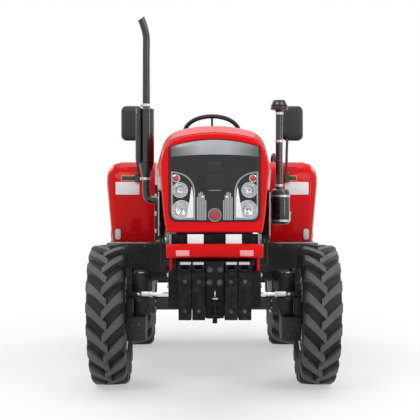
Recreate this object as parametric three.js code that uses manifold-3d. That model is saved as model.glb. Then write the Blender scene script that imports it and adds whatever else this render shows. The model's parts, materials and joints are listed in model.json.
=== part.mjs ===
// Compact four-wheel-drive farm tractor with an open operator's platform.
// Millimetres, +Z up. The tractor faces -Y, and its left-hand side is +X.
// It is laid out with the front axle at y = 0 and the ground at z = 0, and the whole group is then moved
// along Y so that its origin lies on the ground at the middle of its box.
import * as THREE from "three";
import { mergeVertices } from "three/addons/utils/BufferGeometryUtils.js";
import Module from "manifold-3d";

const wasm = await Module();
wasm.setup();

// ---- Driving dimensions -------------------------------------------------------------------------------
const WHEELBASE = 1650;
const FRONT_TRACK = 1180;
const REAR_TRACK = 1140;
const CAMBER = THREE.MathUtils.degToRad(1.5); // the tops of the front wheels lean outwards

const SEAT_GAP = 0.3; // between two pieces that rest on or bolt to each other
const RUNNING_GAP = 6; // between a moving piece and what it passes
const ROD_GAP = 0.8; // round a rod or pin in its bore

const FRONT_TYRE = { radius: 402.5, width: 206, bead: 206, rimWidth: 156 };
const REAR_TYRE = { radius: 552.5, width: 284, bead: 308, rimWidth: 254 };
const RIM_WALL = 7;
const RIM_LIP = 15; // how far a rim's lip stands outside the bead seat
const WHEEL_DISC = 10;
const FRONT_DISC_OFFSET = 22; // inner face of the wheel disc, outboard of the tyre's middle
const REAR_DISC_OFFSET = -24;
const FRONT_HUB_RADIUS = 70;
const REAR_HUB_RADIUS = 92;
const TYRE_FACETS = 28; // one flat of the tread lies on the ground

const KINGPIN_OFFSET = 170; // kingpin to the middle of the tyre
const KINGPIN_X = FRONT_TRACK / 2 - KINGPIN_OFFSET;
const KINGPIN_BOSS_RADIUS = 40;
const AXLE_Z = 463; // middle of the front axle beam
const AXLE_HEIGHT = 64;
const AXLE_DEPTH = 78;
const KNUCKLE_TOP = 640;
const KNUCKLE_BOTTOM = 257;
const STEER_ARM = 152; // kingpin to the eye of the tie rod
const STEER_ARM_THICK = 15;
const TIE_ROD_Z = 530;
const TIE_ROD_RADIUS = 9.5;
const STEER_CYLINDER_RADIUS = 27;
const STEER_CYLINDER_LENGTH = 230;
const STEER_EYE_RADIUS = 24;
const STEER_EYE_GAP = 3.5; // between the tie rod's eye and the steering arm under it

const FRAME_FRONT = -650;
const FRAME_REAR = 150;
const FRAME_HALF = 235; // outer face of a side rail
const RAIL_WALL = 20;
const RAIL_TOP = 692;
const RAIL_BOTTOM = 503; // ahead of the axle
const RAIL_ARCH = 572; // over the axle, the rods and the drive shaft
const RAIL_STEP = -330; // where the deep front part of a rail ends
const CROSSMEMBER = 24;
const AXLE_BRACKET_Y = 100; // inner face of each axle bracket, from the axle's middle
const TRUNNION_RADIUS = 23.5;

const BUMPER_HALF = FRAME_HALF + 12;
const BUMPER_BOTTOM = 757;
const BUMPER_TOP = 829;
const RADIATOR_FRONT = -430;
const RADIATOR_REAR = -350;
const RADIATOR_HALF = 205;
const RADIATOR_TOP = 1290;
const FAN_Z = 960;

const WEIGHT_WIDTH = 68;
const WEIGHT_BOTTOM = 455;
const WEIGHT_TOP = 691;
const WEIGHT_FRONT = -780;
const WEIGHT_REAR = -670;
const TOW_PIN_RADIUS = 12;
const TOW_LUG_Z = 470; // underside of the lower lug
const WEIGHT_INNER = 46; // inner face of the first slab
const HANGER_HALF = 44;
const HANGER_TOP = 741;
const HANGER_BAR_TOP = 716; // the bar that the weights hook over
const HANGER_BAR_LOW = 700;
const GRIP_LOW = 706;
const GRIP_HIGH = 728;
const GRIP_HALF = 18;

const ENGINE_FRONT = -180;
const ENGINE_REAR = 400;
const ENGINE_HALF = 165;
const ENGINE_BOTTOM = 600;
const ENGINE_TOP = 1010;
const HEAD_HALF = 110;
const HEAD_TOP = 1150;
const FAN_HUB_RADIUS = 56;
const PULLEY_RADIUS = 82;
const PULLEY_Z = 760;
const MANIFOLD_REACH = 62; // how far the exhaust manifold stands out from the crankcase
const INLET_REACH = 40;
const BELL_REAR = 560;
const REAR_CASE_AHEAD = 200; // rear axle to the front of its case
const REAR_CASE_BEHIND = 200;
const GEARBOX_REAR = WHEELBASE - REAR_CASE_AHEAD;
const BELL_RADIUS = 185;
const BELL_Z = 750;
const GEARBOX_FRONT = 860;
const GEARBOX_HALF = 150;
const GEARBOX_FLANGE = 14;
const GEARBOX_BOTTOM = 480;
const GEARBOX_TOP = 756;

const REAR_AXLE_REAR = WHEELBASE + REAR_CASE_BEHIND;
const REAR_CASE_HALF = 165;
const TRUMPET_RADIUS = 78;
const REAR_CASE_BOTTOM = 400;
const REAR_CASE_TOP = 768;
const LIFT_CASE_TOP = 940;
const LIFT_CASE_HALF = 120;
const LIFT_CASE_FRONT = GEARBOX_REAR + 40;
const LIFT_CASE_REAR = REAR_AXLE_REAR - 50;

const HOOD_WALL = 6;
const HOOD_REAR = 742;
const HOOD_EDGE = 1105; // lower edge of the hood's sides
const NOSE_FRONT = -650;
const NOSE_REAR = -430;
const NOSE_BOTTOM = 885;
const NOSE_PLATE = 24;
const NOSE_HALF = 276;
const HOOD_HALF = 318; // widest half width behind the nose
const HOOD_WIDEST_Z = 1231;
const HOOD_SHOULDER_Z = 1400;
const HOOD_CROWN_Z = 1455;
const MASK_HALF = 231;
const MASK_TOP = 1358;
const MASK_TOP_EDGE = 1318;
const MASK_BOTTOM = 942;
const MASK_CORNER = 42;
const POD_INNER = 98; // inner edge of a lamp pod
const POD_TOP = 1196;

const COWL_REAR = 985;
const PANEL_TOP = HOOD_EDGE - RUNNING_GAP;
const PANEL_BOTTOM = 850;
const PANEL_WALL = 5;
const PANEL_OUTER = HOOD_HALF - 22;
const POST_PLACES = [-280, 80]; // front edge of each post that carries a side panel
const POST_DEPTH = 40;
const BUFFER_PLACES = [-260, 620]; // rubber blocks that the closed hood rests on

const FLOOR_Z = 785;
const FLOOR_PLATE = 12;
const PLATFORM_FRONT = 745;
const PLATFORM_HALF = 690;
const APRON_WALL = 6;
const APRON_INNER = 295;
const APRON_LOW = 589;
const FLOOR_REAR = WHEELBASE - 130;
const TUNNEL_HALF = 168;
const TUNNEL_TOP = 850;

const FENDER_WALL = 6;
const FENDER_FRONT = WHEELBASE - 610;
const FENDER_REAR = WHEELBASE + 580;
const FENDER_TOP = 1335;
const FENDER_INNER = 393;
const FENDER_OUTER = 730;
const FENDER_FOOT_OUTER = 689; // where the front panel meets the platform
const FENDER_FULL_Z = 1148; // height where the front panel reaches its full width
const FENDER_CORNER = 100;
const FENDER_FOOT_CORNER = 60;
const FENDER_LIP = 45;
const FENDER_FOOT_LIP = 15;

const LAMP_X = 615; // rear lamps
const LAMP_HALF = 70;
const LAMP_LOW = 900;
const LAMP_HIGH = 985;

const MIRROR_ARM_X = FENDER_INNER + 116;
const MIRROR_ARM_RADIUS = 9;
const MIRROR_Z = 1595;

const STACK_Y = 350;
const MUFFLER_X = -(HOOD_HALF + 90);
const MUFFLER_RADIUS = 48;
const MUFFLER_LOW = 1294;
const MUFFLER_HIGH = 1624;
const EXHAUST_RADIUS = 23.5;
const EXHAUST_ELBOW_Z = 1060;
const EXHAUST_TIP_Z = 2187;

const CLEANER_X = HOOD_HALF + 95;
const CLEANER_RADIUS = 58;
const CLEANER_LOW = 911;
const CLEANER_HIGH = 1130;
const CLEANER_HOSE_Z = 1064;
const CLEANER_HOSE_RADIUS = 24;
const INTAKE_RADIUS = 21.5;
const INTAKE_TOP = 1602;
const PRECLEANER_RADIUS = 53;
const PRECLEANER_TOP = 1671;

const WHEEL_Y = 1250; // steering wheel
const WHEEL_Z = 1550;
const STEERING_WHEEL_RADIUS = 190;
const STEERING_RIM_RADIUS = 15;
const COLUMN_TILT = THREE.MathUtils.degToRad(30);
const COLUMN_RADIUS = 26;
const COLUMN_LENGTH = 400;

const SEAT_HALF = 235;
const SEAT_FRONT = WHEELBASE - 160;
const SEAT_BACK_Y = WHEELBASE + 250;
const SEAT_PAN_Z = 1085;
const CUSHION_TOP = 1195;
const BACKREST_TOP = 1560;
const BACKREST_TILT = THREE.MathUtils.degToRad(-12);

const LINK_PIVOT_Y = WHEELBASE + 110;
const LINK_PIVOT_Z = 430;
const LINK_LENGTH = 690;
const LINK_DROP = THREE.MathUtils.degToRad(8); // below level as it stands
const LIFT_REACH = 290; // pivot to the lift rod, on the arm and on the link
const ROCKSHAFT_Z = 860;
const LINK_THICK = 18;
const LINK_DEPTH = 62;
const PTO_Z = 600;
const PTO_RADIUS = 17.5;
const PTO_REACH = 110;
const PTO_BORE_DEPTH = 60;
const PTO_GUARD_HALF = 115;
const PTO_GUARD_Z = PTO_Z + 72;
const ARM_INNER = 178;
const PLANE_STEP = LINK_THICK + 3;
const ROD_INNER = ARM_INNER + PLANE_STEP;
const LINK_INNER = ROD_INNER + PLANE_STEP;
const LINK_OUTER = LINK_INNER + LINK_THICK;
const LINK_PIN_RADIUS = 14;
const LIFT_PIN_RADIUS = 11;
const SHAFT_RADIUS = 26;
const EYE_RADIUS = 31;

const TOP_LINK_HALF = 16;
const TOP_PIN_RADIUS = 9.5;
const TOP_PIVOT_Y = REAR_AXLE_REAR + 12;
const TOP_PIVOT_Z = 850;
const TOP_LINK_LENGTH = 430;
const TOP_LINK_STOWED = THREE.MathUtils.degToRad(52);

const DRAWBAR_Z = 372;
const DRAWBAR_THICK = 24;
const DRAWBAR_HALF = 32;
const DRAWBAR_END = WHEELBASE + 470;
const DRAWBAR_HOLE_RADIUS = 12;


// ---- Shapes -------------------------------------------------------------------------------------------
const X_AXIS = new THREE.Vector3(1, 0, 0);
const Y_AXIS = new THREE.Vector3(0, 1, 0);
const Z_AXIS = new THREE.Vector3(0, 0, 1);

function basis(x, y, z) {
  return new THREE.Matrix4().makeBasis(x, y, z);
}

const TO_X = basis(Y_AXIS, Z_AXIS, X_AXIS); // an outline in (y, z), extruded along +X
const TO_Y = basis(X_AXIS, Z_AXIS, Y_AXIS.clone().negate()); // an outline in (x, z), extruded along -Y

function shapeOf(outline) {
  const points = outline.map(([u, v]) => new THREE.Vector2(u, v));
  if (THREE.ShapeUtils.isClockWise(points)) points.reverse();
  return new THREE.Shape(points);
}

function extruded(outline, depth, holes = []) {
  const shape = shapeOf(outline);
  shape.holes = holes.map(shapeOf);
  return new THREE.ExtrudeGeometry(shape, { depth, bevelEnabled: false });
}

// An outline in (y, z) between two values of x.
function extrudeX(outline, x0, x1, holes) {
  return extruded(outline, x1 - x0, holes).applyMatrix4(TO_X).translate(x0, 0, 0);
}

// An outline in (x, z) between two values of y.
function extrudeY(outline, y0, y1, holes) {
  return extruded(outline, y1 - y0, holes).applyMatrix4(TO_Y).translate(0, y1, 0);
}

// An outline in (x, y) between two values of z.
function extrudeZ(outline, z0, z1, holes) {
  return extruded(outline, z1 - z0, holes).translate(0, 0, z0);
}

function block(x0, x1, y0, y1, z0, z1) {
  const geometry = new THREE.BoxGeometry(x1 - x0, y1 - y0, z1 - z0);
  return geometry.translate((x0 + x1) / 2, (y0 + y1) / 2, (z0 + z1) / 2);
}

function cylinderY(radius, y0, y1, x, z, sides = 16) {
  const geometry = new THREE.CylinderGeometry(radius, radius, y1 - y0, sides);
  return geometry.translate(x, (y0 + y1) / 2, z);
}

function cylinderX(radius, x0, x1, y, z, sides = 16) {
  const geometry = new THREE.CylinderGeometry(radius, radius, x1 - x0, sides).rotateZ(-Math.PI / 2);
  return geometry.translate((x0 + x1) / 2, y, z);
}

function cylinderZ(radius, z0, z1, x, y, sides = 16) {
  const geometry = new THREE.CylinderGeometry(radius, radius, z1 - z0, sides).rotateX(Math.PI / 2);
  return geometry.translate(x, y, (z0 + z1) / 2);
}

// A profile of [radius, position] turned about the X axis.
function turnedX(profile, sides = TYRE_FACETS) {
  const points = profile.map(([radius, along]) => new THREE.Vector2(radius, along));
  return new THREE.LatheGeometry(points, sides, Math.PI / sides).rotateZ(-Math.PI / 2);
}

function turnedZ(profile, sides = 20) {
  const points = profile.map(([radius, along]) => new THREE.Vector2(radius, along));
  return new THREE.LatheGeometry(points, sides).rotateX(Math.PI / 2);
}

function ringOutline(radius, sides) {
  const angles = Array.from({ length: sides }, (_, i) => (2 * Math.PI * i) / sides);
  return angles.map((angle) => [radius * Math.cos(angle), radius * Math.sin(angle)]);
}

// A round bar that follows a smooth curve through the points.
function bar(points, radius, { sides = 10, steps = 16, closed = false, tension = 0.5 } = {}) {
  const vectors = points.map(([x, y, z]) => new THREE.Vector3(x, y, z));
  const curve = new THREE.CatmullRomCurve3(vectors, closed, "catmullrom", tension);
  const shape = shapeOf(ringOutline(radius, sides));
  return new THREE.ExtrudeGeometry(shape, { steps, extrudePath: curve, bevelEnabled: false });
}

// A closed skin through rings of as many points each, with its two ends closed by strips between the two
// halves of the ring, so that a ring folded back on itself makes a shell.
function loftedShell(rings) {
  const count = rings[0].length;
  const positions = rings.flat(2);
  const index = [];
  const at = (ring, point) => ring * count + ((point + count) % count);
  for (let ring = 0; ring < rings.length - 1; ring += 1) {
    for (let point = 0; point < count; point += 1) {
      index.push(at(ring, point), at(ring, point + 1), at(ring + 1, point + 1));
      index.push(at(ring, point), at(ring + 1, point + 1), at(ring + 1, point));
    }
  }
  const last = rings.length - 1;
  for (let point = 0; point < count / 2 - 1; point += 1) {
    const across = count - 1 - point;
    index.push(at(0, point), at(0, across), at(0, across - 1));
    index.push(at(0, point), at(0, across - 1), at(0, point + 1));
    index.push(at(last, point), at(last, across - 1), at(last, across));
    index.push(at(last, point), at(last, point + 1), at(last, across - 1));
  }
  const geometry = new THREE.BufferGeometry();
  geometry.setAttribute("position", new THREE.Float32BufferAttribute(positions, 3));
  geometry.setIndex(index);
  return geometry;
}

// ---- Joining and cutting ------------------------------------------------------------------------------
function solid(geometry) {
  const bare = new THREE.BufferGeometry();
  bare.setAttribute("position", geometry.getAttribute("position").clone());
  if (geometry.index) bare.setIndex(geometry.index.clone());
  const merged = mergeVertices(bare, 1e-3);
  const made = new wasm.Manifold(
    new wasm.Mesh({
      numProp: 3,
      vertProperties: new Float32Array(merged.attributes.position.array),
      triVerts: new Uint32Array(merged.index.array),
    }),
  );
  return made;
}

function geometryOf(manifold) {
  const { vertProperties, triVerts } = manifold.getMesh();
  const geometry = new THREE.BufferGeometry();
  geometry.setAttribute("position", new THREE.Float32BufferAttribute(vertProperties, 3));
  geometry.setIndex(Array.from(triVerts));
  return geometry;
}

function joined(...geometries) {
  return geometryOf(geometries.map(solid).reduce((whole, piece) => whole.add(piece)));
}

function cut(geometry, ...tools) {
  return geometryOf(tools.map(solid).reduce((whole, tool) => whole.subtract(tool), solid(geometry)));
}

// ---- Materials ----------------------------------------------------------------------------------------
function material(color, roughness, metalness = 0) {
  return new THREE.MeshStandardMaterial({ color, roughness, metalness });
}

const redPaint = material(0xe1000f, 0.25);
const blackPaint = material(0x17181a, 0.5);
const castIron = material(0x2b2c2e, 0.65, 0.3);
const greySteel = material(0x8b8d90, 0.4, 0.8);
const chrome = material(0xc9cbce, 0.15, 1);
const rubber = material(0x2a2b2c, 0.9);
const wheelPaint = material(0xd9dadb, 0.4);
const silverPaint = material(0xa7a9ab, 0.4, 0.5);
const blackPlastic = material(0x1a1b1c, 0.45);
const lampGlass = material(0xdfe3e6, 0.1);
const redLens = material(0xb3121a, 0.2);
const seatVinyl = material(0x1d1d1f, 0.6);

const tractor = new THREE.Group();

function add(name, geometry, finish, parent = tractor) {
  const mesh = new THREE.Mesh(geometry, finish);
  mesh.name = name;
  parent.add(mesh);
  return mesh;
}

// Both sides of the tractor: the left at +X as modelled, the right as its mirror image.
const SIDES = [
  ["left", 1],
  ["right", -1],
];

function sideGroup(sign) {
  const group = new THREE.Group();
  group.scale.x = sign;
  tractor.add(group);
  return group;
}

// ---- Wheels -------------------------------------------------------------------------------------------
// A tyre fills its section from the bead seat out, with sidewalls that bulge past the rim.
function tyre({ radius, width, bead, rimWidth }) {
  const half = width / 2;
  const seat = rimWidth / 2 - SEAT_GAP;
  const depth = radius - bead;
  const side = [
    [bead, seat],
    [bead + RIM_LIP, seat],
    [bead + depth * 0.36, half * 0.96],
    [bead + depth * 0.66, half],
    [radius - depth * 0.07, half * 0.88],
    [radius, half * TREAD_SHARE],
  ];
  const near = side.map(([r, along]) => [r, -along]);
  const profile = [...near, ...side.slice().reverse()];
  profile.push(near[0]);
  return turnedX(profile);
}

// A drop-free barrel with a lip at each side, and a dished disc that bolts to the hub.
function rim({ bead, rimWidth }, discOffset, hubRadius) {
  const outer = bead - SEAT_GAP;
  const inner = outer - RIM_WALL;
  const half = rimWidth / 2;
  const lipOuter = bead + RIM_LIP - 1;
  const lipEdge = half + RIM_WALL;
  const face = discOffset + WHEEL_DISC;
  const dish = Math.min(face + 30, half - 12);
  const profile = [
    [inner, -lipEdge],
    [lipOuter, -lipEdge],
    [lipOuter, -half],
    [outer, -half],
    [outer, half],
    [lipOuter, half],
    [lipOuter, lipEdge],
    [inner, lipEdge],
    [inner, dish],
    [hubRadius * 1.5, face],
    [0, face],
    [0, discOffset],
    [hubRadius * 1.5, discOffset],
    [inner, dish - WHEEL_DISC],
    [inner, -lipEdge],
  ];
  return turnedX(profile);
}

const FLAT_RADIUS = Math.cos(Math.PI / TYRE_FACETS); // centre to the middle of a flat, of a radius of 1
const TREAD_SHARE = 0.74; // width of the level tread, of the tyre's width
const frontLean = (FRONT_TYRE.width / 2) * TREAD_SHARE * Math.sin(CAMBER);
const FRONT_HUB_Z = FRONT_TYRE.radius * FLAT_RADIUS * Math.cos(CAMBER) + frontLean;
const REAR_HUB_Z = REAR_TYRE.radius * FLAT_RADIUS;

for (const [side, sign] of SIDES) {
  const hub = new THREE.Group();
  hub.position.set(FRONT_TRACK / 2, 0, FRONT_HUB_Z);
  hub.rotation.y = CAMBER;
  sideGroup(sign).add(hub);
  add(`front_tyre_${side}`, tyre(FRONT_TYRE), rubber, hub);
  add(`front_rim_${side}`, rim(FRONT_TYRE, FRONT_DISC_OFFSET, FRONT_HUB_RADIUS), wheelPaint, hub);

  const rear = new THREE.Group();
  rear.position.set(REAR_TRACK / 2, WHEELBASE, REAR_HUB_Z);
  sideGroup(sign).add(rear);
  add(`rear_tyre_${side}`, tyre(REAR_TYRE), rubber, rear);
  add(`rear_rim_${side}`, rim(REAR_TYRE, REAR_DISC_OFFSET, REAR_HUB_RADIUS), wheelPaint, rear);
}

// ---- Front axle and steering --------------------------------------------------------------------------
const BEAM_TOP = AXLE_Z + AXLE_HEIGHT / 2;
const BEAM_BOTTOM = AXLE_Z - AXLE_HEIGHT / 2;
const BOSS_TOP = BEAM_TOP + 36;
const BOSS_BOTTOM = BEAM_BOTTOM - 36;
const KNUCKLE_GAP = 0.6; // above and below the kingpin boss
const WEB_INNER = KINGPIN_X + KINGPIN_BOSS_RADIUS + 3;
const WEB_OUTER = WEB_INNER + 32;
const PINION_RADIUS = 40;
const PINION_END = 175;
const BRACKET_WALL = 20;

function axleBeam() {
  const half = AXLE_DEPTH / 2;
  const beam = block(-KINGPIN_X, KINGPIN_X, -half, half, BEAM_BOTTOM, BEAM_TOP);
  const bosses = [-KINGPIN_X, KINGPIN_X].map((x) =>
    cylinderZ(KINGPIN_BOSS_RADIUS, BOSS_BOTTOM, BOSS_TOP, x, 0),
  );
  const flangeX = KINGPIN_X - 70;
  const flanges = [-flangeX, flangeX].map((x) => cylinderX(58, x - 15, x + 15, 0, AXLE_Z));
  const profile = [[0, -95], [62, -80], [88, -35], [88, 35], [62, 80], [0, 95]];
  const differential = turnedX(profile, 16).translate(0, 0, AXLE_Z);
  const pinion = cylinderY(PINION_RADIUS, 0, PINION_END, 0, AXLE_Z);
  const trunnion = cylinderY(TRUNNION_RADIUS, -AXLE_BRACKET_Y - BRACKET_WALL, 0, 0, AXLE_Z);
  const lugTop = TIE_ROD_Z - STEER_CYLINDER_RADIUS - SEAT_GAP;
  const lugs = [-80, 80].map((x) =>
    block(x - 12, x + 12, -STEER_ARM - 15, -half + 5, BEAM_TOP - 25, lugTop),
  );
  return joined(beam, ...bosses, ...flanges, differential, pinion, trunnion, ...lugs);
}

function steeringCylinder() {
  const wall = ringOutline(STEER_CYLINDER_RADIUS, 16);
  const bore = ringOutline(TIE_ROD_RADIUS + ROD_GAP, 16);
  const half = STEER_CYLINDER_LENGTH / 2;
  return extrudeX(wall, -half, half, [bore]).translate(0, -STEER_ARM, TIE_ROD_Z);
}

function tieRod() {
  const rod = cylinderX(TIE_ROD_RADIUS, -KINGPIN_X, KINGPIN_X, -STEER_ARM, TIE_ROD_Z, 16);
  const half = STEER_ARM_THICK / 2;
  const eyes = [-KINGPIN_X, KINGPIN_X].map((x) =>
    cylinderZ(STEER_EYE_RADIUS, TIE_ROD_Z - half, TIE_ROD_Z + half, x, -STEER_ARM, 16),
  );
  return joined(rod, ...eyes);
}

// A C-shaped casting that turns about the kingpin boss, with the hub outboard and the steering arm ahead.
function knuckle() {
  const lowerTop = BOSS_BOTTOM - KNUCKLE_GAP;
  const lower = [[-70, KNUCKLE_BOTTOM], [70, KNUCKLE_BOTTOM], [104, 300], [104, lowerTop]];
  lower.push([-104, lowerTop], [-104, 300]);
  const lowerCase = extrudeX(lower, KINGPIN_X - 34, WEB_OUTER);
  const web = block(WEB_INNER, WEB_OUTER, -75, 75, KNUCKLE_BOTTOM + 20, 585);
  const cap = cylinderZ(50, BOSS_TOP + KNUCKLE_GAP, KNUCKLE_TOP, KINGPIN_X, 0);
  const hubBack = WEB_OUTER - FRONT_TRACK / 2 - 13;
  const hub = cylinderX(FRONT_HUB_RADIUS - 8, hubBack, FRONT_DISC_OFFSET - SEAT_GAP, 0, 0, 24)
    .rotateY(CAMBER)
    .translate(FRONT_TRACK / 2, 0, FRONT_HUB_Z);
  const armTop = TIE_ROD_Z - STEER_ARM_THICK / 2 - STEER_EYE_GAP;
  const eyeEdge = KINGPIN_X + STEER_EYE_RADIUS;
  const armOutline = [
    [WEB_OUTER, -70],
    [WEB_INNER, -70],
    [KINGPIN_X - 12, -STEER_ARM + 20],
    [KINGPIN_X, -STEER_ARM - STEER_EYE_RADIUS + 2],
    [eyeEdge - 2, -STEER_ARM],
    [WEB_OUTER, -110],
  ];
  const arm = extrudeZ(armOutline.reverse(), armTop - STEER_ARM_THICK, armTop);
  const eye = cylinderZ(STEER_EYE_RADIUS, armTop - STEER_ARM_THICK, armTop, KINGPIN_X, -STEER_ARM, 16);
  return joined(lowerCase, web, cap, hub, arm, eye);
}

add("front_axle_beam", axleBeam(), castIron);
add("steering_cylinder", steeringCylinder(), castIron);
add("tie_rod", tieRod(), chrome);
for (const [side, sign] of SIDES) add(`front_knuckle_${side}`, knuckle(), castIron, sideGroup(sign));

// ---- Front frame, weights and bumper ------------------------------------------------------------------
const CROSS_TOP = ENGINE_BOTTOM - RUNNING_GAP;

function frontFrame() {
  const side = [
    [FRAME_FRONT, RAIL_BOTTOM],
    [RAIL_STEP, RAIL_BOTTOM],
    [RAIL_STEP + 60, RAIL_ARCH],
    [FRAME_REAR, RAIL_ARCH],
    [FRAME_REAR, RAIL_TOP],
    [FRAME_FRONT, RAIL_TOP],
  ];
  const inner = FRAME_HALF - RAIL_WALL;
  const rails = [-FRAME_HALF, inner].map((x) => extrudeX(side, x, x + RAIL_WALL));
  const front = block(-inner - 1, inner + 1, FRAME_FRONT, FRAME_FRONT + CROSSMEMBER, RAIL_BOTTOM, RAIL_TOP);
  const tray = block(-inner - 1, inner + 1, -600, -300, RAIL_TOP - 12, RAIL_TOP);
  const brackets = [-AXLE_BRACKET_Y - BRACKET_WALL, AXLE_BRACKET_Y].flatMap((y) => [
    block(-inner - 1, inner + 1, y, y + BRACKET_WALL, RAIL_ARCH, CROSS_TOP),
    block(-62, 62, y, y + BRACKET_WALL, AXLE_Z - 60, CROSS_TOP - 5),
  ]);
  const frame = joined(...rails, front, tray, ...brackets);
  const frontBore = cylinderY(TRUNNION_RADIUS + ROD_GAP, -AXLE_BRACKET_Y - 40, 0, 0, AXLE_Z);
  const rearBore = cylinderY(PINION_RADIUS + ROD_GAP, 0, AXLE_BRACKET_Y + 40, 0, AXLE_Z);
  return cut(frame, frontBore, rearBore);
}

// The plate ahead of the frame, with a bar that the weights hook over and a tow pin at its foot.
function weightBracket() {
  const plateFront = WEIGHT_FRONT + 20;
  const plateBack = FRAME_FRONT - SEAT_GAP;
  const barEnd = WEIGHT_INNER + 2 * WEIGHT_WIDTH + 6;
  const plate = block(-HANGER_HALF, HANGER_HALF, plateFront, plateBack, WEIGHT_BOTTOM + 8, HANGER_TOP);
  const wide = block(-barEnd, barEnd, WEIGHT_REAR + SEAT_GAP, plateBack, RAIL_BOTTOM + 17, HANGER_TOP);
  const hookBar = block(-barEnd, barEnd, WEIGHT_REAR - 26, WEIGHT_REAR + 4, HANGER_BAR_LOW, HANGER_BAR_TOP);
  const pin = cylinderZ(TOW_PIN_RADIUS, TOW_LUG_Z - 30, TOW_LUG_Z + 90, 0, WEIGHT_FRONT + 8, 12);
  const lugs = [TOW_LUG_Z, TOW_LUG_Z + 60].map((z) =>
    block(-26, 26, WEIGHT_FRONT - 10, plateFront + 4, z, z + 14),
  );
  return joined(plate, wide, hookBar, pin, ...lugs);
}

// Two slabs side by side, cast with one hook over the bar and a grip slot above it.
function weightPair() {
  const inner = WEIGHT_INNER;
  const outer = inner + 2 * WEIGHT_WIDTH;
  const middle = inner + WEIGHT_WIDTH;
  const slab = block(inner, outer, WEIGHT_FRONT, WEIGHT_REAR, WEIGHT_BOTTOM, WEIGHT_TOP);
  const hookFront = WEIGHT_FRONT + 22;
  const hook = block(inner + 6, outer - 6, hookFront, WEIGHT_REAR - 28, WEIGHT_TOP - 5, HANGER_TOP);
  const groove = [middle - 1.5, middle + 1.5, WEIGHT_FRONT - 5, WEIGHT_FRONT + 18];
  const joint = block(...groove, WEIGHT_BOTTOM - 5, WEIGHT_TOP + 5);
  const grips = [0, 1].map((i) => {
    const x = inner + (i + 0.5) * WEIGHT_WIDTH;
    return block(x - GRIP_HALF, x + GRIP_HALF, WEIGHT_FRONT, WEIGHT_REAR, GRIP_LOW, GRIP_HIGH);
  });
  return cut(joined(slab, hook), joint, ...grips);
}

// The painted bar under the nose, with a dark slot between it and the hood.
function bumper() {
  const front = NOSE_FRONT - 20;
  const slotFront = NOSE_FRONT + 5;
  const slotTop = NOSE_BOTTOM - RUNNING_GAP;
  const bar = block(-BUMPER_HALF, BUMPER_HALF, front, front + 60, BUMPER_BOTTOM, BUMPER_TOP);
  const slot = block(-FRAME_HALF, FRAME_HALF, slotFront, slotFront + 25, BUMPER_TOP - 1, slotTop);
  const sideBottom = RAIL_TOP + SEAT_GAP;
  const legX = FRAME_HALF - 13;
  const legs = [-1, 1].map((sign) =>
    block(sign * legX - 8, sign * legX + 8, NOSE_FRONT + 10, RADIATOR_FRONT - 10, sideBottom, BUMPER_TOP),
  );
  return joined(bar, slot, ...legs);
}

add("front_frame", frontFrame(), blackPaint);
add("weight_bracket", weightBracket(), blackPaint);
for (const [side, sign] of SIDES) add(`front_weights_${side}`, weightPair(), blackPaint, sideGroup(sign));
add("bumper", bumper(), redPaint);

// ---- Radiator, engine and driveline -------------------------------------------------------------------
const SHAFT_Z = AXLE_Z;
const TRANSFER_HALF = 60;

function radiator() {
  const half = RADIATOR_HALF;
  const low = RAIL_TOP + SEAT_GAP;
  const core = block(-half, half, RADIATOR_FRONT, RADIATOR_REAR, low, RADIATOR_TOP);
  const shroud = cylinderY(half - 25, RADIATOR_REAR - 5, RADIATOR_REAR + 60, 0, FAN_Z, 24);
  const fillerY = (RADIATOR_FRONT + RADIATOR_REAR) / 2;
  const filler = cylinderZ(28, RADIATOR_TOP - 10, RADIATOR_TOP + 22, 90, fillerY, 16);
  return joined(core, shroud, filler);
}

// The engine is a plain block: crankcase, sump, cylinder head, cover, front hub and mounting feet.
function engine() {
  const half = ENGINE_HALF;
  const front = ENGINE_FRONT;
  const rear = ENGINE_REAR;
  const crankcase = block(-half, half, front, rear, ENGINE_BOTTOM + 40, ENGINE_TOP);
  const sump = block(-half + 45, half - 45, front + 40, rear - 30, ENGINE_BOTTOM, ENGINE_BOTTOM + 45);
  const head = block(-HEAD_HALF, HEAD_HALF, front + 20, rear - 20, ENGINE_TOP - 5, HEAD_TOP);
  const coverHalf = HEAD_HALF - 48;
  const cover = block(-coverHalf, coverHalf, front + 50, rear - 60, HEAD_TOP - 5, HEAD_TOP + 62);
  const fanHub = cylinderY(FAN_HUB_RADIUS, front - 60, front + 5, 0, FAN_Z, 16);
  const pulley = cylinderY(PULLEY_RADIUS, front - 34, front + 5, 0, PULLEY_Z, 24);
  const inner = FRAME_HALF - RAIL_WALL - SEAT_GAP;
  const feet = [-1, 1].map((sign) => {
    const [near, far] = ordered(sign * (half - 5), sign * inner);
    return block(near, far, 20, 140, RAIL_ARCH + 40, RAIL_TOP - 10);
  });
  const outlet = block(
    -half - MANIFOLD_REACH,
    -HEAD_HALF + 5,
    40,
    STACK_Y + 36,
    EXHAUST_ELBOW_Z - 30,
    EXHAUST_ELBOW_Z + 30,
  );
  const inlet = block(HEAD_HALF - 5, half + INLET_REACH, 40, STACK_Y + 10, 1050, 1110);
  return joined(crankcase, sump, head, cover, fanHub, pulley, ...feet, outlet, inlet);
}

function driveShaftCover() {
  return cylinderY(28, PINION_END + SEAT_GAP, BELL_REAR + 40 - SEAT_GAP, 0, SHAFT_Z, 16);
}

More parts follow.
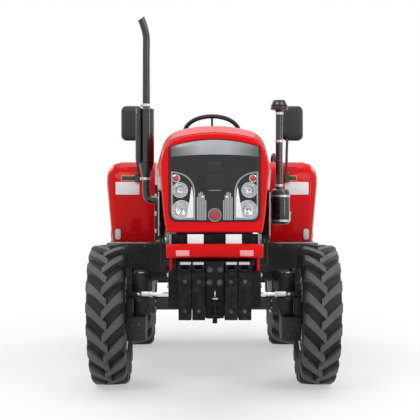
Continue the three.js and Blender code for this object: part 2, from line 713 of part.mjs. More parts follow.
function transmission() {
  const bell = cylinderY(BELL_RADIUS, ENGINE_REAR + SEAT_GAP, BELL_REAR + 5, 0, BELL_Z, 24);
  const waistHalf = GEARBOX_HALF;
  const waistLow = GEARBOX_BOTTOM + 60;
  const waist = block(-waistHalf, waistHalf, BELL_REAR, GEARBOX_FRONT + 40, waistLow, GEARBOX_TOP + 20);
  const half = GEARBOX_HALF + GEARBOX_FLANGE;
  const gearbox = block(-half, half, GEARBOX_FRONT, GEARBOX_REAR, GEARBOX_BOTTOM, GEARBOX_TOP);
  const transferRear = BELL_REAR + 220;
  const wide = TRANSFER_HALF;
  const transfer = block(-wide, wide, BELL_REAR + 40, transferRear, SHAFT_Z - 50, waistLow + 10);
  return joined(bell, waist, gearbox, transfer);
}

function onRearAxle(radius, near, far) {
  return cylinderX(radius, ...ordered(near, far), WHEELBASE, REAR_HUB_Z, 24);
}

function rearAxleHousing() {
  const caseFront = GEARBOX_REAR + SEAT_GAP;
  const half = REAR_CASE_HALF;
  const centre = block(-half, half, caseFront, REAR_AXLE_REAR, REAR_CASE_BOTTOM, REAR_CASE_TOP);
  const hubFace = REAR_TRACK / 2 + REAR_DISC_OFFSET - SEAT_GAP;
  const tubeEnd = hubFace - 12;
  const trumpet = cylinderX(TRUMPET_RADIUS, -tubeEnd, tubeEnd, WHEELBASE, REAR_HUB_Z, 24);
  const hubs = [-1, 1].flatMap((sign) => [
    onRearAxle(REAR_HUB_RADIUS - 6, sign * (hubFace - 14), sign * hubFace),
    onRearAxle(TRUMPET_RADIUS + 40, sign * (half - 5), sign * (half + 70)),
  ]);
  const linkPins = [-1, 1].map((sign) => {
    const ends = ordered(sign * (half - 5), sign * (LINK_OUTER + 14));
    return cylinderX(LINK_PIN_RADIUS, ...ends, LINK_PIVOT_Y, LINK_PIVOT_Z, 16);
  });
  const guardRear = REAR_AXLE_REAR + 95;
  const guardHalf = PTO_GUARD_HALF;
  const guard = block(-guardHalf, guardHalf, REAR_AXLE_REAR - 5, guardRear, PTO_GUARD_Z, PTO_GUARD_Z + 8);
  const cheeks = [-guardHalf, guardHalf - 8].map((x) =>
    block(x, x + 8, REAR_AXLE_REAR - 5, guardRear, PTO_GUARD_Z - 50, PTO_GUARD_Z + 4),
  );
  const whole = joined(centre, trumpet, ...hubs, ...linkPins, guard, ...cheeks);
  const boreFront = REAR_AXLE_REAR - PTO_BORE_DEPTH;
  const bore = cylinderY(PTO_RADIUS + ROD_GAP, boreFront, REAR_AXLE_REAR + 5, 0, PTO_Z, 16);
  return cut(whole, bore);
}

function ordered(a, b) {
  return a < b ? [a, b] : [b, a];
}

// ---- Three-point linkage ------------------------------------------------------------------------------
// The lift arm, lift rod and lower link lie side by side, and the arm, the link and the line between their
// pivots make a parallelogram, so that the rod always hangs upright.
function liftCase() {
  const low = REAR_CASE_TOP + SEAT_GAP;
  const body = block(-LIFT_CASE_HALF, LIFT_CASE_HALF, LIFT_CASE_FRONT, LIFT_CASE_REAR, low, LIFT_CASE_TOP);
  const ears = [-TOP_LINK_HALF - 3 - 16, TOP_LINK_HALF + 3].map((x) =>
    block(x, x + 16, LIFT_CASE_REAR - 5, TOP_PIVOT_Y + 26, TOP_PIVOT_Z - 26, TOP_PIVOT_Z + 26),
  );
  const bossLength = ARM_INNER - 3;
  const boss = cylinderX(44, -bossLength, bossLength, LINK_PIVOT_Y, ROCKSHAFT_Z, 16);
  const whole = joined(body, boss, ...ears);
  const bore = cylinderX(SHAFT_RADIUS + ROD_GAP, -300, 300, LINK_PIVOT_Y, ROCKSHAFT_Z, 24);
  const pinBore = cylinderX(TOP_PIN_RADIUS + ROD_GAP, -100, 100, TOP_PIVOT_Y, TOP_PIVOT_Z, 16);
  return cut(whole, bore, pinBore);
}

// A flat bar in the YZ plane from the origin along +Y, with a round eye at each end.
function eyeBar(length, depth, x0, x1, eye = EYE_RADIUS) {
  const barPiece = block(x0, x1, 0, length, -depth / 2, depth / 2);
  const ends = [0, length].map((y) => cylinderX(eye, x0, x1, y, 0, 14));
  return joined(barPiece, ...ends);
}

function liftArms() {
  const shaft = cylinderX(SHAFT_RADIUS, -ARM_INNER - 4, ARM_INNER + 4, 0, 0, 24);
  const arms = [-1, 1].flatMap((sign) => {
    const [x0, x1] = ordered(sign * ARM_INNER, sign * (ARM_INNER + LINK_THICK));
    const pin = ordered(sign * (ARM_INNER + 5), sign * (ROD_INNER + LINK_THICK + 2));
    return [eyeBar(LIFT_REACH, 46, x0, x1, 28), cylinderX(LIFT_PIN_RADIUS, ...pin, LIFT_REACH, 0, 16)];
  });
  return joined(shaft, ...arms).rotateX(-LINK_DROP).translate(0, LINK_PIVOT_Y, ROCKSHAFT_Z);
}

function lowerLink() {
  const link = eyeBar(LINK_LENGTH, LINK_DEPTH, LINK_INNER, LINK_OUTER, EYE_RADIUS);
  const pin = cylinderX(LIFT_PIN_RADIUS, ROD_INNER - 2, LINK_INNER + 5, LIFT_REACH, 0, 16);
  const bore = cylinderX(LINK_PIN_RADIUS + ROD_GAP, 0, LINK_OUTER + 50, 0, 0, 16);
  const ball = cylinderX(24, LINK_INNER - 8, LINK_OUTER + 8, LINK_LENGTH, 0, 16);
  const hitchBore = cylinderX(11, 0, LINK_OUTER + 50, LINK_LENGTH, 0, 16);
  return cut(joined(link, pin, ball), bore, hitchBore)
    .rotateX(-LINK_DROP)
    .translate(0, LINK_PIVOT_Y, LINK_PIVOT_Z);
}

function liftRod() {
  const top = ROCKSHAFT_Z - LINK_PIVOT_Z;
  const ends = [0, top].map((z) => cylinderX(25, ROD_INNER, ROD_INNER + LINK_THICK, 0, z, 14));
  const middle = ROD_INNER + LINK_THICK / 2;
  const rod = cylinderZ(LINK_THICK / 2, 0, top, middle, 0, 12);
  const sleeve = cylinderZ(15, top * 0.3, top * 0.72, middle, 0, 12);
  const bores = [0, top].map((z) =>
    cylinderX(LIFT_PIN_RADIUS + ROD_GAP, 0, ROD_INNER + 50, 0, z, 16),
  );
  const y = LINK_PIVOT_Y + LIFT_REACH * Math.cos(LINK_DROP);
  const z = LINK_PIVOT_Z - LIFT_REACH * Math.sin(LINK_DROP);
  return cut(joined(rod, sleeve, ...ends), ...bores).translate(0, y, z);
}

function topLink() {
  const link = eyeBar(TOP_LINK_LENGTH, 30, -TOP_LINK_HALF, TOP_LINK_HALF, 24);
  const pin = cylinderX(TOP_PIN_RADIUS, -TOP_LINK_HALF - 26, TOP_LINK_HALF + 26, 0, 0, 16);
  return joined(link, pin).rotateX(TOP_LINK_STOWED).translate(0, TOP_PIVOT_Y, TOP_PIVOT_Z);
}

function ptoShaft() {
  const start = REAR_AXLE_REAR - PTO_BORE_DEPTH + 2;
  return cylinderY(PTO_RADIUS, start, REAR_AXLE_REAR + PTO_REACH, 0, PTO_Z, 16);
}

function drawbar() {
  const low = DRAWBAR_Z - DRAWBAR_THICK / 2;
  const high = DRAWBAR_Z + DRAWBAR_THICK / 2;
  const bar = block(-DRAWBAR_HALF, DRAWBAR_HALF, WHEELBASE - 170, DRAWBAR_END, low, high);
  const straps = [GEARBOX_REAR + 50, REAR_AXLE_REAR - 70].map((y) =>
    block(-60, 60, y, y + 50, high - 7, REAR_CASE_BOTTOM - SEAT_GAP),
  );
  const pinHole = cylinderZ(DRAWBAR_HOLE_RADIUS, low - 20, high + 20, 0, DRAWBAR_END - 35, 16);
  return cut(joined(bar, ...straps), pinHole);
}

add("radiator", radiator(), blackPaint);
add("engine_block", engine(), castIron);
add("drive_shaft_cover", driveShaftCover(), castIron);
add("transmission", transmission(), castIron);
add("rear_axle_housing", rearAxleHousing(), castIron);
add("lift_housing", liftCase(), castIron);
add("lift_arms", liftArms(), castIron);
add("top_link", topLink(), castIron);
add("pto_shaft", ptoShaft(), greySteel);
add("drawbar", drawbar(), blackPaint);
for (const [side, sign] of SIDES) {
  add(`lower_link_${side}`, lowerLink(), castIron, sideGroup(sign));
  add(`lift_rod_${side}`, liftRod(), castIron, sideGroup(sign));
}

// ---- Hood, nose and side panels -----------------------------------------------------------------------
// One section of the hood: its low points up to the widest, then a round shoulder and a gentle crown.
// Inset moves the whole outline inwards by a wall.
function hoodHalf({ low, half, shoulder, shoulderZ, crownZ }, inset = 0) {
  const wide = new THREE.Vector2(half - inset, HOOD_WIDEST_Z);
  const corner = new THREE.Vector2(shoulder - inset, shoulderZ - inset);
  const crown = new THREE.Vector2(0, crownZ - inset);
  const before = wide.clone().lerp(corner, 0.62);
  const after = new THREE.Vector2(corner.x * 0.78, corner.y + (crown.y - corner.y) * 0.5);
  const round = new THREE.QuadraticBezierCurve(before, corner, after).getPoints(3);
  const level = new THREE.Vector2(corner.x * 0.4, crown.y);
  const top = new THREE.QuadraticBezierCurve(after, level, crown).getPoints(2).slice(1);
  const start = low.map(([x, z]) => [x - inset, z]);
  return [...start, ...[wide, ...round, ...top].map((point) => [point.x, point.y])];
}

// The whole outline, from the right-hand foot over the crown to the left-hand foot.
function hoodOutline(station, inset) {
  const half = hoodHalf(station, inset);
  const mirrored = half.map(([x, z]) => [-x, z]);
  return [...mirrored, ...half.slice(0, -1).reverse()];
}

function shellRing(station) {
  const outer = hoodOutline(station, 0);
  const inner = hoodOutline(station, HOOD_WALL).reverse();
  return [...outer, ...inner].map(([x, z]) => [x, station.y, z]);
}

const CHIN_Z = 970;

function lowPoints(half, deep) {
  const chin = [half - 20, CHIN_Z];
  const rise = (HOOD_EDGE - CHIN_Z) / (HOOD_WIDEST_Z - CHIN_Z);
  return deep ? [[half - 34, NOSE_BOTTOM], chin] : [[chin[0] + 20 * rise, HOOD_EDGE]];
}

function station(y, half, shoulder, shoulderZ, crownZ, deep) {
  return { y, half, shoulder, shoulderZ, crownZ, low: lowPoints(half, deep) };
}

function asPairs(points) {
  return points.map((point) => [point.x, point.y]);
}

const NOSE_BACK = NOSE_FRONT + NOSE_PLATE;
const NOSE_SHOULDER = NOSE_HALF - 26;

function noseStation(y) {
  return station(y, NOSE_HALF, NOSE_SHOULDER, HOOD_SHOULDER_Z - 60, HOOD_CROWN_Z - 65, true);
}

// Outline of the dark mask in the nose: a shallow arch above, and rounded lower corners.
function maskOutline(inset) {
  const half = MASK_HALF - inset;
  const bottom = MASK_BOTTOM + inset;
  const path = new THREE.Shape();
  path.moveTo(-half + MASK_CORNER, bottom);
  path.lineTo(half - MASK_CORNER, bottom);
  path.quadraticCurveTo(half, bottom, half, bottom + MASK_CORNER);
  path.lineTo(half, MASK_TOP_EDGE - inset);
  path.quadraticCurveTo(0, 2 * MASK_TOP - MASK_TOP_EDGE - inset, -half, MASK_TOP_EDGE - inset);
  path.lineTo(-half, bottom + MASK_CORNER);
  path.quadraticCurveTo(-half, bottom, -half + MASK_CORNER, bottom);
  return asPairs(path.getPoints(6).slice(0, -1));
}

function hood() {
  const back = HOOD_HALF - 28;
  const join = [NOSE_REAR, back, back - 28, HOOD_SHOULDER_Z - 14, HOOD_CROWN_Z - 13];
  const shell = loftedShell([
    shellRing(station(...join, false)),
    shellRing(station(-200, HOOD_HALF, HOOD_HALF - 46, HOOD_SHOULDER_Z + 8, HOOD_CROWN_Z + 11, false)),
    shellRing(station(HOOD_REAR, HOOD_HALF, HOOD_HALF - 36, HOOD_SHOULDER_Z + 20, HOOD_CROWN_Z + 25, false)),
  ]);
  const nose = loftedShell([shellRing(noseStation(NOSE_BACK - 1)), shellRing(station(...join, true))]);
  const plate = extrudeY(hoodOutline(noseStation(NOSE_FRONT), 0), NOSE_FRONT, NOSE_BACK, [
    maskOutline(0),
  ]);
  return joined(nose, shell, plate);
}

// A lamp pod fills the outer lower corner of the mask, under a curved brow.
function podOutline(inset) {
  const outer = MASK_HALF - 10 - inset;
  const inner = POD_INNER + inset;
  const bottom = MASK_BOTTOM + 8 + inset;
  const path = new THREE.Shape();
  path.moveTo(inner, bottom);
  path.lineTo(outer - MASK_CORNER, bottom);
  path.quadraticCurveTo(outer, bottom, outer, bottom + MASK_CORNER);
  path.lineTo(outer, POD_TOP - inset);
  path.quadraticCurveTo(inner + 8, POD_TOP - 6 - inset, inner, POD_TOP - 106);
  path.lineTo(inner, bottom);
  return asPairs(path.getPoints(5).slice(0, -1));
}

const MASK_WALL = 30;

function grilleMask() {
  const front = NOSE_FRONT - 4;
  const panel = extrudeY(maskOutline(SEAT_GAP), front, front + MASK_WALL);
  const left = podOutline(0);
  const right = left.map(([x, z]) => [-x, z]);
  return cut(
    panel,
    extrudeY(left, front - 5, front + MASK_WALL + 5),
    extrudeY(right, front - 5, front + MASK_WALL + 5),
  );
}

function headlamp() {
  return extrudeY(podOutline(SEAT_GAP), NOSE_FRONT - 8, NOSE_FRONT + 45);
}

// Fixed panel beside the engine, under the hood's edge, with the hole that the pipe passes through.
function sidePanel(pipeX, pipeZ, pipeRadius) {
  const outline = [
    [NOSE_REAR + RUNNING_GAP, PANEL_BOTTOM + 60],
    [NOSE_REAR + 90, PANEL_BOTTOM],
    [HOOD_REAR, PANEL_BOTTOM],
    [HOOD_REAR, PANEL_TOP],
    [NOSE_REAR + RUNNING_GAP, PANEL_TOP],
  ];
  const outer = PANEL_OUTER;
  const panel = extrudeX(outline, outer - PANEL_WALL, outer);
  const feet = POST_PLACES.map((y) =>
    block(FRAME_HALF - 14, outer - 1, y, y + POST_DEPTH, RAIL_TOP + SEAT_GAP, RAIL_TOP + 12),
  );
  const posts = POST_PLACES.map((y) =>
    block(outer - 12, outer - 1, y, y + POST_DEPTH, RAIL_TOP + 4, PANEL_BOTTOM + 60),
  );
  const buffers = BUFFER_PLACES.map((y) =>
    block(outer - PANEL_WALL, HOOD_HALF - 8, y, y + 30, PANEL_TOP - 8, HOOD_EDGE - SEAT_GAP),
  );
  const hole = cylinderX(pipeRadius, 0, pipeX, STACK_Y, pipeZ, 16);
  return cut(joined(panel, ...feet, ...posts, ...buffers), hole);
}

add("hood", hood(), redPaint);
add("grille_mask", grilleMask(), blackPlastic);
for (const [side, sign] of SIDES) {
  add(`headlamp_${side}`, headlamp(), lampGlass, sideGroup(sign));
}
add("side_panel_left", sidePanel(400, CLEANER_HOSE_Z, CLEANER_HOSE_RADIUS + 6), silverPaint, sideGroup(1));
add("side_panel_right", sidePanel(400, EXHAUST_ELBOW_Z, EXHAUST_RADIUS + 10), silverPaint, sideGroup(-1));

// ---- Dash cowl and steering column --------------------------------------------------------------------
function cowl() {
  const front = HOOD_REAR + RUNNING_GAP;
  const foot = FLOOR_Z + SEAT_GAP;
  const outline = hoodOutline({
    ...station(front, HOOD_HALF, HOOD_HALF - 36, HOOD_SHOULDER_Z + 20, HOOD_CROWN_Z + 25, false),
    low: [[FRAME_HALF + 5, foot], [PANEL_OUTER, 990]],
  });
  const body = extrudeY(outline, front, COWL_REAR);
  const half = TUNNEL_HALF + 1;
  const tunnel = block(-half, half, front - 5, COWL_REAR + 5, foot - 85, TUNNEL_TOP + SEAT_GAP);
  const slope = [[front + 120, 1600], [COWL_REAR + 10, 1270], [COWL_REAR + 10, 1600]];
  return cut(body, tunnel, extrudeX(slope, -500, 500));
}

const HUB_DROP = 70; // the wheel's hub lies this far below its rim
const WHEEL_HUB_RADIUS = 34;

// The column and the wheel share one axis, which leans back towards the seat.
function onColumn(geometry) {
  return geometry.rotateX(-COLUMN_TILT).translate(0, WHEEL_Y, WHEEL_Z);
}

function steeringColumn() {
  const top = -HUB_DROP - 2 * SEAT_GAP;
  const tube = onColumn(cylinderZ(COLUMN_RADIUS, top - COLUMN_LENGTH, top, 0, 0));
  const foot = block(-62, 62, COWL_REAR + SEAT_GAP, COWL_REAR + 48, 1070, 1190);
  return joined(tube, foot);
}

function steeringWheel() {
  const ring = new THREE.TorusGeometry(STEERING_WHEEL_RADIUS, STEERING_RIM_RADIUS, 6, 24);
  const hub = cylinderZ(WHEEL_HUB_RADIUS, -HUB_DROP, -HUB_DROP + 40, 0, 0);
  const spokes = [0, 1, 2].map((i) => {
    const spoke = bar([[20, 0, -HUB_DROP + 25], [90, 0, -HUB_DROP + 34], [STEERING_WHEEL_RADIUS, 0, 0]], 8, {
      sides: 6,
      steps: 4,
    });
    return spoke.rotateZ(THREE.MathUtils.degToRad(60 + 120 * i));
  });
  return onColumn(joined(ring, hub, ...spokes));
}

add("dash_cowl", cowl(), redPaint);
add("steering_column", steeringColumn(), blackPlastic);
add("steering_wheel", steeringWheel(), blackPlastic);

// ---- Platform and its controls ------------------------------------------------------------------------
const FLOOR_UNDER = FLOOR_Z - FLOOR_PLATE;
const INNER_FLOOR_HALF = FENDER_INNER + 8;

function platform() {
  const front = PLATFORM_FRONT;
  const half = TUNNEL_HALF;
  const floors = [-1, 1].flatMap((sign) => {
    const wide = ordered(sign * (half - 8), sign * PLATFORM_HALF);
    const narrow = ordered(sign * (half - 8), sign * INNER_FLOOR_HALF);
    const wall = ordered(sign * (half - 12), sign * half);
    return [
      block(...wide, front, FENDER_FRONT + 10, FLOOR_UNDER, FLOOR_Z),
      block(...narrow, front, FLOOR_REAR, FLOOR_UNDER, FLOOR_Z),
      block(...wall, front, FLOOR_REAR - 50, FLOOR_UNDER, TUNNEL_TOP),
    ];
  });
  const tunnelTop = block(-half, half, front, FLOOR_REAR - 50, TUNNEL_TOP - 12, TUNNEL_TOP);
  const apron = [
    [APRON_INNER, APRON_LOW],
    [APRON_INNER + 259, APRON_LOW + 32],
    [PLATFORM_HALF - 40, APRON_LOW + 101],
    [PLATFORM_HALF, APRON_LOW + 141],
    [PLATFORM_HALF, FLOOR_Z - 2],
    [APRON_INNER, FLOOR_Z - 2],
  ];
  const aprons = [-1, 1].map((sign) =>
    extrudeY(apron.map(([x, z]) => [sign * x, z]), front, front + APRON_WALL),
  );
  const gearboxSide = GEARBOX_HALF + GEARBOX_FLANGE + SEAT_GAP;
  const supports = [900, 1360].flatMap((y) =>
    [-1, 1].map((sign) =>
      block(...ordered(sign * gearboxSide, sign * 380), y, y + 50, FLOOR_UNDER - 45, FLOOR_UNDER + 2),
    ),
  );
  return joined(...floors, tunnelTop, ...aprons, ...supports);
}

const LEVER_X = 34;
const LEVER_Y = COWL_REAR + 245;
const PEDAL_X = 220;
const PEDAL_Y = COWL_REAR + 55;

function gearLevers() {
  const foot = TUNNEL_TOP + SEAT_GAP;
  const base = block(-62, 62, LEVER_Y - 60, LEVER_Y + 60, foot, foot + 14);
  const levers = [-LEVER_X, LEVER_X].map((x) => {
    const route = [[x, LEVER_Y, foot + 8], [x, LEVER_Y + 5, foot + 150], [x * 1.5, LEVER_Y + 45, foot + 290]];
    return bar(route, 7, { sides: 7, steps: 5 });
  });
  const knobs = [-1.5, 1.5].map((side) =>
    new THREE.SphereGeometry(21, 8, 5).translate(side * LEVER_X, LEVER_Y + 47, foot + 300),
  );
  return joined(base, ...levers, ...knobs);
}

function pedal() {
  const foot = FLOOR_Z + SEAT_GAP;
  const base = block(PEDAL_X - 25, PEDAL_X + 25, PEDAL_Y - 28, PEDAL_Y + 42, foot, foot + 12);
  const route = [[PEDAL_X, PEDAL_Y, foot + 6], [PEDAL_X, PEDAL_Y + 10, foot + 100]];
  route.push([PEDAL_X + 5, PEDAL_Y + 70, foot + 165]);
  const arm = bar(route, 9, { sides: 7, steps: 5 });
  const pad = block(-42, 42, -30, 30, -7, 7)
    .rotateX(-0.6)
    .translate(PEDAL_X + 8, PEDAL_Y + 74, foot + 172);
  return joined(base, arm, pad);
}

add("platform", platform(), blackPaint);
add("gear_levers", gearLevers(), blackPlastic);
add("clutch_pedal", pedal(), blackPaint, sideGroup(1));
add("brake_pedal", pedal(), blackPaint, sideGroup(-1));

// ---- Fenders, lamps and mirrors -----------------------------------------------------------------------
// Side view of a fender's outer skin, from the foot of its front panel over the top to its tail.
function fenderPath() {
  const path = new THREE.Path();
  path.moveTo(FENDER_FRONT, FLOOR_Z + SEAT_GAP);
  path.lineTo(FENDER_FRONT, FENDER_TOP - 150);
  path.quadraticCurveTo(FENDER_FRONT, FENDER_TOP, FENDER_FRONT + 150, FENDER_TOP);
  path.lineTo(FENDER_REAR - 300, FENDER_TOP);
  path.quadraticCurveTo(FENDER_REAR, FENDER_TOP, FENDER_REAR, FENDER_TOP - 300);
  path.lineTo(FENDER_REAR, 880);
  return asPairs(path.getPoints(5));
}

// The front panel is drawn in towards its foot, with a tighter corner and a shorter lip: 0 at the foot,
// 1 from the height where it reaches its full width.
function fenderFullness(y, z) {
  const onFront = y < FENDER_FRONT + 1;
  return onFront ? THREE.MathUtils.clamp((z - FLOOR_Z) / (FENDER_FULL_Z - FLOOR_Z), 0, 1) : 1;
}

function fenderSection(fullness, inset) {
  const outer = THREE.MathUtils.lerp(FENDER_FOOT_OUTER, FENDER_OUTER, fullness);
  const corner = THREE.MathUtils.lerp(FENDER_FOOT_CORNER, FENDER_CORNER, fullness);
  const lip = THREE.MathUtils.lerp(FENDER_FOOT_LIP, FENDER_LIP, fullness);
  const points = [[FENDER_INNER, inset]];
  for (const angle of [0, 30, 60, 90]) {
    const turn = THREE.MathUtils.degToRad(angle);
    const radius = corner - inset;
    points.push([outer - corner + radius * Math.sin(turn), corner - radius * Math.cos(turn)]);
  }
  points.push([outer - inset, corner + lip]);
  return points;
}

function fender() {
  const path = fenderPath();
  const rings = path.map(([y, z], i) => {
    const [y0, z0] = path[Math.max(i - 1, 0)];
    const [y1, z1] = path[Math.min(i + 1, path.length - 1)];
    const along = new THREE.Vector2(y1 - y0, z1 - z0).normalize();
    const fullness = fenderFullness(y, z);
    const section = [...fenderSection(fullness, 0), ...fenderSection(fullness, FENDER_WALL).reverse()];
    return section.map(([x, depth]) => [x, y + depth * along.y, z - depth * along.x]);
  });
  const wall = extrudeX(path, FENDER_INNER, FENDER_INNER + FENDER_WALL);
  return joined(loftedShell(rings), wall);
}

function rearLamp() {
  const back = FENDER_REAR + SEAT_GAP;
  const [near, far] = [LAMP_X - LAMP_HALF, LAMP_X + LAMP_HALF];
  const housing = block(near, far, back, back + 24, LAMP_LOW, LAMP_HIGH);
  const lens = block(near + 8, far - 8, back + 20, back + 46, LAMP_LOW + 8, LAMP_HIGH - 8);
  return joined(housing, lens);
}

function mirror() {
  const face = FENDER_FRONT - SEAT_GAP;
  const x = MIRROR_ARM_X;
  const plate = block(x - 21, x + 21, face - 6, face, 1188, 1262);
  const route = [[x, face - 13, 1196], [x, face - 20, 1250], [x + 7, face - 24, 1460]];
  route.push([x + 18, face - 4, MIRROR_Z + 37]);
  const arm = bar(route, MIRROR_ARM_RADIUS, { sides: 7, steps: 7 });
  const head = roundedBlock(145, 60, 238, 24).translate(x + 42, face + 16, MIRROR_Z);
  return joined(plate, arm, head);
}

// A box whose upright edges are rounded, centred on the origin.
function roundedBlock(wide, deep, tall, radius) {
  const shape = new THREE.Shape();
  const halfWide = wide / 2;
  const halfDeep = deep / 2;
  shape.moveTo(-halfWide + radius, -halfDeep);
  shape.lineTo(halfWide - radius, -halfDeep);
  shape.quadraticCurveTo(halfWide, -halfDeep, halfWide, -halfDeep + radius);
  shape.lineTo(halfWide, halfDeep - radius);
  shape.quadraticCurveTo(halfWide, halfDeep, halfWide - radius, halfDeep);
  shape.lineTo(-halfWide + radius, halfDeep);
  shape.quadraticCurveTo(-halfWide, halfDeep, -halfWide, halfDeep - radius);
  shape.lineTo(-halfWide, -halfDeep + radius);
  shape.quadraticCurveTo(-halfWide, -halfDeep, -halfWide + radius, -halfDeep);
  return extrudeZ(asPairs(shape.getPoints(4).slice(0, -1)), -tall / 2, tall / 2);
}

for (const [side, sign] of SIDES) {
  add(`fender_${side}`, fender(), redPaint, sideGroup(sign));
  add(`rear_lamp_${side}`, rearLamp(), redLens, sideGroup(sign));
  add(`mirror_${side}`, mirror(), blackPlastic, sideGroup(sign));
}

// ---- Seat ---------------------------------------------------------------------------------------------
const SEAT_MIDDLE = (SEAT_FRONT + SEAT_BACK_Y) / 2;
const BACKREST_THICK = 85;

function onBackrest(geometry) {
  return geometry.rotateX(BACKREST_TILT).translate(0, SEAT_BACK_Y + 4, CUSHION_TOP + 6);
}

function seatBase() {
  const low = LIFT_CASE_TOP + SEAT_GAP;
  const stand = block(-112, 112, LIFT_CASE_FRONT + 40, LIFT_CASE_REAR - 30, low, SEAT_PAN_Z - 20);
  const pan = block(-205, 205, SEAT_FRONT + 20, SEAT_BACK_Y + 80, SEAT_PAN_Z - 25, SEAT_PAN_Z);
  const upright = onBackrest(block(-70, 70, BACKREST_THICK + SEAT_GAP, BACKREST_THICK + 14, -125, 190));
  return joined(stand, pan, upright);
}

function seatCushion() {
  const tall = CUSHION_TOP - SEAT_PAN_Z - SEAT_GAP;
  const cushion = roundedBlock(2 * SEAT_HALF, SEAT_BACK_Y - SEAT_FRONT, tall, 60);
  return cushion.translate(0, SEAT_MIDDLE, SEAT_PAN_Z + SEAT_GAP + tall / 2);
}

function seatBackrest() {
  const tall = (BACKREST_TOP - CUSHION_TOP) / Math.cos(BACKREST_TILT);
  const upright = roundedBlock(2 * SEAT_HALF - 20, tall, BACKREST_THICK, 60);
  return onBackrest(upright.rotateX(Math.PI / 2).translate(0, BACKREST_THICK / 2, tall / 2));
}

add("seat_base", seatBase(), blackPaint);
add("seat_cushion", seatCushion(), seatVinyl);
add("seat_backrest", seatBackrest(), seatVinyl);

// ---- Exhaust and air intake ---------------------------------------------------------------------------
function exhaustStack() {
  const x = -MUFFLER_X;
  const start = ENGINE_HALF + MANIFOLD_REACH + SEAT_GAP;
  const low = EXHAUST_ELBOW_Z;
  const turn = [[start, STACK_Y, low], [x - 80, STACK_Y, low], [x - 18, STACK_Y, low + 20]];
  turn.push([x, STACK_Y, low + 82], [x, STACK_Y, MUFFLER_LOW - 78]);
  const elbow = bar(turn, EXHAUST_RADIUS, { sides: 10, steps: 9 });
  const muffler = turnedZ([
    [0, MUFFLER_LOW - 94],
    [32, MUFFLER_LOW - 94],
    [32, MUFFLER_LOW - 80],
    [MUFFLER_RADIUS, MUFFLER_LOW],
    [MUFFLER_RADIUS, MUFFLER_HIGH],
    [EXHAUST_RADIUS + 4, MUFFLER_HIGH + 24],
    [0, MUFFLER_HIGH + 24],
  ]).translate(x, STACK_Y, 0);
  const bend = EXHAUST_TIP_Z - 98;
  const route = [[x, STACK_Y, MUFFLER_HIGH], [x + 4, STACK_Y, bend - 60], [x + 6, STACK_Y, bend]];
  route.push([x + 18, STACK_Y - 5, bend + 50], [x + 36, STACK_Y - 14, EXHAUST_TIP_Z - 12]);
  const pipe = bar(route, EXHAUST_RADIUS, { sides: 10, steps: 9 });
  return joined(elbow, muffler, pipe);
}

// A bent guard plate outboard of the muffler, held by two stand-offs.
function mufflerShield() {
  const x = -MUFFLER_X;
  const inner = MUFFLER_RADIUS + 14;
  const wall = 3;
  const angles = [-60, -36, -12, 12, 36, 60].map(THREE.MathUtils.degToRad);
  const arc = (radius) => angles.map((a) => [x + radius * Math.cos(a), STACK_Y + radius * Math.sin(a)]);
  const sheet = extrudeZ([...arc(inner), ...arc(inner + wall).reverse()], MUFFLER_LOW - 10, MUFFLER_HIGH);
  const standOffs = [MUFFLER_LOW + 40, MUFFLER_HIGH - 60].map((z) =>
    block(x + MUFFLER_RADIUS + SEAT_GAP, x + inner + 1, STACK_Y - 8, STACK_Y + 8, z, z + 24),
  );
  return joined(sheet, ...standOffs);
}

function airCleaner() {
  const can = cylinderZ(CLEANER_RADIUS, CLEANER_LOW, CLEANER_HIGH, CLEANER_X, STACK_Y, 20);
  const hoseStart = ENGINE_HALF + INLET_REACH + SEAT_GAP;
  const hose = cylinderX(CLEANER_HOSE_RADIUS, hoseStart, CLEANER_X, STACK_Y, CLEANER_HOSE_Z, 14);
  const low = CLEANER_LOW + 30;
  const bracket = block(PANEL_OUTER + SEAT_GAP, CLEANER_X - 30, STACK_Y - 22, STACK_Y + 22, low, low + 32);
  return joined(can, hose, bracket);
}

function intakeStack() {
  const profile = [
    [0, CLEANER_HIGH + SEAT_GAP],
    [INTAKE_RADIUS + 8, CLEANER_HIGH + SEAT_GAP],
    [INTAKE_RADIUS + 8, CLEANER_HIGH + 22],
    [INTAKE_RADIUS, CLEANER_HIGH + 24],
    [INTAKE_RADIUS, INTAKE_TOP],
    [PRECLEANER_RADIUS, INTAKE_TOP + 8],
    [PRECLEANER_RADIUS, INTAKE_TOP + 30],
    [36, PRECLEANER_TOP],
    [0, PRECLEANER_TOP],
  ];
  return turnedZ(profile, 16).translate(CLEANER_X - 8, STACK_Y, 0);
}

add("exhaust_stack", exhaustStack(), blackPaint, sideGroup(-1));
add("muffler_shield", mufflerShield(), greySteel, sideGroup(-1));
add("air_cleaner", airCleaner(), blackPaint, sideGroup(1));
add("intake_stack", intakeStack(), blackPaint, sideGroup(1));

// ---- Origin -------------------------------------------------------------------------------------------
tractor.updateMatrixWorld(true);
const span = new THREE.Box3().setFromObject(tractor, true);
tractor.position.y = -(span.min.y + span.max.y) / 2;

export default tractor;
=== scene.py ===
"""Looks of a compact farm tractor, built around its packed frame. Metres, +Z up, the tractor faces -Y."""
import json
import math

import bmesh
import bpy
from mathutils import Matrix, Vector


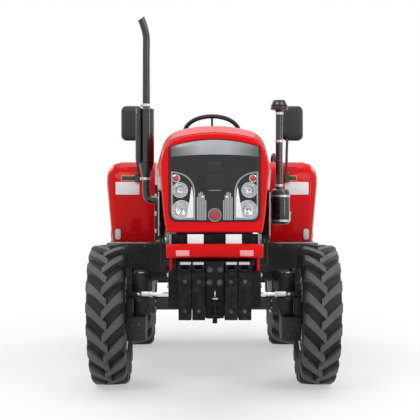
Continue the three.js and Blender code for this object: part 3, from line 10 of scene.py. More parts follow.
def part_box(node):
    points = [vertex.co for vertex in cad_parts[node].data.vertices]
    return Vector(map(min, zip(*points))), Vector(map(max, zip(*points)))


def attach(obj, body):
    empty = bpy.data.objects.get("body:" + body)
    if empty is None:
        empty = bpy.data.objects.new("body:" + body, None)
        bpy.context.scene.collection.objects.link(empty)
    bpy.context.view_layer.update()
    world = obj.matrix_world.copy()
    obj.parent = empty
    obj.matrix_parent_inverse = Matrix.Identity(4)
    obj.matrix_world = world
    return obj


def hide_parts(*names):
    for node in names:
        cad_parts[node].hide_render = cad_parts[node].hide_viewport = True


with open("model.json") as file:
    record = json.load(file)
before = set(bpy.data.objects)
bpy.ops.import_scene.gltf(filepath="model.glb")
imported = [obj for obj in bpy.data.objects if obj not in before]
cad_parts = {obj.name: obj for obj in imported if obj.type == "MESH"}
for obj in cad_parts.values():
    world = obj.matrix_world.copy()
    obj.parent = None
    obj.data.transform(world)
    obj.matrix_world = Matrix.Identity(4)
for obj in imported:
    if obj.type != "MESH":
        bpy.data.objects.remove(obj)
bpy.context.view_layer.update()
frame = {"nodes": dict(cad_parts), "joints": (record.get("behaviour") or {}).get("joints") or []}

bl_info = {
    "name": "Compact Tractor",
    "version": (1, 0, 0),
    "blender": (4, 5, 0),
    "location": "View3D > Sidebar > Tractor",
    "description": "Builds the finish of a compact farm tractor around its frame",
    "category": "Object",
}

SIDES = (("left", 1), ("right", -1))
TILT = math.radians(1.5)  # the front wheels' tops lean outwards


def corners(node):
    low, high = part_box(node)
    return Vector(low), Vector(high)


def joint(name):
    return next(j for j in frame["joints"] if j["name"] == name)


# ---- Settings ----------------------------------------------------------------------------------------
class TractorPaint(bpy.types.PropertyGroup):
    """Colours of the painted and moulded surfaces."""

    body: bpy.props.FloatVectorProperty(
        name="Body paint", description="Hood, fenders, cowl and bumper", subtype="COLOR",
        default=(0.69, 0.0014, 0.004)
    )
    chassis: bpy.props.FloatVectorProperty(
        name="Chassis paint", description="Frame, weights and platform", subtype="COLOR",
        default=(0.012, 0.012, 0.013)
    )
    wheels: bpy.props.FloatVectorProperty(
        name="Wheel paint", description="Rims and wheel discs", subtype="COLOR", default=(0.62, 0.63, 0.64)
    )
    rubber: bpy.props.FloatVectorProperty(
        name="Rubber", description="Tyres", subtype="COLOR", default=(0.028, 0.028, 0.029)
    )
    silver: bpy.props.FloatVectorProperty(
        name="Trim", description="Lamp surrounds and side strips", subtype="COLOR", default=(0.36, 0.37, 0.38)
    )


class TractorTread(bpy.types.PropertyGroup):
    """Sizes of the tread bars."""

    front_bars: bpy.props.IntProperty(
        name="Front bars", description="Tread bars on each side of a front tyre", default=19, min=8, max=40
    )
    rear_bars: bpy.props.IntProperty(
        name="Rear bars", description="Tread bars on each side of a rear tyre", default=21, min=8, max=40
    )
    front_height: bpy.props.FloatProperty(
        name="Front bar height", description="Height over the casing", unit="LENGTH", default=0.027, min=0.005
    )
    rear_height: bpy.props.FloatProperty(
        name="Rear bar height", description="Height over the casing", unit="LENGTH", default=0.032, min=0.005
    )


class TractorPadding(bpy.types.PropertyGroup):
    """How the seat's padding is inflated."""

    pressure: bpy.props.FloatProperty(name="Pressure", description="Inside the covers", default=4.0, min=0.5)
    frames: bpy.props.IntProperty(name="Frames", description="Length of the cloth run", default=20, min=4)
    cap: bpy.props.FloatProperty(
        name="Swell", description="How far a cover may move out", unit="LENGTH", default=0.012, min=0.001
    )


# ---- Shape building ----------------------------------------------------------------------------------
class Shape:
    """Gathers solids into one mesh, each face with a material number."""

    def __init__(self):
        self.bm = bmesh.new()

    def _tag(self, faces, material):
        for face in faces:
            face.material_index = material
            face.smooth = True

    def box(self, low, high, bevel=0.002, material=0, turn=None):
        """A block between two corners, given in any order, with softened edges."""
        made = bmesh.ops.create_cube(self.bm, size=1.0)
        verts = made["verts"]
        low, high = (Vector(corner) for corner in zip(*(sorted(pair) for pair in zip(low, high))))
        size = high - low
        place = Matrix.Translation((low + high) / 2) @ Matrix.Diagonal((*size, 1))
        bmesh.ops.transform(self.bm, matrix=(turn or Matrix()) @ place, verts=verts)
        faces = {f for v in verts for f in v.link_faces}
        if bevel > 0:
            edges = list({e for v in verts for e in v.link_edges})
            bevel = min(bevel, 0.45 * min(size))
            out = bmesh.ops.bevel(
                self.bm, geom=edges, offset=bevel, segments=2, affect="EDGES", profile=0.6, clamp_overlap=True
            )
            faces = {f for v in out["verts"] for f in v.link_faces}
        self._tag(faces, material)
        return self

    def lathe(self, profile, place, sides=32, material=0, closed=False):
        """Turns [radius, height] points about +Z, then moves the result by place."""
        rings = []
        for radius, height in profile:
            if radius < 1e-6:
                rings.append([self.bm.verts.new(place @ Vector((0, 0, height)))])
                continue
            angles = (2 * math.pi * i / sides for i in range(sides))
            ring = [place @ Vector((radius * math.cos(a), radius * math.sin(a), height)) for a in angles]
            rings.append([self.bm.verts.new(p) for p in ring])
        if closed:
            rings.append(rings[0])
        faces = []
        for lower, upper in zip(rings, rings[1:]):
            for i in range(sides):
                j = (i + 1) % sides
                a, b = lower[i % len(lower)], lower[j % len(lower)]
                c, d = upper[j % len(upper)], upper[i % len(upper)]
                corner = list(dict.fromkeys((a, b, c, d)))
                if len(corner) > 2:
                    faces.append(self.bm.faces.new(corner))
        self._tag(faces, material)
        return self

    def rod(self, start, end, radius, sides=24):
        """A round bar with softened ends."""
        start, end = Vector(start), Vector(end)
        length = (end - start).length
        bevel = min(0.001, radius * 0.4, length * 0.4)
        profile = [
            (0, 0), (radius - bevel, 0), (radius, bevel), (radius, length - bevel),
            (radius - bevel, length), (0, length)
        ]
        return self.lathe(profile, aim(start, end), sides)

    def rings(self, rings, material=0, closed_ends=True, looped=False):
        """A skin through rings of as many points each."""
        made = [[self.bm.verts.new(p) for p in ring] for ring in rings]
        if looped:
            made.append(made[0])
        faces = []
        for lower, upper in zip(made, made[1:]):
            count = len(lower)
            for i in range(count):
                j = (i + 1) % count
                faces.append(self.bm.faces.new((lower[i], lower[j], upper[j], upper[i])))
        if closed_ends and not looped:
            faces.append(self.bm.faces.new(list(reversed(made[0]))))
            faces.append(self.bm.faces.new(made[-1]))
        self._tag(faces, material)
        return self

    def band(self, inner, outer, half, place, sides, material=0):
        """A clamp or collar round +Z with softened edges."""
        soft = half - 0.001
        profile = [(inner, -half), (outer, -soft), (outer, soft), (inner, half)]
        return self.lathe(profile, place, sides, material, closed=True)

    def tube(self, points, radius, sides=16, steps=8, material=0, closed=False):
        """A round tube along a smooth curve through the points."""
        path = smooth_path([Vector(p) for p in points], steps, closed)
        return self.rings(tube_rings(path, radius, sides, closed), material, not closed, closed)

    def slab(self, outline, depth, place, bevel=0.0, material=0):
        """An outline in XY, raised by depth along Z, then moved by place."""
        bottom = [self.bm.verts.new(Vector((x, y, 0))) for x, y in outline]
        face = self.bm.faces.new(bottom)
        if face.normal.z > 0 or signed_area(outline) > 0:
            face.normal_flip()
        out = bmesh.ops.extrude_face_region(self.bm, geom=[face])
        top = [g for g in out["geom"] if isinstance(g, bmesh.types.BMVert)]
        bmesh.ops.translate(self.bm, vec=(0, 0, depth), verts=top)
        verts = bottom + top
        faces = {f for v in verts for f in v.link_faces}
        if bevel > 0:
            rim = [
                e
                for e in {
                    e
                    for v in verts
                    for e in v.link_edges
                } if abs(e.verts[0].co.z - e.verts[1].co.z) < 1e-7
            ]
            made = bmesh.ops.bevel(self.bm, geom=rim, offset=bevel, segments=2, affect="EDGES", profile=0.6)
            faces = {f for v in made["verts"] for f in v.link_faces}
        verts = list({v for f in faces for v in f.verts})
        bmesh.ops.transform(self.bm, matrix=place, verts=verts)
        self._tag(faces, material)
        return self

    def node(self, name, bevel=0.0):
        """The frame's own solid, cleaned and with its sharp edges softened."""
        source = frame["nodes"][name]
        before = set(self.bm.verts)
        copy = bmesh.new()
        copy.from_mesh(source.data)
        bmesh.ops.remove_doubles(copy, verts=copy.verts, dist=2e-5)
        bmesh.ops.dissolve_limit(copy, angle_limit=math.radians(1), verts=copy.verts, edges=copy.edges)
        if bevel:
            limit = math.radians(28)
            sharp = [e for e in copy.edges if len(e.link_faces) == 2 and e.calc_face_angle() > limit]
            bmesh.ops.bevel(
                copy, geom=sharp, offset=bevel, segments=2, affect="EDGES", profile=0.6, clamp_overlap=True
            )
        mesh = bpy.data.meshes.new("copy")
        copy.to_mesh(mesh)
        copy.free()
        self.bm.from_mesh(mesh)
        bpy.data.meshes.remove(mesh)
        verts = [v for v in self.bm.verts if v not in before]
        self._tag({f for v in verts for f in v.link_faces}, 0)
        return self

    def mirror(self):
        """Adds the mirror image across X = 0."""
        geometry = self.bm.verts[:] + self.bm.edges[:] + self.bm.faces[:]
        out = bmesh.ops.duplicate(self.bm, geom=geometry)
        verts = [g for g in out["geom"] if isinstance(g, bmesh.types.BMVert)]
        faces = [g for g in out["geom"] if isinstance(g, bmesh.types.BMFace)]
        bmesh.ops.scale(self.bm, vec=(-1, 1, 1), verts=verts)
        bmesh.ops.reverse_faces(self.bm, faces=faces)
        return self

    def finish(self, name, body, materials, slot, replaces=(), sharp=32, recalc=True):
        """Makes the piece, lets it ride on its body and names the frame nodes that it stands for."""
        if recalc:
            bmesh.ops.recalc_face_normals(self.bm, faces=self.bm.faces)
        mesh = bpy.data.meshes.new(name)
        self.bm.to_mesh(mesh)
        self.bm.free()
        mesh.set_sharp_from_angle(angle=math.radians(sharp))
        piece = bpy.data.objects.new(name, mesh)
        bpy.context.scene.collection.objects.link(piece)
        for material in materials:
            mesh.materials.append(material)
        return claim(piece, body, replaces)


def claim(piece, body, replaces=()):
    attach(piece, body)
    if replaces:
        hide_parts(*replaces)
    return piece


def signed_area(outline):
    pairs = zip(outline, [*outline[1:], outline[0]])
    return sum(x0 * y1 - x1 * y0 for (x0, y0), (x1, y1) in pairs) / 2


def moved(x, y, z):
    return Matrix.Translation((x, y, z))


def aim(start, end):
    """Puts +Z along the line from start to end, with the origin at start."""
    turn = (Vector(end) - Vector(start)).to_track_quat("Z", "Y").to_matrix().to_4x4()
    return Matrix.Translation(Vector(start)) @ turn


def smooth_path(points, steps, closed=False):
    """Catmull-Rom points through the given ones."""
    if len(points) == 2 and not closed:
        return points
    count = len(points)
    spans = count if closed else count - 1
    at = (lambda i: points[i % count]) if closed else (lambda i: points[max(0, min(count - 1, i))])
    path = []
    for i in range(spans):
        p0, p1, p2, p3 = at(i - 1), at(i), at(i + 1), at(i + 2)
        for k in range(steps):
            t = k / steps
            path.append(
                0.5 * (
                    2 * p1 + (p2 - p0) * t + (
                        2 * p0 - 5 * p1 + 4 * p2 - p3
                    ) * t * t + (3 * p1 - p0 - 3 * p2 + p3) * t ** 3
                )
            )
    if not closed:
        path.append(points[-1])
    return path


def tube_rings(path, radius, sides, closed=False):
    """Round sections square to the path, turned as little as can be from one to the next."""
    count = len(path)
    rings = []
    side = None
    for i, point in enumerate(path):
        ahead = path[(i + 1) % count] if closed or i < count - 1 else point
        behind = path[i - 1] if closed or i > 0 else point
        along = (ahead - behind).normalized()
        if side is None:
            side = along.orthogonal().normalized()
        side = (side - along * side.dot(along)).normalized()
        other = along.cross(side)
        size = radius(i / (count - 1)) if callable(radius) else radius
        angles = (2 * math.pi * k / sides for k in range(sides))
        rings.append([point + size * (math.cos(a) * side + math.sin(a) * other) for a in angles])
    return rings


def arc(centre, radius, start, end, count):
    """Points on an arc in degrees, both ends included."""
    angles = (math.radians(start + (end - start) * i / count) for i in range(count + 1))
    return [(centre[0] + radius * math.cos(a), centre[1] + radius * math.sin(a)) for a in angles]


def circle(count, radius, shift=0.0):
    """Points at even angles, turned by a share of one step."""
    turns = (2 * math.pi * (i + shift) / count for i in range(count))
    return [(radius * math.cos(a), radius * math.sin(a)) for a in turns]


def rounded_outline(width, height, radius, count=5):
    """A rectangle centred on the origin with round corners."""
    x, y = width / 2 - radius, height / 2 - radius
    corner = ((x, y, 0), (-x, y, 90), (-x, -y, 180), (x, -y, 270))
    return [p for cx, cy, turn in corner for p in arc((cx, cy), radius, turn, turn + 90, count)]


# ---- Repeats: node trees that lay out screws, bars, slats and holes ------------------------------------
def tree_with(name, sockets):
    """A geometry tree with its inputs, ending in Realize Instances and Set Material."""
    tree = bpy.data.node_groups.new(name, "GeometryNodeTree")
    tree.interface.new_socket(name="Geometry", in_out="INPUT", socket_type="NodeSocketGeometry")
    for label, kind, value in sockets:
        socket = tree.interface.new_socket(name=label, in_out="INPUT", socket_type=kind)
        if value is not None:
            socket.default_value = value
    tree.interface.new_socket(name="Material", in_out="INPUT", socket_type="NodeSocketMaterial")
    tree.interface.new_socket(name="Geometry", in_out="OUTPUT", socket_type="NodeSocketGeometry")
    start = tree.nodes.new("NodeGroupInput")
    end = tree.nodes.new("NodeGroupOutput")
    real = tree.nodes.new("GeometryNodeRealizeInstances")
    paint = tree.nodes.new("GeometryNodeSetMaterial")
    tree.links.new(start.outputs["Material"], paint.inputs["Material"])
    tree.links.new(real.outputs[0], paint.inputs["Geometry"])
    tree.links.new(paint.outputs[0], end.inputs[0])
    return tree, start, real


def place(tree, kind, inputs=(), **settings):
    """One node with its settings, values and incoming links."""
    made = tree.nodes.new(kind)
    for key, value in settings.items():
        setattr(made, key, value)
    for key, value in dict(inputs).items():
        if isinstance(value, bpy.types.NodeSocket):
            tree.links.new(value, made.inputs[key])
        else:
            made.inputs[key].default_value = value
    return made


def ring_tree():
    """Turns copies of the piece about the X axis through a centre."""
    tree, start, real = tree_with(
        "Ring Of Copies",
        (
            ("Count", "NodeSocketInt", 8), ("Start", "NodeSocketFloat", 0.0),
            ("Sweep", "NodeSocketFloat", 2 * math.pi)
        )
    )
    points = place(tree, "GeometryNodePoints", {"Count": start.outputs["Count"]})
    index = place(tree, "GeometryNodeInputIndex")
    step = place(
        tree, "ShaderNodeMath", {0: start.outputs["Sweep"], 1: start.outputs["Count"]}, operation="DIVIDE"
    )
    turn = place(
        tree, "ShaderNodeMath", {0: index.outputs[0], 1: step.outputs[0], 2: start.outputs["Start"]},
        operation="MULTIPLY_ADD"
    )
    euler = place(tree, "ShaderNodeCombineXYZ", {"X": turn.outputs[0]})
    rotation = place(tree, "FunctionNodeEulerToRotation", {0: euler.outputs[0]})
    copies = place(
        tree,
        "GeometryNodeInstanceOnPoints",
        {"Points": points.outputs[0], "Instance": start.outputs["Geometry"], "Rotation": rotation.outputs[0]},
    )
    tree.links.new(copies.outputs[0], real.inputs[0])
    return tree


def row_tree():
    """Copies of the piece at even steps along a line."""
    tree, start, real = tree_with(
        "Row Of Copies", (("Count", "NodeSocketInt", 8), ("Step", "NodeSocketVector", (0, 0, 0.02)))
    )
    line = place(
        tree, "GeometryNodeMeshLine", {"Count": start.outputs["Count"], "Offset": start.outputs["Step"]},
        mode="OFFSET"
    )
    copies = place(
        tree, "GeometryNodeInstanceOnPoints",
        {"Points": line.outputs[0], "Instance": start.outputs["Geometry"]}
    )
    tree.links.new(copies.outputs[0], real.inputs[0])
    return tree


def screw_tree():
    """A hexagon head and washer on every point of the piece, square to the point's own normal."""
    tree, start, real = tree_with(
        "Screw Heads",
        (
            ("Across", "NodeSocketFloat", 0.013),
            ("Height", "NodeSocketFloat", 0.006),
            ("Washer", "NodeSocketFloat", 0.0095),
        ),
    )
    half = place(tree, "ShaderNodeMath", {0: start.outputs["Across"], 1: 0.577}, operation="MULTIPLY")
    chamfer = place(tree, "ShaderNodeMath", {0: half.outputs[0], 1: 0.86}, operation="MULTIPLY")
    lift = place(tree, "ShaderNodeCombineXYZ", {"Z": start.outputs["Height"]})
    head = place(
        tree, "GeometryNodeMeshCone",
        {
            "Vertices": 6, "Side Segments": 1, "Radius Top": half.outputs[0],
            "Radius Bottom": half.outputs[0], "Depth": start.outputs["Height"]
        }
    )
    cap = place(
        tree, "GeometryNodeMeshCone",
        {
            "Vertices": 6, "Side Segments": 1, "Radius Top": chamfer.outputs[0],
            "Radius Bottom": half.outputs[0], "Depth": 0.0012
        }
    )
    washer = place(
        tree, "GeometryNodeMeshCylinder", {"Vertices": 18, "Radius": start.outputs["Washer"], "Depth": 0.0034}
    )
    top = place(tree, "GeometryNodeTransform", {"Geometry": cap.outputs[0], "Translation": lift.outputs[0]})
    join = place(tree, "GeometryNodeJoinGeometry")
    for piece in (head.outputs[0], top.outputs[0], washer.outputs[0]):
        tree.links.new(piece, join.inputs[0])
    normal = place(tree, "GeometryNodeInputNamedAttribute", {"Name": "facing"}, data_type="FLOAT_VECTOR")
    align = place(
        tree, "FunctionNodeAlignRotationToVector", {"Vector": normal.outputs[0]}, axis="Z"
    )
    points = place(tree, "GeometryNodeMeshToPoints", {"Mesh": start.outputs["Geometry"]})
    copies = place(
        tree,
        "GeometryNodeInstanceOnPoints",
        {"Points": points.outputs[0], "Instance": join.outputs[0], "Rotation": align.outputs[0]},
    )
    tree.links.new(copies.outputs[0], real.inputs[0])
    return tree


TREES = {}


def repeated(source, tree_key, material, **inputs):
    """Runs a tree on a mesh and keeps the result as a plain mesh in the same object."""
    makers = {"ring": ring_tree, "row": row_tree, "screws": screw_tree}
    if tree_key not in TREES:
        TREES[tree_key] = makers[tree_key]()
    tree = TREES[tree_key]
    modifier = source.modifiers.new("Repeat", "NODES")
    modifier.node_group = tree
    ids = {s.name: s.identifier for s in tree.interface.items_tree if s.in_out == "INPUT"}
    for label, value in inputs.items():
        modifier[ids[label]] = value
    modifier[ids["Material"]] = material
    bpy.context.view_layer.update()
    plain = bpy.data.meshes.new_from_object(source.evaluated_get(bpy.context.evaluated_depsgraph_get()))
    source.modifiers.clear()
    source.data = plain
    return source


def plain_object(name, shape=None, verts=None, facing=None):
    """An unclaimed mesh object, from a shape or from points with directions."""
    mesh = bpy.data.meshes.new(name)
    if shape:
        bmesh.ops.recalc_face_normals(shape.bm, faces=shape.bm.faces)
        shape.bm.to_mesh(mesh)
        shape.bm.free()
        mesh.set_sharp_from_angle(angle=math.radians(32))
    else:
        mesh.from_pydata([tuple(v) for v in verts], [], [])
        layer = mesh.attributes.new("facing", "FLOAT_VECTOR", "POINT")
        for i, direction in enumerate(facing):
            layer.data[i].vector = direction
    piece = bpy.data.objects.new(name, mesh)
    bpy.context.scene.collection.objects.link(piece)
    return piece


def screws(name, body, spots, across, material):
    """Hexagon heads at (point, direction) spots."""
    piece = plain_object(name, verts=[p for p, _ in spots], facing=[Vector(d).normalized() for _, d in spots])
    repeated(piece, "screws", material, Across=across, Height=across * 0.5, Washer=across * 0.78)
    piece.data.set_sharp_from_angle(angle=math.radians(30))
    return claim(piece, body)


def ring_of(name, shape, body, centre, count, material, lean):
    """Copies of a shape, which is modelled round the X axis, turned about the axle through centre."""
    piece = plain_object(name, shape)
    repeated(piece, "ring", material, Count=count)
    piece.data.transform(Matrix.Translation(centre) @ Matrix.Rotation(lean, 4, "Y"))
    return claim(piece, body)


def row_of(name, shape, body, count, step, material):
    """Copies of a shape at even steps."""
    piece = plain_object(name, shape)
    repeated(piece, "row", material, Count=count, Step=step)
    return claim(piece, body)


# ---- Finishes ----------------------------------------------------------------------------------------
def effect(name, inputs, outputs):
    tree = bpy.data.node_groups.new(name, "ShaderNodeTree")
    for label, kind, value in inputs:
        socket = tree.interface.new_socket(name=label, in_out="INPUT", socket_type=kind)
        socket.default_value = value
    for label, kind in outputs:
        tree.interface.new_socket(name=label, in_out="OUTPUT", socket_type=kind)
    return tree, tree.nodes.new("NodeGroupInput"), tree.nodes.new("NodeGroupOutput")


def settled_dust():
    """Fine dust that gathers low down and on level faces."""
    tree, given, result = effect(
        "Settled Dust",
        (
            ("Paint", "NodeSocketColor", (0.5, 0.5, 0.5, 1)),
            ("Dust", "NodeSocketColor", (0.34, 0.30, 0.25, 1)),
            ("Amount", "NodeSocketFloat", 0.1),
            ("Reach", "NodeSocketFloat", 0.9),
        ),
        (("Color", "NodeSocketColor"), ("Mask", "NodeSocketFloat")),
    )
    where = place(tree, "ShaderNodeTexCoord")
    high = place(tree, "ShaderNodeSeparateXYZ", {0: where.outputs["Object"]})
    low = place(
        tree, "ShaderNodeMapRange",
        {"Value": high.outputs["Z"], "From Min": given.outputs["Reach"], "From Max": 0.1}
    )
    cloud = place(
        tree, "ShaderNodeTexNoise", {"Vector": where.outputs["Object"], "Scale": 9.0, "Detail": 5.0}
    )
    speck = place(
        tree, "ShaderNodeTexNoise", {"Vector": where.outputs["Object"], "Scale": 160.0, "Detail": 2.0}
    )
    level = place(tree, "ShaderNodeSeparateXYZ", {0: place(tree, "ShaderNodeNewGeometry").outputs["Normal"]})
    up = place(tree, "ShaderNodeMath", {0: level.outputs["Z"], 1: 0.35}, operation="MULTIPLY", use_clamp=True)
    both = place(
        tree, "ShaderNodeMath", {0: low.outputs[0], 1: up.outputs[0]}, operation="ADD", use_clamp=True
    )
    patch = place(tree, "ShaderNodeMapRange", {"Value": cloud.outputs[0], "From Min": 0.35, "From Max": 0.68})
    fine = place(tree, "ShaderNodeMath", {0: patch.outputs[0], 1: speck.outputs[0]}, operation="MULTIPLY")
    spread = place(tree, "ShaderNodeMath", {0: both.outputs[0], 1: fine.outputs[0]}, operation="MULTIPLY")
    mask = place(
        tree, "ShaderNodeMath", {0: spread.outputs[0], 1: given.outputs["Amount"]}, operation="MULTIPLY",
        use_clamp=True
    )
    mix = place(
        tree,
        "ShaderNodeMix",
        {0: mask.outputs[0], 6: given.outputs["Paint"], 7: given.outputs["Dust"]},
        data_type="RGBA",
    )
    tree.links.new(mix.outputs[2], result.inputs["Color"])
    tree.links.new(mask.outputs[0], result.inputs["Mask"])
    return tree


def worn_edge():
    """Bare or polished material where an edge has been rubbed."""
    tree, given, result = effect(
        "Worn Edge",
        (
            ("Paint", "NodeSocketColor", (0.5, 0.5, 0.5, 1)),
            ("Bare", "NodeSocketColor", (0.3, 0.3, 0.3, 1)),
            ("Amount", "NodeSocketFloat", 0.5),
        ),
        (("Color", "NodeSocketColor"), ("Mask", "NodeSocketFloat")),
    )
    where = place(tree, "ShaderNodeTexCoord")
    shape = place(tree, "ShaderNodeNewGeometry")
    edge = place(
        tree, "ShaderNodeMapRange",
        {"Value": shape.outputs["Pointiness"], "From Min": 0.53, "From Max": 0.62}
    )
    rub = place(tree, "ShaderNodeTexNoise", {"Vector": where.outputs["Object"], "Scale": 34.0, "Detail": 4.0})
    patch = place(tree, "ShaderNodeMapRange", {"Value": rub.outputs[0], "From Min": 0.42, "From Max": 0.66})
    worn = place(tree, "ShaderNodeMath", {0: edge.outputs[0], 1: patch.outputs[0]}, operation="MULTIPLY")
    mask = place(
        tree, "ShaderNodeMath", {0: worn.outputs[0], 1: given.outputs["Amount"]}, operation="MULTIPLY",
        use_clamp=True
    )
    mix = place(
        tree, "ShaderNodeMix", {0: mask.outputs[0], 6: given.outputs["Paint"], 7: given.outputs["Bare"]},
        data_type="RGBA"
    )
    tree.links.new(mix.outputs[2], result.inputs["Color"])
    tree.links.new(mask.outputs[0], result.inputs["Mask"])
    return tree


def skin_grain():
    """Height of a fine skin: a coarse wave and a fine grain, mixed."""
    tree, given, result = effect(
        "Skin Grain",
        (
            ("Coarse", "NodeSocketFloat", 60.0), ("Fine", "NodeSocketFloat", 600.0),
            ("Share", "NodeSocketFloat", 0.5)
        ), (("Height", "NodeSocketFloat"), ("Tone", "NodeSocketFloat"))
    )
    where = place(tree, "ShaderNodeTexCoord")
    wave = place(
        tree, "ShaderNodeTexNoise",
        {"Vector": where.outputs["Object"], "Scale": given.outputs["Coarse"], "Detail": 3.0}
    )
    grain = place(
        tree, "ShaderNodeTexNoise",
        {"Vector": where.outputs["Object"], "Scale": given.outputs["Fine"], "Detail": 2.0}
    )
    mix = place(tree, "ShaderNodeMix", {0: given.outputs["Share"], 2: wave.outputs[0], 3: grain.outputs[0]})
    tree.links.new(mix.outputs[0], result.inputs["Height"])
    tree.links.new(wave.outputs[0], result.inputs["Tone"])
    return tree


EFFECTS = {}
FINISHES = {}


def use_effect(tree, maker, **values):
    if maker not in EFFECTS:
        EFFECTS[maker] = maker()
    made = tree.nodes.new("ShaderNodeGroup")
    made.node_tree = EFFECTS[maker]
    for label, value in values.items():
        if isinstance(value, bpy.types.NodeSocket):
            tree.links.new(value, made.inputs[label])
        else:
            made.inputs[label].default_value = value
    return made


def with_alpha(color):
    return (*color[:3], 1.0)


def coated(
    name, color, rough=(0.3, 0.4), metal=0.0, coat=0.0, coat_rough=0.05, dust=0.1, wear=0.4,
    bare=(0.3, 0.3, 0.3), coarse=40.0, fine=500.0, share=0.5, bump=0.06, depth=0.0006, reach=0.9,
    specular=0.5
):
    """A surface with its own grain, rubbed edges and settled dust."""
    if name in FINISHES:
        return FINISHES[name]
    material = bpy.data.materials.new(name)
    material.use_nodes = True
    tree = material.node_tree
    surface = tree.nodes["Principled BSDF"]
    grain = use_effect(tree, skin_grain, Coarse=coarse, Fine=fine, Share=share)
    darker = with_alpha([c * 0.86 for c in color])
    tone = place(
        tree, "ShaderNodeMix",
        {0: grain.outputs["Tone"], 6: darker, 7: with_alpha([min(1, c * 1.1) for c in color])},
        data_type="RGBA"
    )
    worn = use_effect(tree, worn_edge, Paint=tone.outputs[2], Bare=with_alpha(bare), Amount=wear)
    dusty = use_effect(tree, settled_dust, Paint=worn.outputs["Color"], Amount=dust, Reach=reach)
    tree.links.new(dusty.outputs["Color"], surface.inputs["Base Color"])
    gloss = place(
        tree, "ShaderNodeMapRange",
        {
            "Value": grain.outputs["Tone"], "From Min": 0.3, "From Max": 0.7, "To Min": rough[0],
            "To Max": rough[1]
        }
    )
    dulled = place(tree, "ShaderNodeMix", {0: dusty.outputs["Mask"], 2: gloss.outputs[0], 3: 0.85})
    tree.links.new(dulled.outputs[0], surface.inputs["Roughness"])
    bumps = place(
        tree, "ShaderNodeBump", {"Strength": bump, "Distance": depth, "Height": grain.outputs["Height"]}
    )
    tree.links.new(bumps.outputs[0], surface.inputs["Normal"])
    surface.inputs["Metallic"].default_value = metal
    surface.inputs["Coat Weight"].default_value = coat
    surface.inputs["Coat Roughness"].default_value = coat_rough
    surface.inputs["Specular IOR Level"].default_value = specular
    FINISHES[name] = material
    return material


def body_paint():
    color = bpy.context.scene.tractor_paint.body
    return coated(
        "body_paint", color, (0.24, 0.30), coat=0.20, coat_rough=0.03, dust=0.02, wear=0.2, specular=0.06,
        bare=(0.32, 0.02, 0.02), coarse=6, fine=420, share=0.35, bump=0.035, depth=0.0004, reach=0.75
    )


def chassis_paint():
    color = bpy.context.scene.tractor_paint.chassis
    return coated(
        "chassis_paint", color, (0.32, 0.44), coat=0.08, coat_rough=0.2, dust=0.10, wear=0.6, specular=0.3,
        bare=(0.10, 0.10, 0.105), coarse=26, fine=320, bump=0.12, depth=0.0008
    )


# A darker copy of the chassis black for the front frame, weight bracket and weights: painted shade over the
# low front.
def shaded_frame_black():
    return coated(
        "shaded_frame_black", (0.0045, 0.0045, 0.005), (0.34, 0.46), coat=0.04, coat_rough=0.2, dust=0.03,
        wear=0.5, specular=0.12, bare=(0.07, 0.07, 0.075), coarse=26, fine=320, bump=0.12, depth=0.0008
    )


def cast_finish():
    return coated(
        "cast_iron_paint", (0.026, 0.027, 0.029), (0.42, 0.6), dust=0.18, wear=0.6,
        bare=(0.13, 0.125, 0.12), specular=0.35, coarse=48, fine=240, share=0.65, bump=0.5, depth=0.0014
    )


def engine_paint():
    return coated(
        "engine_paint", (0.055, 0.058, 0.062), (0.38, 0.5), dust=0.25, wear=0.6, bare=(0.25, 0.25, 0.25),
        coarse=40, fine=260, share=0.6, bump=0.35, depth=0.0012
    )


def bright_steel():
    return coated("bright_steel", (0.56, 0.57, 0.59), (0.22, 0.36), metal=1.0, dust=0.12, wear=0.3,
                  bare=(0.7, 0.7, 0.72), coarse=70, fine=900, bump=0.08, depth=0.0003)


def zinc_plate():
    return coated("zinc_plate", (0.52, 0.53, 0.54), (0.30, 0.44), metal=0.9, dust=0.15, wear=0.5,
                  bare=(0.7, 0.7, 0.7), coarse=120, fine=900, bump=0.1, depth=0.0003)


def chrome_plate():
    return coated("chrome_plate", (0.78, 0.79, 0.81), (0.05, 0.10), metal=1.0, dust=0.04, wear=0.0,
                  coarse=20, fine=600, bump=0.02, depth=0.0002)


def shaded_casing_rubber():
    # The casing's rubber is darkened to 0.55 of the set colour: painted shade between the bars.
    color = [c * 0.55 for c in bpy.context.scene.tractor_paint.rubber]
    return coated("shaded_casing_rubber", color, (0.55, 0.72), dust=0.20, wear=0.6, bare=(0.07, 0.07, 0.07),
                  coarse=18, fine=380, share=0.6, bump=0.3, depth=0.0008, reach=1.1, specular=0.25)


def lit_lug_rubber():
    # The bars' rubber is lightened to 2.3 times the set colour: painted light on the bars.
    color = [c * 2.3 for c in bpy.context.scene.tractor_paint.rubber]
    return coated("lit_lug_rubber", color, (0.48, 0.66), dust=0.30, wear=0.7, bare=(0.10, 0.10, 0.10),
                  coarse=22, fine=300, share=0.6, bump=0.3, depth=0.0008, reach=1.2, specular=0.45)


def wheel_finish():
    color = bpy.context.scene.tractor_paint.wheels
    return coated(
        "wheel_paint", color, (0.26, 0.36), metal=0.25, coat=0.5, coat_rough=0.08, dust=0.14, wear=0.3,
        bare=(0.45, 0.45, 0.45), coarse=14, fine=500, bump=0.05
    )


def trim_finish():
    color = bpy.context.scene.tractor_paint.silver
    return coated(
        "trim_silver", color, (0.28, 0.38), metal=0.55, coat=0.3, coat_rough=0.1, dust=0.06, wear=0.3,
        bare=(0.6, 0.6, 0.6), coarse=20, fine=800, bump=0.05, depth=0.0003
    )


def gloss_black():
    return coated(
        "gloss_black", (0.006, 0.006, 0.007), (0.10, 0.16), coat=0.4, coat_rough=0.04, dust=0.04, wear=0.1,
        specular=0.3, coarse=10, fine=500, bump=0.03, depth=0.0003
    )


def moulded_black():
    return coated(
        "moulded_black", (0.014, 0.014, 0.015), (0.40, 0.53), dust=0.07, wear=0.3, bare=(0.05, 0.05, 0.05),
        specular=0.4, coarse=90, fine=900, share=0.8, bump=0.3, depth=0.0005
    )


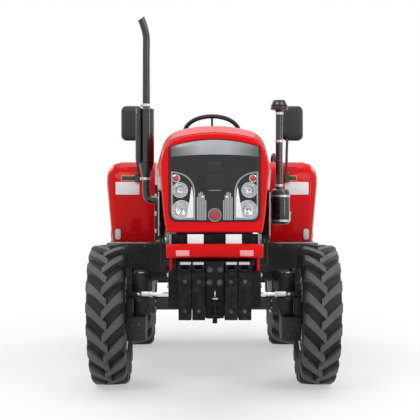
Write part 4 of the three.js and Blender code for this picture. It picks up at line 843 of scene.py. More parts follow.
def soft_rubber():
    return coated(
        "soft_rubber", (0.011, 0.011, 0.012), (0.6, 0.75), dust=0.2, wear=0.2, bare=(0.05, 0.05, 0.05),
        coarse=60, fine=700, share=0.7, bump=0.25, depth=0.0005
    )


def pipe_black():
    return coated(
        "pipe_black", (0.006, 0.006, 0.007), (0.16, 0.26), coat=0.5, coat_rough=0.08, dust=0.05, wear=0.4,
        bare=(0.08, 0.08, 0.08), coarse=55, fine=420, share=0.6, bump=0.12, depth=0.0005
    )


def black_bolt():
    return coated(
        "black_bolt", (0.03, 0.03, 0.031), (0.30, 0.42), metal=0.3, dust=0.1, wear=0.8,
        bare=(0.16, 0.16, 0.16), coarse=90, fine=700, bump=0.15, depth=0.0004
    )


def slot_black():
    return coated(
        "slot_black", (0.003, 0.003, 0.003), (0.45, 0.55), dust=0.03, wear=0.1, specular=0.08, coarse=50,
        fine=500, bump=0.1, depth=0.0004
    )


def heat_shield_finish():
    return coated("heat_black", (0.016, 0.016, 0.017), (0.38, 0.56), metal=0.2, dust=0.12, wear=0.7,
                  bare=(0.12, 0.11, 0.10), coarse=55, fine=420, share=0.6, bump=0.3, depth=0.0006)


def pale_blank():
    return coated(
        "pale_plate", (0.84, 0.85, 0.86), (0.30, 0.42), coat=0.3, coat_rough=0.1, dust=0.12, wear=0.15,
        coarse=24, fine=700, bump=0.05, depth=0.0002
    )


def dark_blank():
    return coated(
        "dark_plate", (0.02, 0.02, 0.022), (0.35, 0.45), coat=0.2, coat_rough=0.1, dust=0.1, wear=0.15,
        coarse=24, fine=700, bump=0.05, depth=0.0002
    )


def boss_finish():
    return coated(
        "boss_red", (0.30, 0.035, 0.055), (0.34, 0.46), coat=0.3, coat_rough=0.15, dust=0.05, wear=0.2,
        bare=(0.4, 0.2, 0.2), coarse=60, fine=700, bump=0.1, depth=0.0003
    )


def visor_finish():
    """Graphite film over silver, clear in the middle and dense towards the ends."""
    if "visor_painted_shade" in FINISHES:
        return FINISHES["visor_painted_shade"]
    material = coated(
        "visor_painted_shade", (0.40, 0.41, 0.42), (0.22, 0.30), metal=0.35, coat=0.3, coat_rough=0.06, dust=0.03,
        wear=0.1, coarse=12, fine=700, bump=0.04, depth=0.0003
    )
    tree = material.node_tree
    surface = tree.nodes["Principled BSDF"]
    under = surface.inputs["Base Color"].links[0].from_socket
    where = place(tree, "ShaderNodeSeparateXYZ", {0: place(tree, "ShaderNodeTexCoord").outputs["Object"]})
    away = place(tree, "ShaderNodeMath", {0: where.outputs["X"]}, operation="ABSOLUTE")
    # painted shade: the base colour is mixed towards near-black from 0.07 m out to the ends
    shade_amount = place(
        tree, "ShaderNodeMapRange",
        {"Value": away.outputs[0], "From Min": 0.07, "From Max": 0.225, "To Max": 0.9}
    )
    end_shade_mix = place(
        tree, "ShaderNodeMix", {0: shade_amount.outputs[0], 6: under, 7: (0.035, 0.037, 0.038, 1)},
        data_type="RGBA"
    )
    tree.links.new(end_shade_mix.outputs[2], surface.inputs["Base Color"])
    return material


def yellow_edge():
    return coated(
        "yellow_edging", (0.78, 0.42, 0.02), (0.35, 0.45), coat=0.2, coat_rough=0.1, dust=0.1, wear=0.15,
        coarse=24, fine=700, bump=0.05, depth=0.0002
    )


def faceted_lens(name, color, pitch=260.0, transmission=0.35, strength=0.5, rough=0.08):
    """Moulded lens plastic with small prisms on its back."""
    if name in FINISHES:
        return FINISHES[name]
    material = bpy.data.materials.new(name)
    material.use_nodes = True
    tree = material.node_tree
    surface = tree.nodes["Principled BSDF"]
    where = place(tree, "ShaderNodeTexCoord")
    cells = place(
        tree, "ShaderNodeTexVoronoi",
        {"Vector": where.outputs["Object"], "Scale": pitch, "Randomness": 0.0}, distance="CHEBYCHEV"
    )
    shade = place(
        tree, "ShaderNodeMapRange", {"Value": cells.outputs["Distance"], "To Min": 0.0, "To Max": 1.0}
    )
    tint = place(
        tree, "ShaderNodeMix",
        {
            0: shade.outputs[0], 6: with_alpha([min(1, c * 1.15) for c in color]),
            7: with_alpha([c * 0.72 for c in color])
        }, data_type="RGBA"
    )
    dusty = use_effect(tree, settled_dust, Paint=tint.outputs[2], Amount=0.06, Reach=1.2)
    tree.links.new(dusty.outputs["Color"], surface.inputs["Base Color"])
    bumps = place(
        tree, "ShaderNodeBump",
        {"Strength": strength, "Distance": 0.0012, "Height": cells.outputs["Distance"]}
    )
    tree.links.new(bumps.outputs[0], surface.inputs["Normal"])
    surface.inputs["Roughness"].default_value = rough
    surface.inputs["Transmission Weight"].default_value = transmission
    surface.inputs["Coat Weight"].default_value = 0.8
    surface.inputs["Coat Roughness"].default_value = 0.02
    FINISHES[name] = material
    return material


def clear_lens():
    return faceted_lens("clear_lens", (0.93, 0.95, 0.97), 70.0, 0.96, 0.12, 0.01)


def amber_lens():
    return faceted_lens("amber_lens", (0.80, 0.20, 0.02), 300.0, 0.2)


def marker_lens():
    return faceted_lens("marker_lens", (0.50, 0.03, 0.015), 300.0, 0.25)


def red_lens():
    return faceted_lens("red_lens", (0.62, 0.012, 0.02), 240.0, 0.15)


def reflector_lens():
    return faceted_lens("reflector_lens", (0.85, 0.72, 0.66), 420.0, 0.1, 0.7)


def seat_cover():
    """Black vinyl: a leather-like grain of small cells with soft creases between them."""
    if "seat_cover" in FINISHES:
        return FINISHES["seat_cover"]
    material = bpy.data.materials.new("seat_cover")
    material.use_nodes = True
    tree = material.node_tree
    surface = tree.nodes["Principled BSDF"]
    where = place(tree, "ShaderNodeTexCoord")
    warp = place(
        tree, "ShaderNodeTexNoise", {"Vector": where.outputs["Object"], "Scale": 90.0, "Detail": 2.0}
    )
    bent = place(
        tree, "ShaderNodeMix", {0: 0.012, 4: where.outputs["Object"], 5: warp.outputs["Color"]},
        data_type="VECTOR"
    )
    cells = place(
        tree, "ShaderNodeTexVoronoi", {"Vector": bent.outputs[1], "Scale": 330.0},
        feature="DISTANCE_TO_EDGE"
    )
    crease = place(tree, "ShaderNodeMapRange", {"Value": cells.outputs["Distance"], "From Max": 0.16})
    folds = place(
        tree, "ShaderNodeTexNoise", {"Vector": where.outputs["Object"], "Scale": 14.0, "Detail": 4.0}
    )
    height = place(
        tree, "ShaderNodeMath", {0: crease.outputs[0], 1: folds.outputs[0]}, operation="MULTIPLY_ADD"
    )
    height.inputs[2].default_value = 0.1
    # The creases are darker than the cells: painted shade in the creases.
    tone = place(
        tree, "ShaderNodeMix",
        {0: crease.outputs[0], 6: (0.008, 0.008, 0.009, 1), 7: (0.022, 0.022, 0.024, 1)}, data_type="RGBA"
    )
    worn = use_effect(tree, worn_edge, Paint=tone.outputs[2], Bare=(0.06, 0.06, 0.06, 1), Amount=0.5)
    dusty = use_effect(tree, settled_dust, Paint=worn.outputs["Color"], Amount=0.12, Reach=1.3)
    tree.links.new(dusty.outputs["Color"], surface.inputs["Base Color"])
    gloss = place(tree, "ShaderNodeMapRange", {"Value": folds.outputs[0], "To Min": 0.36, "To Max": 0.56})
    tree.links.new(gloss.outputs[0], surface.inputs["Roughness"])
    bumps = place(tree, "ShaderNodeBump", {"Strength": 0.4, "Distance": 0.0007, "Height": height.outputs[0]})
    tree.links.new(bumps.outputs[0], surface.inputs["Normal"])
    surface.inputs["Sheen Weight"].default_value = 0.15
    FINISHES["seat_cover"] = material
    return material


def mirror_glass():
    return coated(
        "mirror_glass", (0.86, 0.88, 0.90), (0.01, 0.02), metal=1.0, dust=0.03, wear=0.0, coarse=5,
        fine=100, bump=0.0, depth=0.0001
    )


def core_fins():
    """Radiator core: flat tubes with folded fins between them."""
    if "core_fins" in FINISHES:
        return FINISHES["core_fins"]
    material = bpy.data.materials.new("core_fins")
    material.use_nodes = True
    tree = material.node_tree
    surface = tree.nodes["Principled BSDF"]
    where = place(tree, "ShaderNodeTexCoord")
    tubes = place(
        tree, "ShaderNodeTexWave", {"Vector": where.outputs["Object"], "Scale": 28.0}, bands_direction="X"
    )
    fins = place(
        tree, "ShaderNodeTexWave", {"Vector": where.outputs["Object"], "Scale": 150.0}, bands_direction="Z"
    )
    weave = place(
        tree, "ShaderNodeMath", {0: tubes.outputs["Fac"], 1: fins.outputs["Fac"]}, operation="MAXIMUM"
    )
    # The gaps between tubes and fins are near-black: painted shade inside the core.
    tone = place(
        tree, "ShaderNodeMix",
        {0: weave.outputs[0], 6: (0.004, 0.004, 0.004, 1), 7: (0.05, 0.05, 0.052, 1)}, data_type="RGBA"
    )
    dusty = use_effect(tree, settled_dust, Paint=tone.outputs[2], Amount=0.3, Reach=1.3)
    tree.links.new(dusty.outputs["Color"], surface.inputs["Base Color"])
    bumps = place(tree, "ShaderNodeBump", {"Strength": 0.8, "Distance": 0.003, "Height": weave.outputs[0]})
    tree.links.new(bumps.outputs[0], surface.inputs["Normal"])
    surface.inputs["Roughness"].default_value = 0.5
    surface.inputs["Metallic"].default_value = 0.4
    FINISHES["core_fins"] = material
    return material


# ---- Wheels ------------------------------------------------------------------------------------------
WHEELS = {
    "front": {
        "body": "front_wheel", "joint": "front_wheel_spin", "seat": 0.206, "half": 0.103, "rim": 0.078,
        "nuts": 6, "nut_ring": 0.050, "hub": 0.070, "disc": 0.032, "dish": 0.062, "bar": 0.056
    },
    "rear": {
        "body": "rear_wheel", "joint": "rear_wheel_spin", "seat": 0.308, "half": 0.142, "rim": 0.127,
        "nuts": 8, "nut_ring": 0.072, "hub": 0.092, "disc": -0.014, "dish": 0.016, "bar": 0.064
    }
}


def on_axle(joint_name, side):
    """The middle of a wheel and the direction of its axle, outwards."""
    spin = joint(joint_name)
    centre = Vector(spin["pos_m"])
    out = Vector(spin["axis"]) * (side if spin["axis"][0] > 0 else -side)
    return centre, out


def lug(shape, radius, height, half, bar, side, phase):
    """One tread bar, from just past the middle of the tread out over the shoulder, slanting back."""
    reach = 0.47 if half < 0.12 else 0.40
    stations = []
    for t in (0.0, 0.12, 0.3, 0.5, 0.7, 0.86, 0.95, 1.0):
        across = side * (-0.010 + (half + 0.008) * t)
        turn = phase + reach * (t ** 0.88) * 0.62
        drop = 0.006 * t ** 3 + (0.020 if t > 0.99 else 0.006 if t > 0.9 else 0.0)
        width = bar * (0.88 + 0.16 * t)
        stations.append((across, turn, radius - drop, width))
    rings = []
    for i, (across, turn, top, width) in enumerate(stations):
        low = radius - height - 0.006 - (
            0.030 if i == len(stations) - 1 else 0.014 if i == len(stations) - 2 else 0.0
        )
        half_top, half_foot = 0.5 * width / radius, 0.5 * (width + 0.010) / radius
        inner = side * 0.004 if i == 0 else 0.0
        section = ((-half_foot, low), (-half_top, top - 0.003), (-half_top * 0.9, top),
                   (half_top * 0.9, top), (half_top, top - 0.003), (half_foot, low))
        rings.append(
            [Vector((across - inner, r * math.sin(turn + a), r * math.cos(turn + a))) for a, r in section]
        )
    return shape.rings(rings)


def casing_profile(spec, radius):
    """Half section of the casing as (radius, offset from the middle), from the tread to the bead."""
    half, seat, rim = spec["half"], spec["seat"], spec["rim"]
    depth = radius - seat
    crown = half * 0.80
    return [
        (radius, 0.0), (radius - 0.0015, crown * 0.5), (radius - 0.006, crown),
        (radius - 0.016, half * 0.92), (radius - depth * 0.22, half * 0.985), (radius - depth * 0.36, half),
        (radius - depth * 0.5, half * 0.995), (radius - depth * 0.62, half * 0.975),
        (radius - depth * 0.64, half * 1.0), (radius - depth * 0.67, half * 1.0),
        (radius - depth * 0.69, half * 0.965), (seat + 0.034, rim + 0.016), (seat + 0.024, rim + 0.015),
        (seat + 0.017, rim + 0.006), (seat, rim - 0.002)
    ]


def tyre(kind, side_name, side):
    spec = WHEELS[kind]
    tread = bpy.context.scene.tractor_tread
    height = tread.front_height if kind == "front" else tread.rear_height
    bars = tread.front_bars if kind == "front" else tread.rear_bars
    low, _ = corners(f"{kind}_tyre_{side_name}")
    centre, out = on_axle(f"{spec['joint']}_{side_name}", side)
    outer = (centre.z - low.z) - (spec["half"] * 0.70 * math.sin(TILT) if kind == "front" else 0.0)
    half_profile = casing_profile(spec, outer - height)
    profile = [(r, -x) for r, x in reversed(half_profile)] + half_profile[1:]
    body = f"{spec['body']}_{side_name}"
    casing = Shape().lathe(profile, aim(centre, centre + out), 96, closed=True)
    casing.finish(
        f"{kind}_tyre_casing_{side_name}", body, [shaded_casing_rubber()], "tyre", [f"{kind}_tyre_{side_name}"],
        sharp=50
    )
    lean = math.atan2(-out.z, out.x) if side > 0 else math.atan2(out.z, -out.x)
    for edge, name in ((1, "outer"), (-1, "inner")):
        pattern = Shape()
        phase = 0.0 if edge == side else math.pi / bars
        lug(pattern, outer, height, spec["half"], spec["bar"], edge, phase)
        ring_of(
            f"{kind}_tread_{name if side > 0 else ('inner' if edge > 0 else 'outer')}_{side_name}", pattern,
            body, centre, bars, lit_lug_rubber(), lean
        )


def rim(kind, side_name, side):
    spec = WHEELS[kind]
    centre, out = on_axle(f"{spec['joint']}_{side_name}", side)
    body = f"{spec['body']}_{side_name}"
    to = aim(centre, centre + out)
    outer, half, hub = spec["seat"] - 0.001, spec["rim"], spec["hub"]
    wall, lip, edge = 0.006, 0.014, spec["rim"] + 0.007
    inner = outer - wall
    face, dish = spec["disc"], spec["dish"]
    well = 0.010
    profile = [
        (inner, -edge + 0.003), (outer + lip - 0.003, -edge), (outer + lip, -edge + 0.003),
        (outer + lip - 0.004, -half), (outer, -half + 0.003), (outer - 0.001, -half + 0.022),
        (outer - well, -half + 0.036), (outer - well, half - 0.036), (outer - 0.001, half - 0.022),
        (outer, half - 0.003), (outer + lip - 0.004, half), (outer + lip, edge - 0.003),
        (outer + lip - 0.003, edge), (inner, edge - 0.003), (inner - 0.002, half - 0.018),
        (inner - well, half - 0.032), (inner - well, dish + 0.012), (inner - well - 0.006, dish),
        (inner * 0.86, dish - 0.004), (inner * 0.74, dish - 0.001),
        (inner * 0.66, face + (dish - face) * 0.45), (hub * 1.62, face + 0.006), (hub * 1.46, face),
        (hub * 0.56, face), (hub * 0.56, face - 0.010), (hub * 1.46, face - 0.010),
        (inner * 0.66, face + (dish - face) * 0.45 - 0.010), (inner - well - 0.006, dish - 0.010),
        (inner - well, -half + 0.032), (inner, -half + 0.018)
    ]
    shape = Shape().lathe(profile, to, 72, closed=True)
    shape.finish(
        f"{kind}_wheel_rim_{side_name}", body, [wheel_finish()], "wheel_paint", [f"{kind}_rim_{side_name}"],
        sharp=38
    )
    cap = [
        (0, face + 0.034), (hub * 0.30, face + 0.033), (hub * 0.42, face + 0.027),
        (hub * 0.46, face + 0.002), (hub * 0.54, face + 0.001), (hub * 0.56, face - 0.012),
        (0, face - 0.012)
    ]
    Shape().lathe(cap, to, 40).finish(f"{kind}_hub_cap_{side_name}", body, [chassis_paint()], "black_paint")
    spots = [(to @ Vector((x, y, face + 0.0017)), out) for x, y in circle(spec["nuts"], spec["nut_ring"])]
    screws(f"{kind}_wheel_nuts_{side_name}", body, spots, 0.022, zinc_plate())
    valve = to @ Vector((inner - 0.022, 0, dish - 0.004))
    tip = to @ Vector((inner - 0.036, 0, dish + 0.034))
    Shape().rod(valve, tip, 0.004, 12).rod(tip, tip + (tip - valve).normalized() * 0.010, 0.0052, 12).finish(
        f"{kind}_valve_{side_name}", body, [soft_rubber()], "black_plastic"
    )


def refined(node, body, material, slot, bevel, sharp=32):
    """The frame's own solid with softened edges and a full finish."""
    shape = Shape().node(node, bevel)
    return shape.finish(f"{node}_finished", body, [material], slot, [node], sharp=sharp, recalc=False)


# ---- Front axle, frame and weights -------------------------------------------------------------------
def front_axle():
    refined("front_axle_beam", "chassis", cast_finish(), "cast_iron", 0.003)
    refined("steering_cylinder", "chassis", chassis_paint(), "cast_iron", 0.001)
    low, high = corners("front_axle_beam")
    mid = (low + high) / 2
    hinge = Vector(joint("steer_left")["pos_m"])
    beam = Shape()
    axle_z = mid.z
    for side in (1, -1):
        for step in (0.335, 0.365):
            beam.lathe(
                [(0.052, -0.004), (0.062, -0.003), (0.063, 0.0), (0.062, 0.003), (0.052, 0.004)],
                aim((side * step, hinge.y, axle_z), (side * (step + 1), hinge.y, axle_z)), 36, closed=True
            )
        beam.box(
            (side * 0.30 - 0.10, hinge.y - 0.006, axle_z + 0.028),
            (side * 0.30 + 0.10, hinge.y + 0.006, axle_z + 0.040), 0.002
        )
        beam.box(
            (side * 0.20 - 0.10, hinge.y - 0.0405, axle_z - 0.010),
            (side * 0.20 + 0.06, hinge.y - 0.0370, axle_z + 0.010), 0.0015
        )
    beam.finish("front_axle_ribs", "chassis", [cast_finish()], "cast_iron")
    spots = []
    for side in (1, -1):
        for y, z in circle(8, 0.050, 0.5):
            spots.append((Vector((side * 0.335, hinge.y + y, axle_z + z)), (-side, 0, 0)))
    for x, z in circle(10, 0.050, 0.5):
        spots.append((Vector((x, hinge.y - 0.0885, axle_z + z)), (0, -1, 0)))
    screws("front_axle_screws", "chassis", spots, 0.012, zinc_plate())

    tie_low, tie_high = corners("tie_rod")
    rod_y, rod_z = (tie_low.y + tie_high.y) / 2, (tie_low.z + tie_high.z) / 2
    reach = hinge.x
    rod = Shape()
    rod.rod((-reach + 0.022, rod_y, rod_z), (reach - 0.022, rod_y, rod_z), 0.0095, 28)
    rod.finish("tie_rod_shaft", "tie_rod", [chrome_plate()], "chrome", ["tie_rod"])
    ends = Shape()
    for side in (1, -1):
        ends.lathe(
            [
                (0, -0.0075), (0.020, -0.0075), (0.0235, -0.004), (0.0235, 0.004), (0.020, 0.0075),
                (0.013, 0.0085), (0, 0.0085)
            ], moved(side * reach, rod_y, rod_z), 32
        )
        ends.rod((side * (reach - 0.064), rod_y, rod_z), (side * (reach - 0.016), rod_y, rod_z), 0.0145, 24)
        ends.lathe([(0.0096, 0), (0.0180, 0), (0.0180, 0.012), (0.0096, 0.012)],
                   aim((side * (reach - 0.078), rod_y, rod_z), (side * reach, rod_y, rod_z)), 6, closed=True)
    ends.finish("tie_rod_ends", "tie_rod", [bright_steel()], "chrome")
    cylinder = Shape()
    length = 0.115
    for side in (1, -1):
        place_gland = aim((side * (length - 0.030), rod_y, rod_z), (side, rod_y, rod_z))
        cylinder.lathe([(0.0272, 0), (0.031, 0.002), (0.031, 0.026), (0.0272, 0.029)], place_gland, 32)
        cylinder.rod((side * 0.078, rod_y, rod_z + 0.022), (side * 0.078, rod_y, rod_z + 0.044), 0.009, 6)
        cylinder.tube(
            [
                (side * 0.078, rod_y, rod_z + 0.040), (side * 0.080, rod_y + 0.012, rod_z + 0.072),
                (side * 0.095, rod_y + 0.060, rod_z + 0.086), (side * 0.120, rod_y + 0.130, rod_z + 0.100),
                (side * 0.125, rod_y + 0.250, rod_z + 0.098)
            ], 0.0075, 14
        )
    cylinder.finish("steering_cylinder_hoses", "chassis", [soft_rubber()], "black_plastic")


def front_knuckle(side_name, side):
    body = f"knuckle_{side_name}"
    refined(f"front_knuckle_{side_name}", body, cast_finish(), "cast_iron", 0.004)
    hinge = Vector(joint(f"steer_{side_name}")["pos_m"])
    _, high = corners(f"front_knuckle_{side_name}")
    cap = moved(hinge.x, hinge.y, high.z)
    Shape().lathe(
        [(0.0, 0.004), (0.018, 0.004), (0.024, 0.002), (0.030, -0.0005), (0.046, -0.0005), (0.048, -0.003)],
        cap, 36
    ).finish(f"knuckle_cap_{side_name}", body, [bright_steel()], "steel")
    spots = [
        (Vector((hinge.x + 0.038 * math.cos(a), hinge.y + 0.038 * math.sin(a), high.z + 0.001)), (0, 0, 1))
        for a in (0.5, 1.75, 3.0, 4.3, 5.5)
    ]
    web = hinge.x + side * 0.0755
    for z in (0.330, 0.385, 0.440, 0.540):
        for y in (-0.060, 0.060):
            spots.append((Vector((web - side * 0.0002, hinge.y + y, z)), (side, 0, 0)))
    for x in (0.012, 0.050):
        for z in (0.300, 0.355):
            spots.append((Vector((hinge.x - side * 0.010 + side * x, hinge.y - 0.1045, z)), (0, -1, 0)))
    screws(f"knuckle_screws_{side_name}", body, spots, 0.011, black_bolt())
    spin = Vector(joint(f"front_wheel_spin_{side_name}")["pos_m"])
    ribs = Shape()
    for y in (-0.050, 0.0, 0.050):
        ribs.box((hinge.x + side * 0.036, hinge.y + y - 0.005, 0.262),
                 (hinge.x + side * 0.073, hinge.y + y + 0.005, 0.300), 0.002)
    steering_arm_z = 0.519
    nut = moved(hinge.x, hinge.y - 0.152, steering_arm_z - 0.028)
    ribs.lathe([(0, 0), (0.014, 0), (0.014, 0.013), (0, 0.013)], nut, 6)
    ribs.lathe([(0.060, 0), (0.066, 0.002), (0.066, 0.012), (0.060, 0.014)],
               aim(spin + Vector((-side * 0.100, 0, 0)), spin), 40)
    ribs.finish(f"knuckle_ribs_{side_name}", body, [cast_finish()], "cast_iron")


def front_frame():
    refined("front_frame", "chassis", shaded_frame_black(), "black_paint", 0.002)
    refined("weight_bracket", "chassis", shaded_frame_black(), "black_paint", 0.002)
    low, high = corners("front_frame")
    plate_low, _ = corners("weight_bracket")
    face = plate_low.y + 0.030
    spots = [(Vector((x, face, z)), (0, -1, 0)) for x in (-0.026, 0.026) for z in (0.705, 0.640)]
    screws("bracket_bolts", "chassis", spots, 0.019, black_bolt())
    rail = []
    for side in (1, -1):
        for y in (0.060, 0.120, 0.190, 0.620, 0.700, 0.770):
            for z in (0.608, 0.665):
                rail.append((Vector((side * high.x, low.y + y, z)), (side, 0, 0)))
    screws("frame_bolts", "chassis", rail, 0.016, zinc_plate())
    pin = Shape()
    pin.lathe([(0, 0.010), (0.010, 0.009), (0.018, 0.004), (0.019, 0), (0.0125, 0), (0, 0)],
              moved(0, plate_low.y + 0.018, plate_low.z + 0.120), 28)
    ring = [(0, plate_low.y + 0.018 + y, plate_low.z + 0.146 + z) for y, z in circle(12, 0.016)]
    pin.tube(ring, 0.003, 10, 3, closed=True)
    pin.finish("tow_pin_head", "chassis", [bright_steel()], "steel")


def front_weight(side_name):
    node = f"front_weights_{side_name}"
    low, high = corners(node)
    width = (high.x - low.x) / 2
    material = [shaded_frame_black(), bright_steel()]
    slab_top = high.z - 0.050
    shape = Shape()
    for i in range(2):
        x0 = low.x + i * width + 0.0016
        x1 = low.x + (i + 1) * width - 0.0016
        mid = (x0 + x1) / 2
        shape.box((x0, low.y, low.z), (x1, high.y, slab_top), 0.005)
        shape.box(
            (x0 + 0.010, low.y - 0.0025, low.z + 0.030), (x1 - 0.010, low.y + 0.004, slab_top - 0.030),
            0.002
        )
        grip_low, grip_high = high.z - 0.035, high.z - 0.013
        y0, y1 = low.y + 0.022, high.y - 0.028
        left, right = max(x0, low.x + 0.006), min(x1, high.x - 0.006)
        shape.box((left, y0, slab_top - 0.004), (mid - 0.018, y1, high.z - 0.0005), 0.003)
        shape.box((mid + 0.018, y0, slab_top - 0.004), (right, y1, high.z - 0.0005), 0.003)
        shape.box(
            (left + 0.003, y0 + 0.0005, slab_top - 0.006), (right - 0.003, y1 - 0.0005, grip_low), 0.002
        )
        shape.box((left + 0.003, y0 - 0.001, grip_high), (right - 0.003, y1 + 0.001, high.z), 0.003, 1)
    shape.finish(f"{node}_cast", "chassis", material, "black_paint", [node])
    spots = [
        (Vector((low.x + (i + 0.5) * width, low.y - 0.0025, z)), (0, -1, 0))
        for i in range(2)
        for z in (low.z + 0.045, slab_top - 0.045)
    ]
    screws(f"{node}_bolts", "chassis", spots, 0.013, black_bolt())


def bumper():
    low, high = corners("bumper")
    mats = [body_paint(), slot_black(), pale_blank(), trim_finish(), coated_pink()]
    shape = Shape()
    bar_top = low.z + 0.136
    bar_low = bar_top - 0.072
    front, back = low.y, low.y + 0.060
    rings = []
    for x, tuck in (
        (-0.247, 0.020), (-0.243, 0.010), (-0.225, 0.003), (-0.10, 0.0), (0.10, 0.0), (0.225, 0.003),
        (0.243, 0.010), (0.247, 0.020)
    ):
        y0 = front + tuck
        inset = 0.004 if abs(x) > 0.246 else 0.0
        r = 0.009
        section = [
            (back, bar_low + inset), (y0 + r, bar_low + inset), (y0 + r * 0.3, bar_low + inset + r * 0.3),
            (y0, bar_low + inset + r), (y0 + 0.002, (bar_low + bar_top) / 2),
            (y0 + 0.004, bar_top - inset - r), (y0 + 0.004 + r * 0.3, bar_top - inset - r * 0.3),
            (y0 + 0.004 + r, bar_top - inset), (back, bar_top - inset)
        ]
        rings.append([Vector((x, y, z)) for y, z in section])
    shape.rings(rings)
    shape.box((-0.222, front - 0.0015, bar_low + 0.008), (0.222, front + 0.006, bar_low + 0.011), 0.001)
    slot_front = front + 0.026
    shape.box((-0.235, slot_front, bar_top - 0.002), (0.235, slot_front + 0.024, high.z - 0.0005), 0.002, 1)
    for side in (1, -1):
        shape.box((side * 0.056, slot_front - 0.004, bar_top + 0.001),
                  (side * 0.138, slot_front + 0.003, high.z - 0.002), 0.0015, 2)
        for x in (0.229, 0.222):
            shape.box(
                (side * x - 0.0022, slot_front - 0.012, bar_top),
                (side * x + 0.0022, slot_front + 0.004, high.z - 0.001), 0.0008, 3
            )
        shape.box((side * 0.128, front - 0.0006, bar_low + 0.010),
                  (side * 0.196, front + 0.004, bar_low + 0.040), 0.0008, 4)
        shape.box(
            (side * 0.214, front + 0.030, low.z + 0.0002), (side * 0.230, high.y, bar_top - 0.002), 0.002
        )
    for i in range(-8, 9):
        shape.box((i * 0.0265 - 0.0012, slot_front - 0.0016, bar_top + 0.002),
                  (i * 0.0265 + 0.0012, slot_front + 0.002, high.z - 0.003), 0.0005, 1)
    shape.finish("bumper_finished", "chassis", mats, "red_paint", ["bumper"])


def coated_pink():
    return coated(
        "pale_reflector", (0.85, 0.33, 0.36), (0.25, 0.35), coat=0.6, coat_rough=0.05, dust=0.08, wear=0.1,
        coarse=24, fine=900, bump=0.1, depth=0.0003
    )


# ---- Engine bay and driveline ------------------------------------------------------------------------
def radiator():
    low, high = corners("radiator")
    half = high.x
    top = high.z - 0.022
    core_back = low.y + 0.080
    mats = [chassis_paint(), core_fins(), zinc_plate(), moulded_black()]
    shape = Shape()
    shape.box((-half, low.y, top - 0.055), (half, core_back, top), 0.010)
    shape.box((-half, low.y, low.z), (half, core_back, low.z + 0.045), 0.008)
    for side in (1, -1):
        shape.box((side * (half - 0.022), low.y + 0.004, low.z + 0.040),
                  (side * half, core_back - 0.004, top - 0.050), 0.003)
    shape.box(
        (-half + 0.020, low.y + 0.016, low.z + 0.040), (half - 0.020, core_back - 0.012, top - 0.050),
        0.001, 1
    )
    neck = moved(0.090, (low.y + core_back) / 2, top - 0.002)
    shape.lathe(
        [
            (0.020, 0), (0.020, 0.010), (0.027, 0.011), (0.028, 0.016), (0.027, 0.020), (0.012, 0.0225),
            (0, 0.0225)
        ], neck, 32, 2
    )
    fan_z = 0.960
    shape.lathe(
        [
            (0.195, 0), (0.190, 0.012), (0.180, 0.020), (0.179, 0.060), (0.176, 0.060), (0.176, 0.018),
            (0.186, 0.006), (0.190, 0)
        ], aim((0, core_back - 0.004, fan_z), (0, core_back + 1, fan_z)), 56, 3, closed=True
    )
    for i in range(10):
        z = low.z + 0.080 + i * 0.046
        shape.box((-half + 0.018, low.y + 0.010, z), (half - 0.018, low.y + 0.014, z + 0.0025), 0.0005, 2)
    shape.tube(
        [
            (0.150, core_back, top - 0.080), (0.150, core_back + 0.060, top - 0.078),
            (0.120, core_back + 0.140, top - 0.100), (0.060, core_back + 0.190, 1.120)
        ], 0.019, 18, 6, 3
    )
    shape.finish("radiator_finished", "chassis", mats, "black_paint", ["radiator"])
    blades = Shape()
    for i in range(6):
        turn = moved(
            0, core_back + 0.034, fan_z
        ) @ Matrix.Rotation(i * math.pi / 3, 4, "Y") @ Matrix.Rotation(0.55, 4, "X")
        blades.box((-0.026, -0.0015, 0.040), (0.030, 0.0015, 0.160), 0.001, 0, turn)
    blades.lathe([(0, 0), (0.040, 0.002), (0.046, 0.008), (0.046, 0.050), (0, 0.050)],
                 aim((0, core_back + 0.012, fan_z), (0, core_back + 1, fan_z)), 28)
    blades.finish("cooling_fan", "chassis", [moulded_black()], "black_plastic")


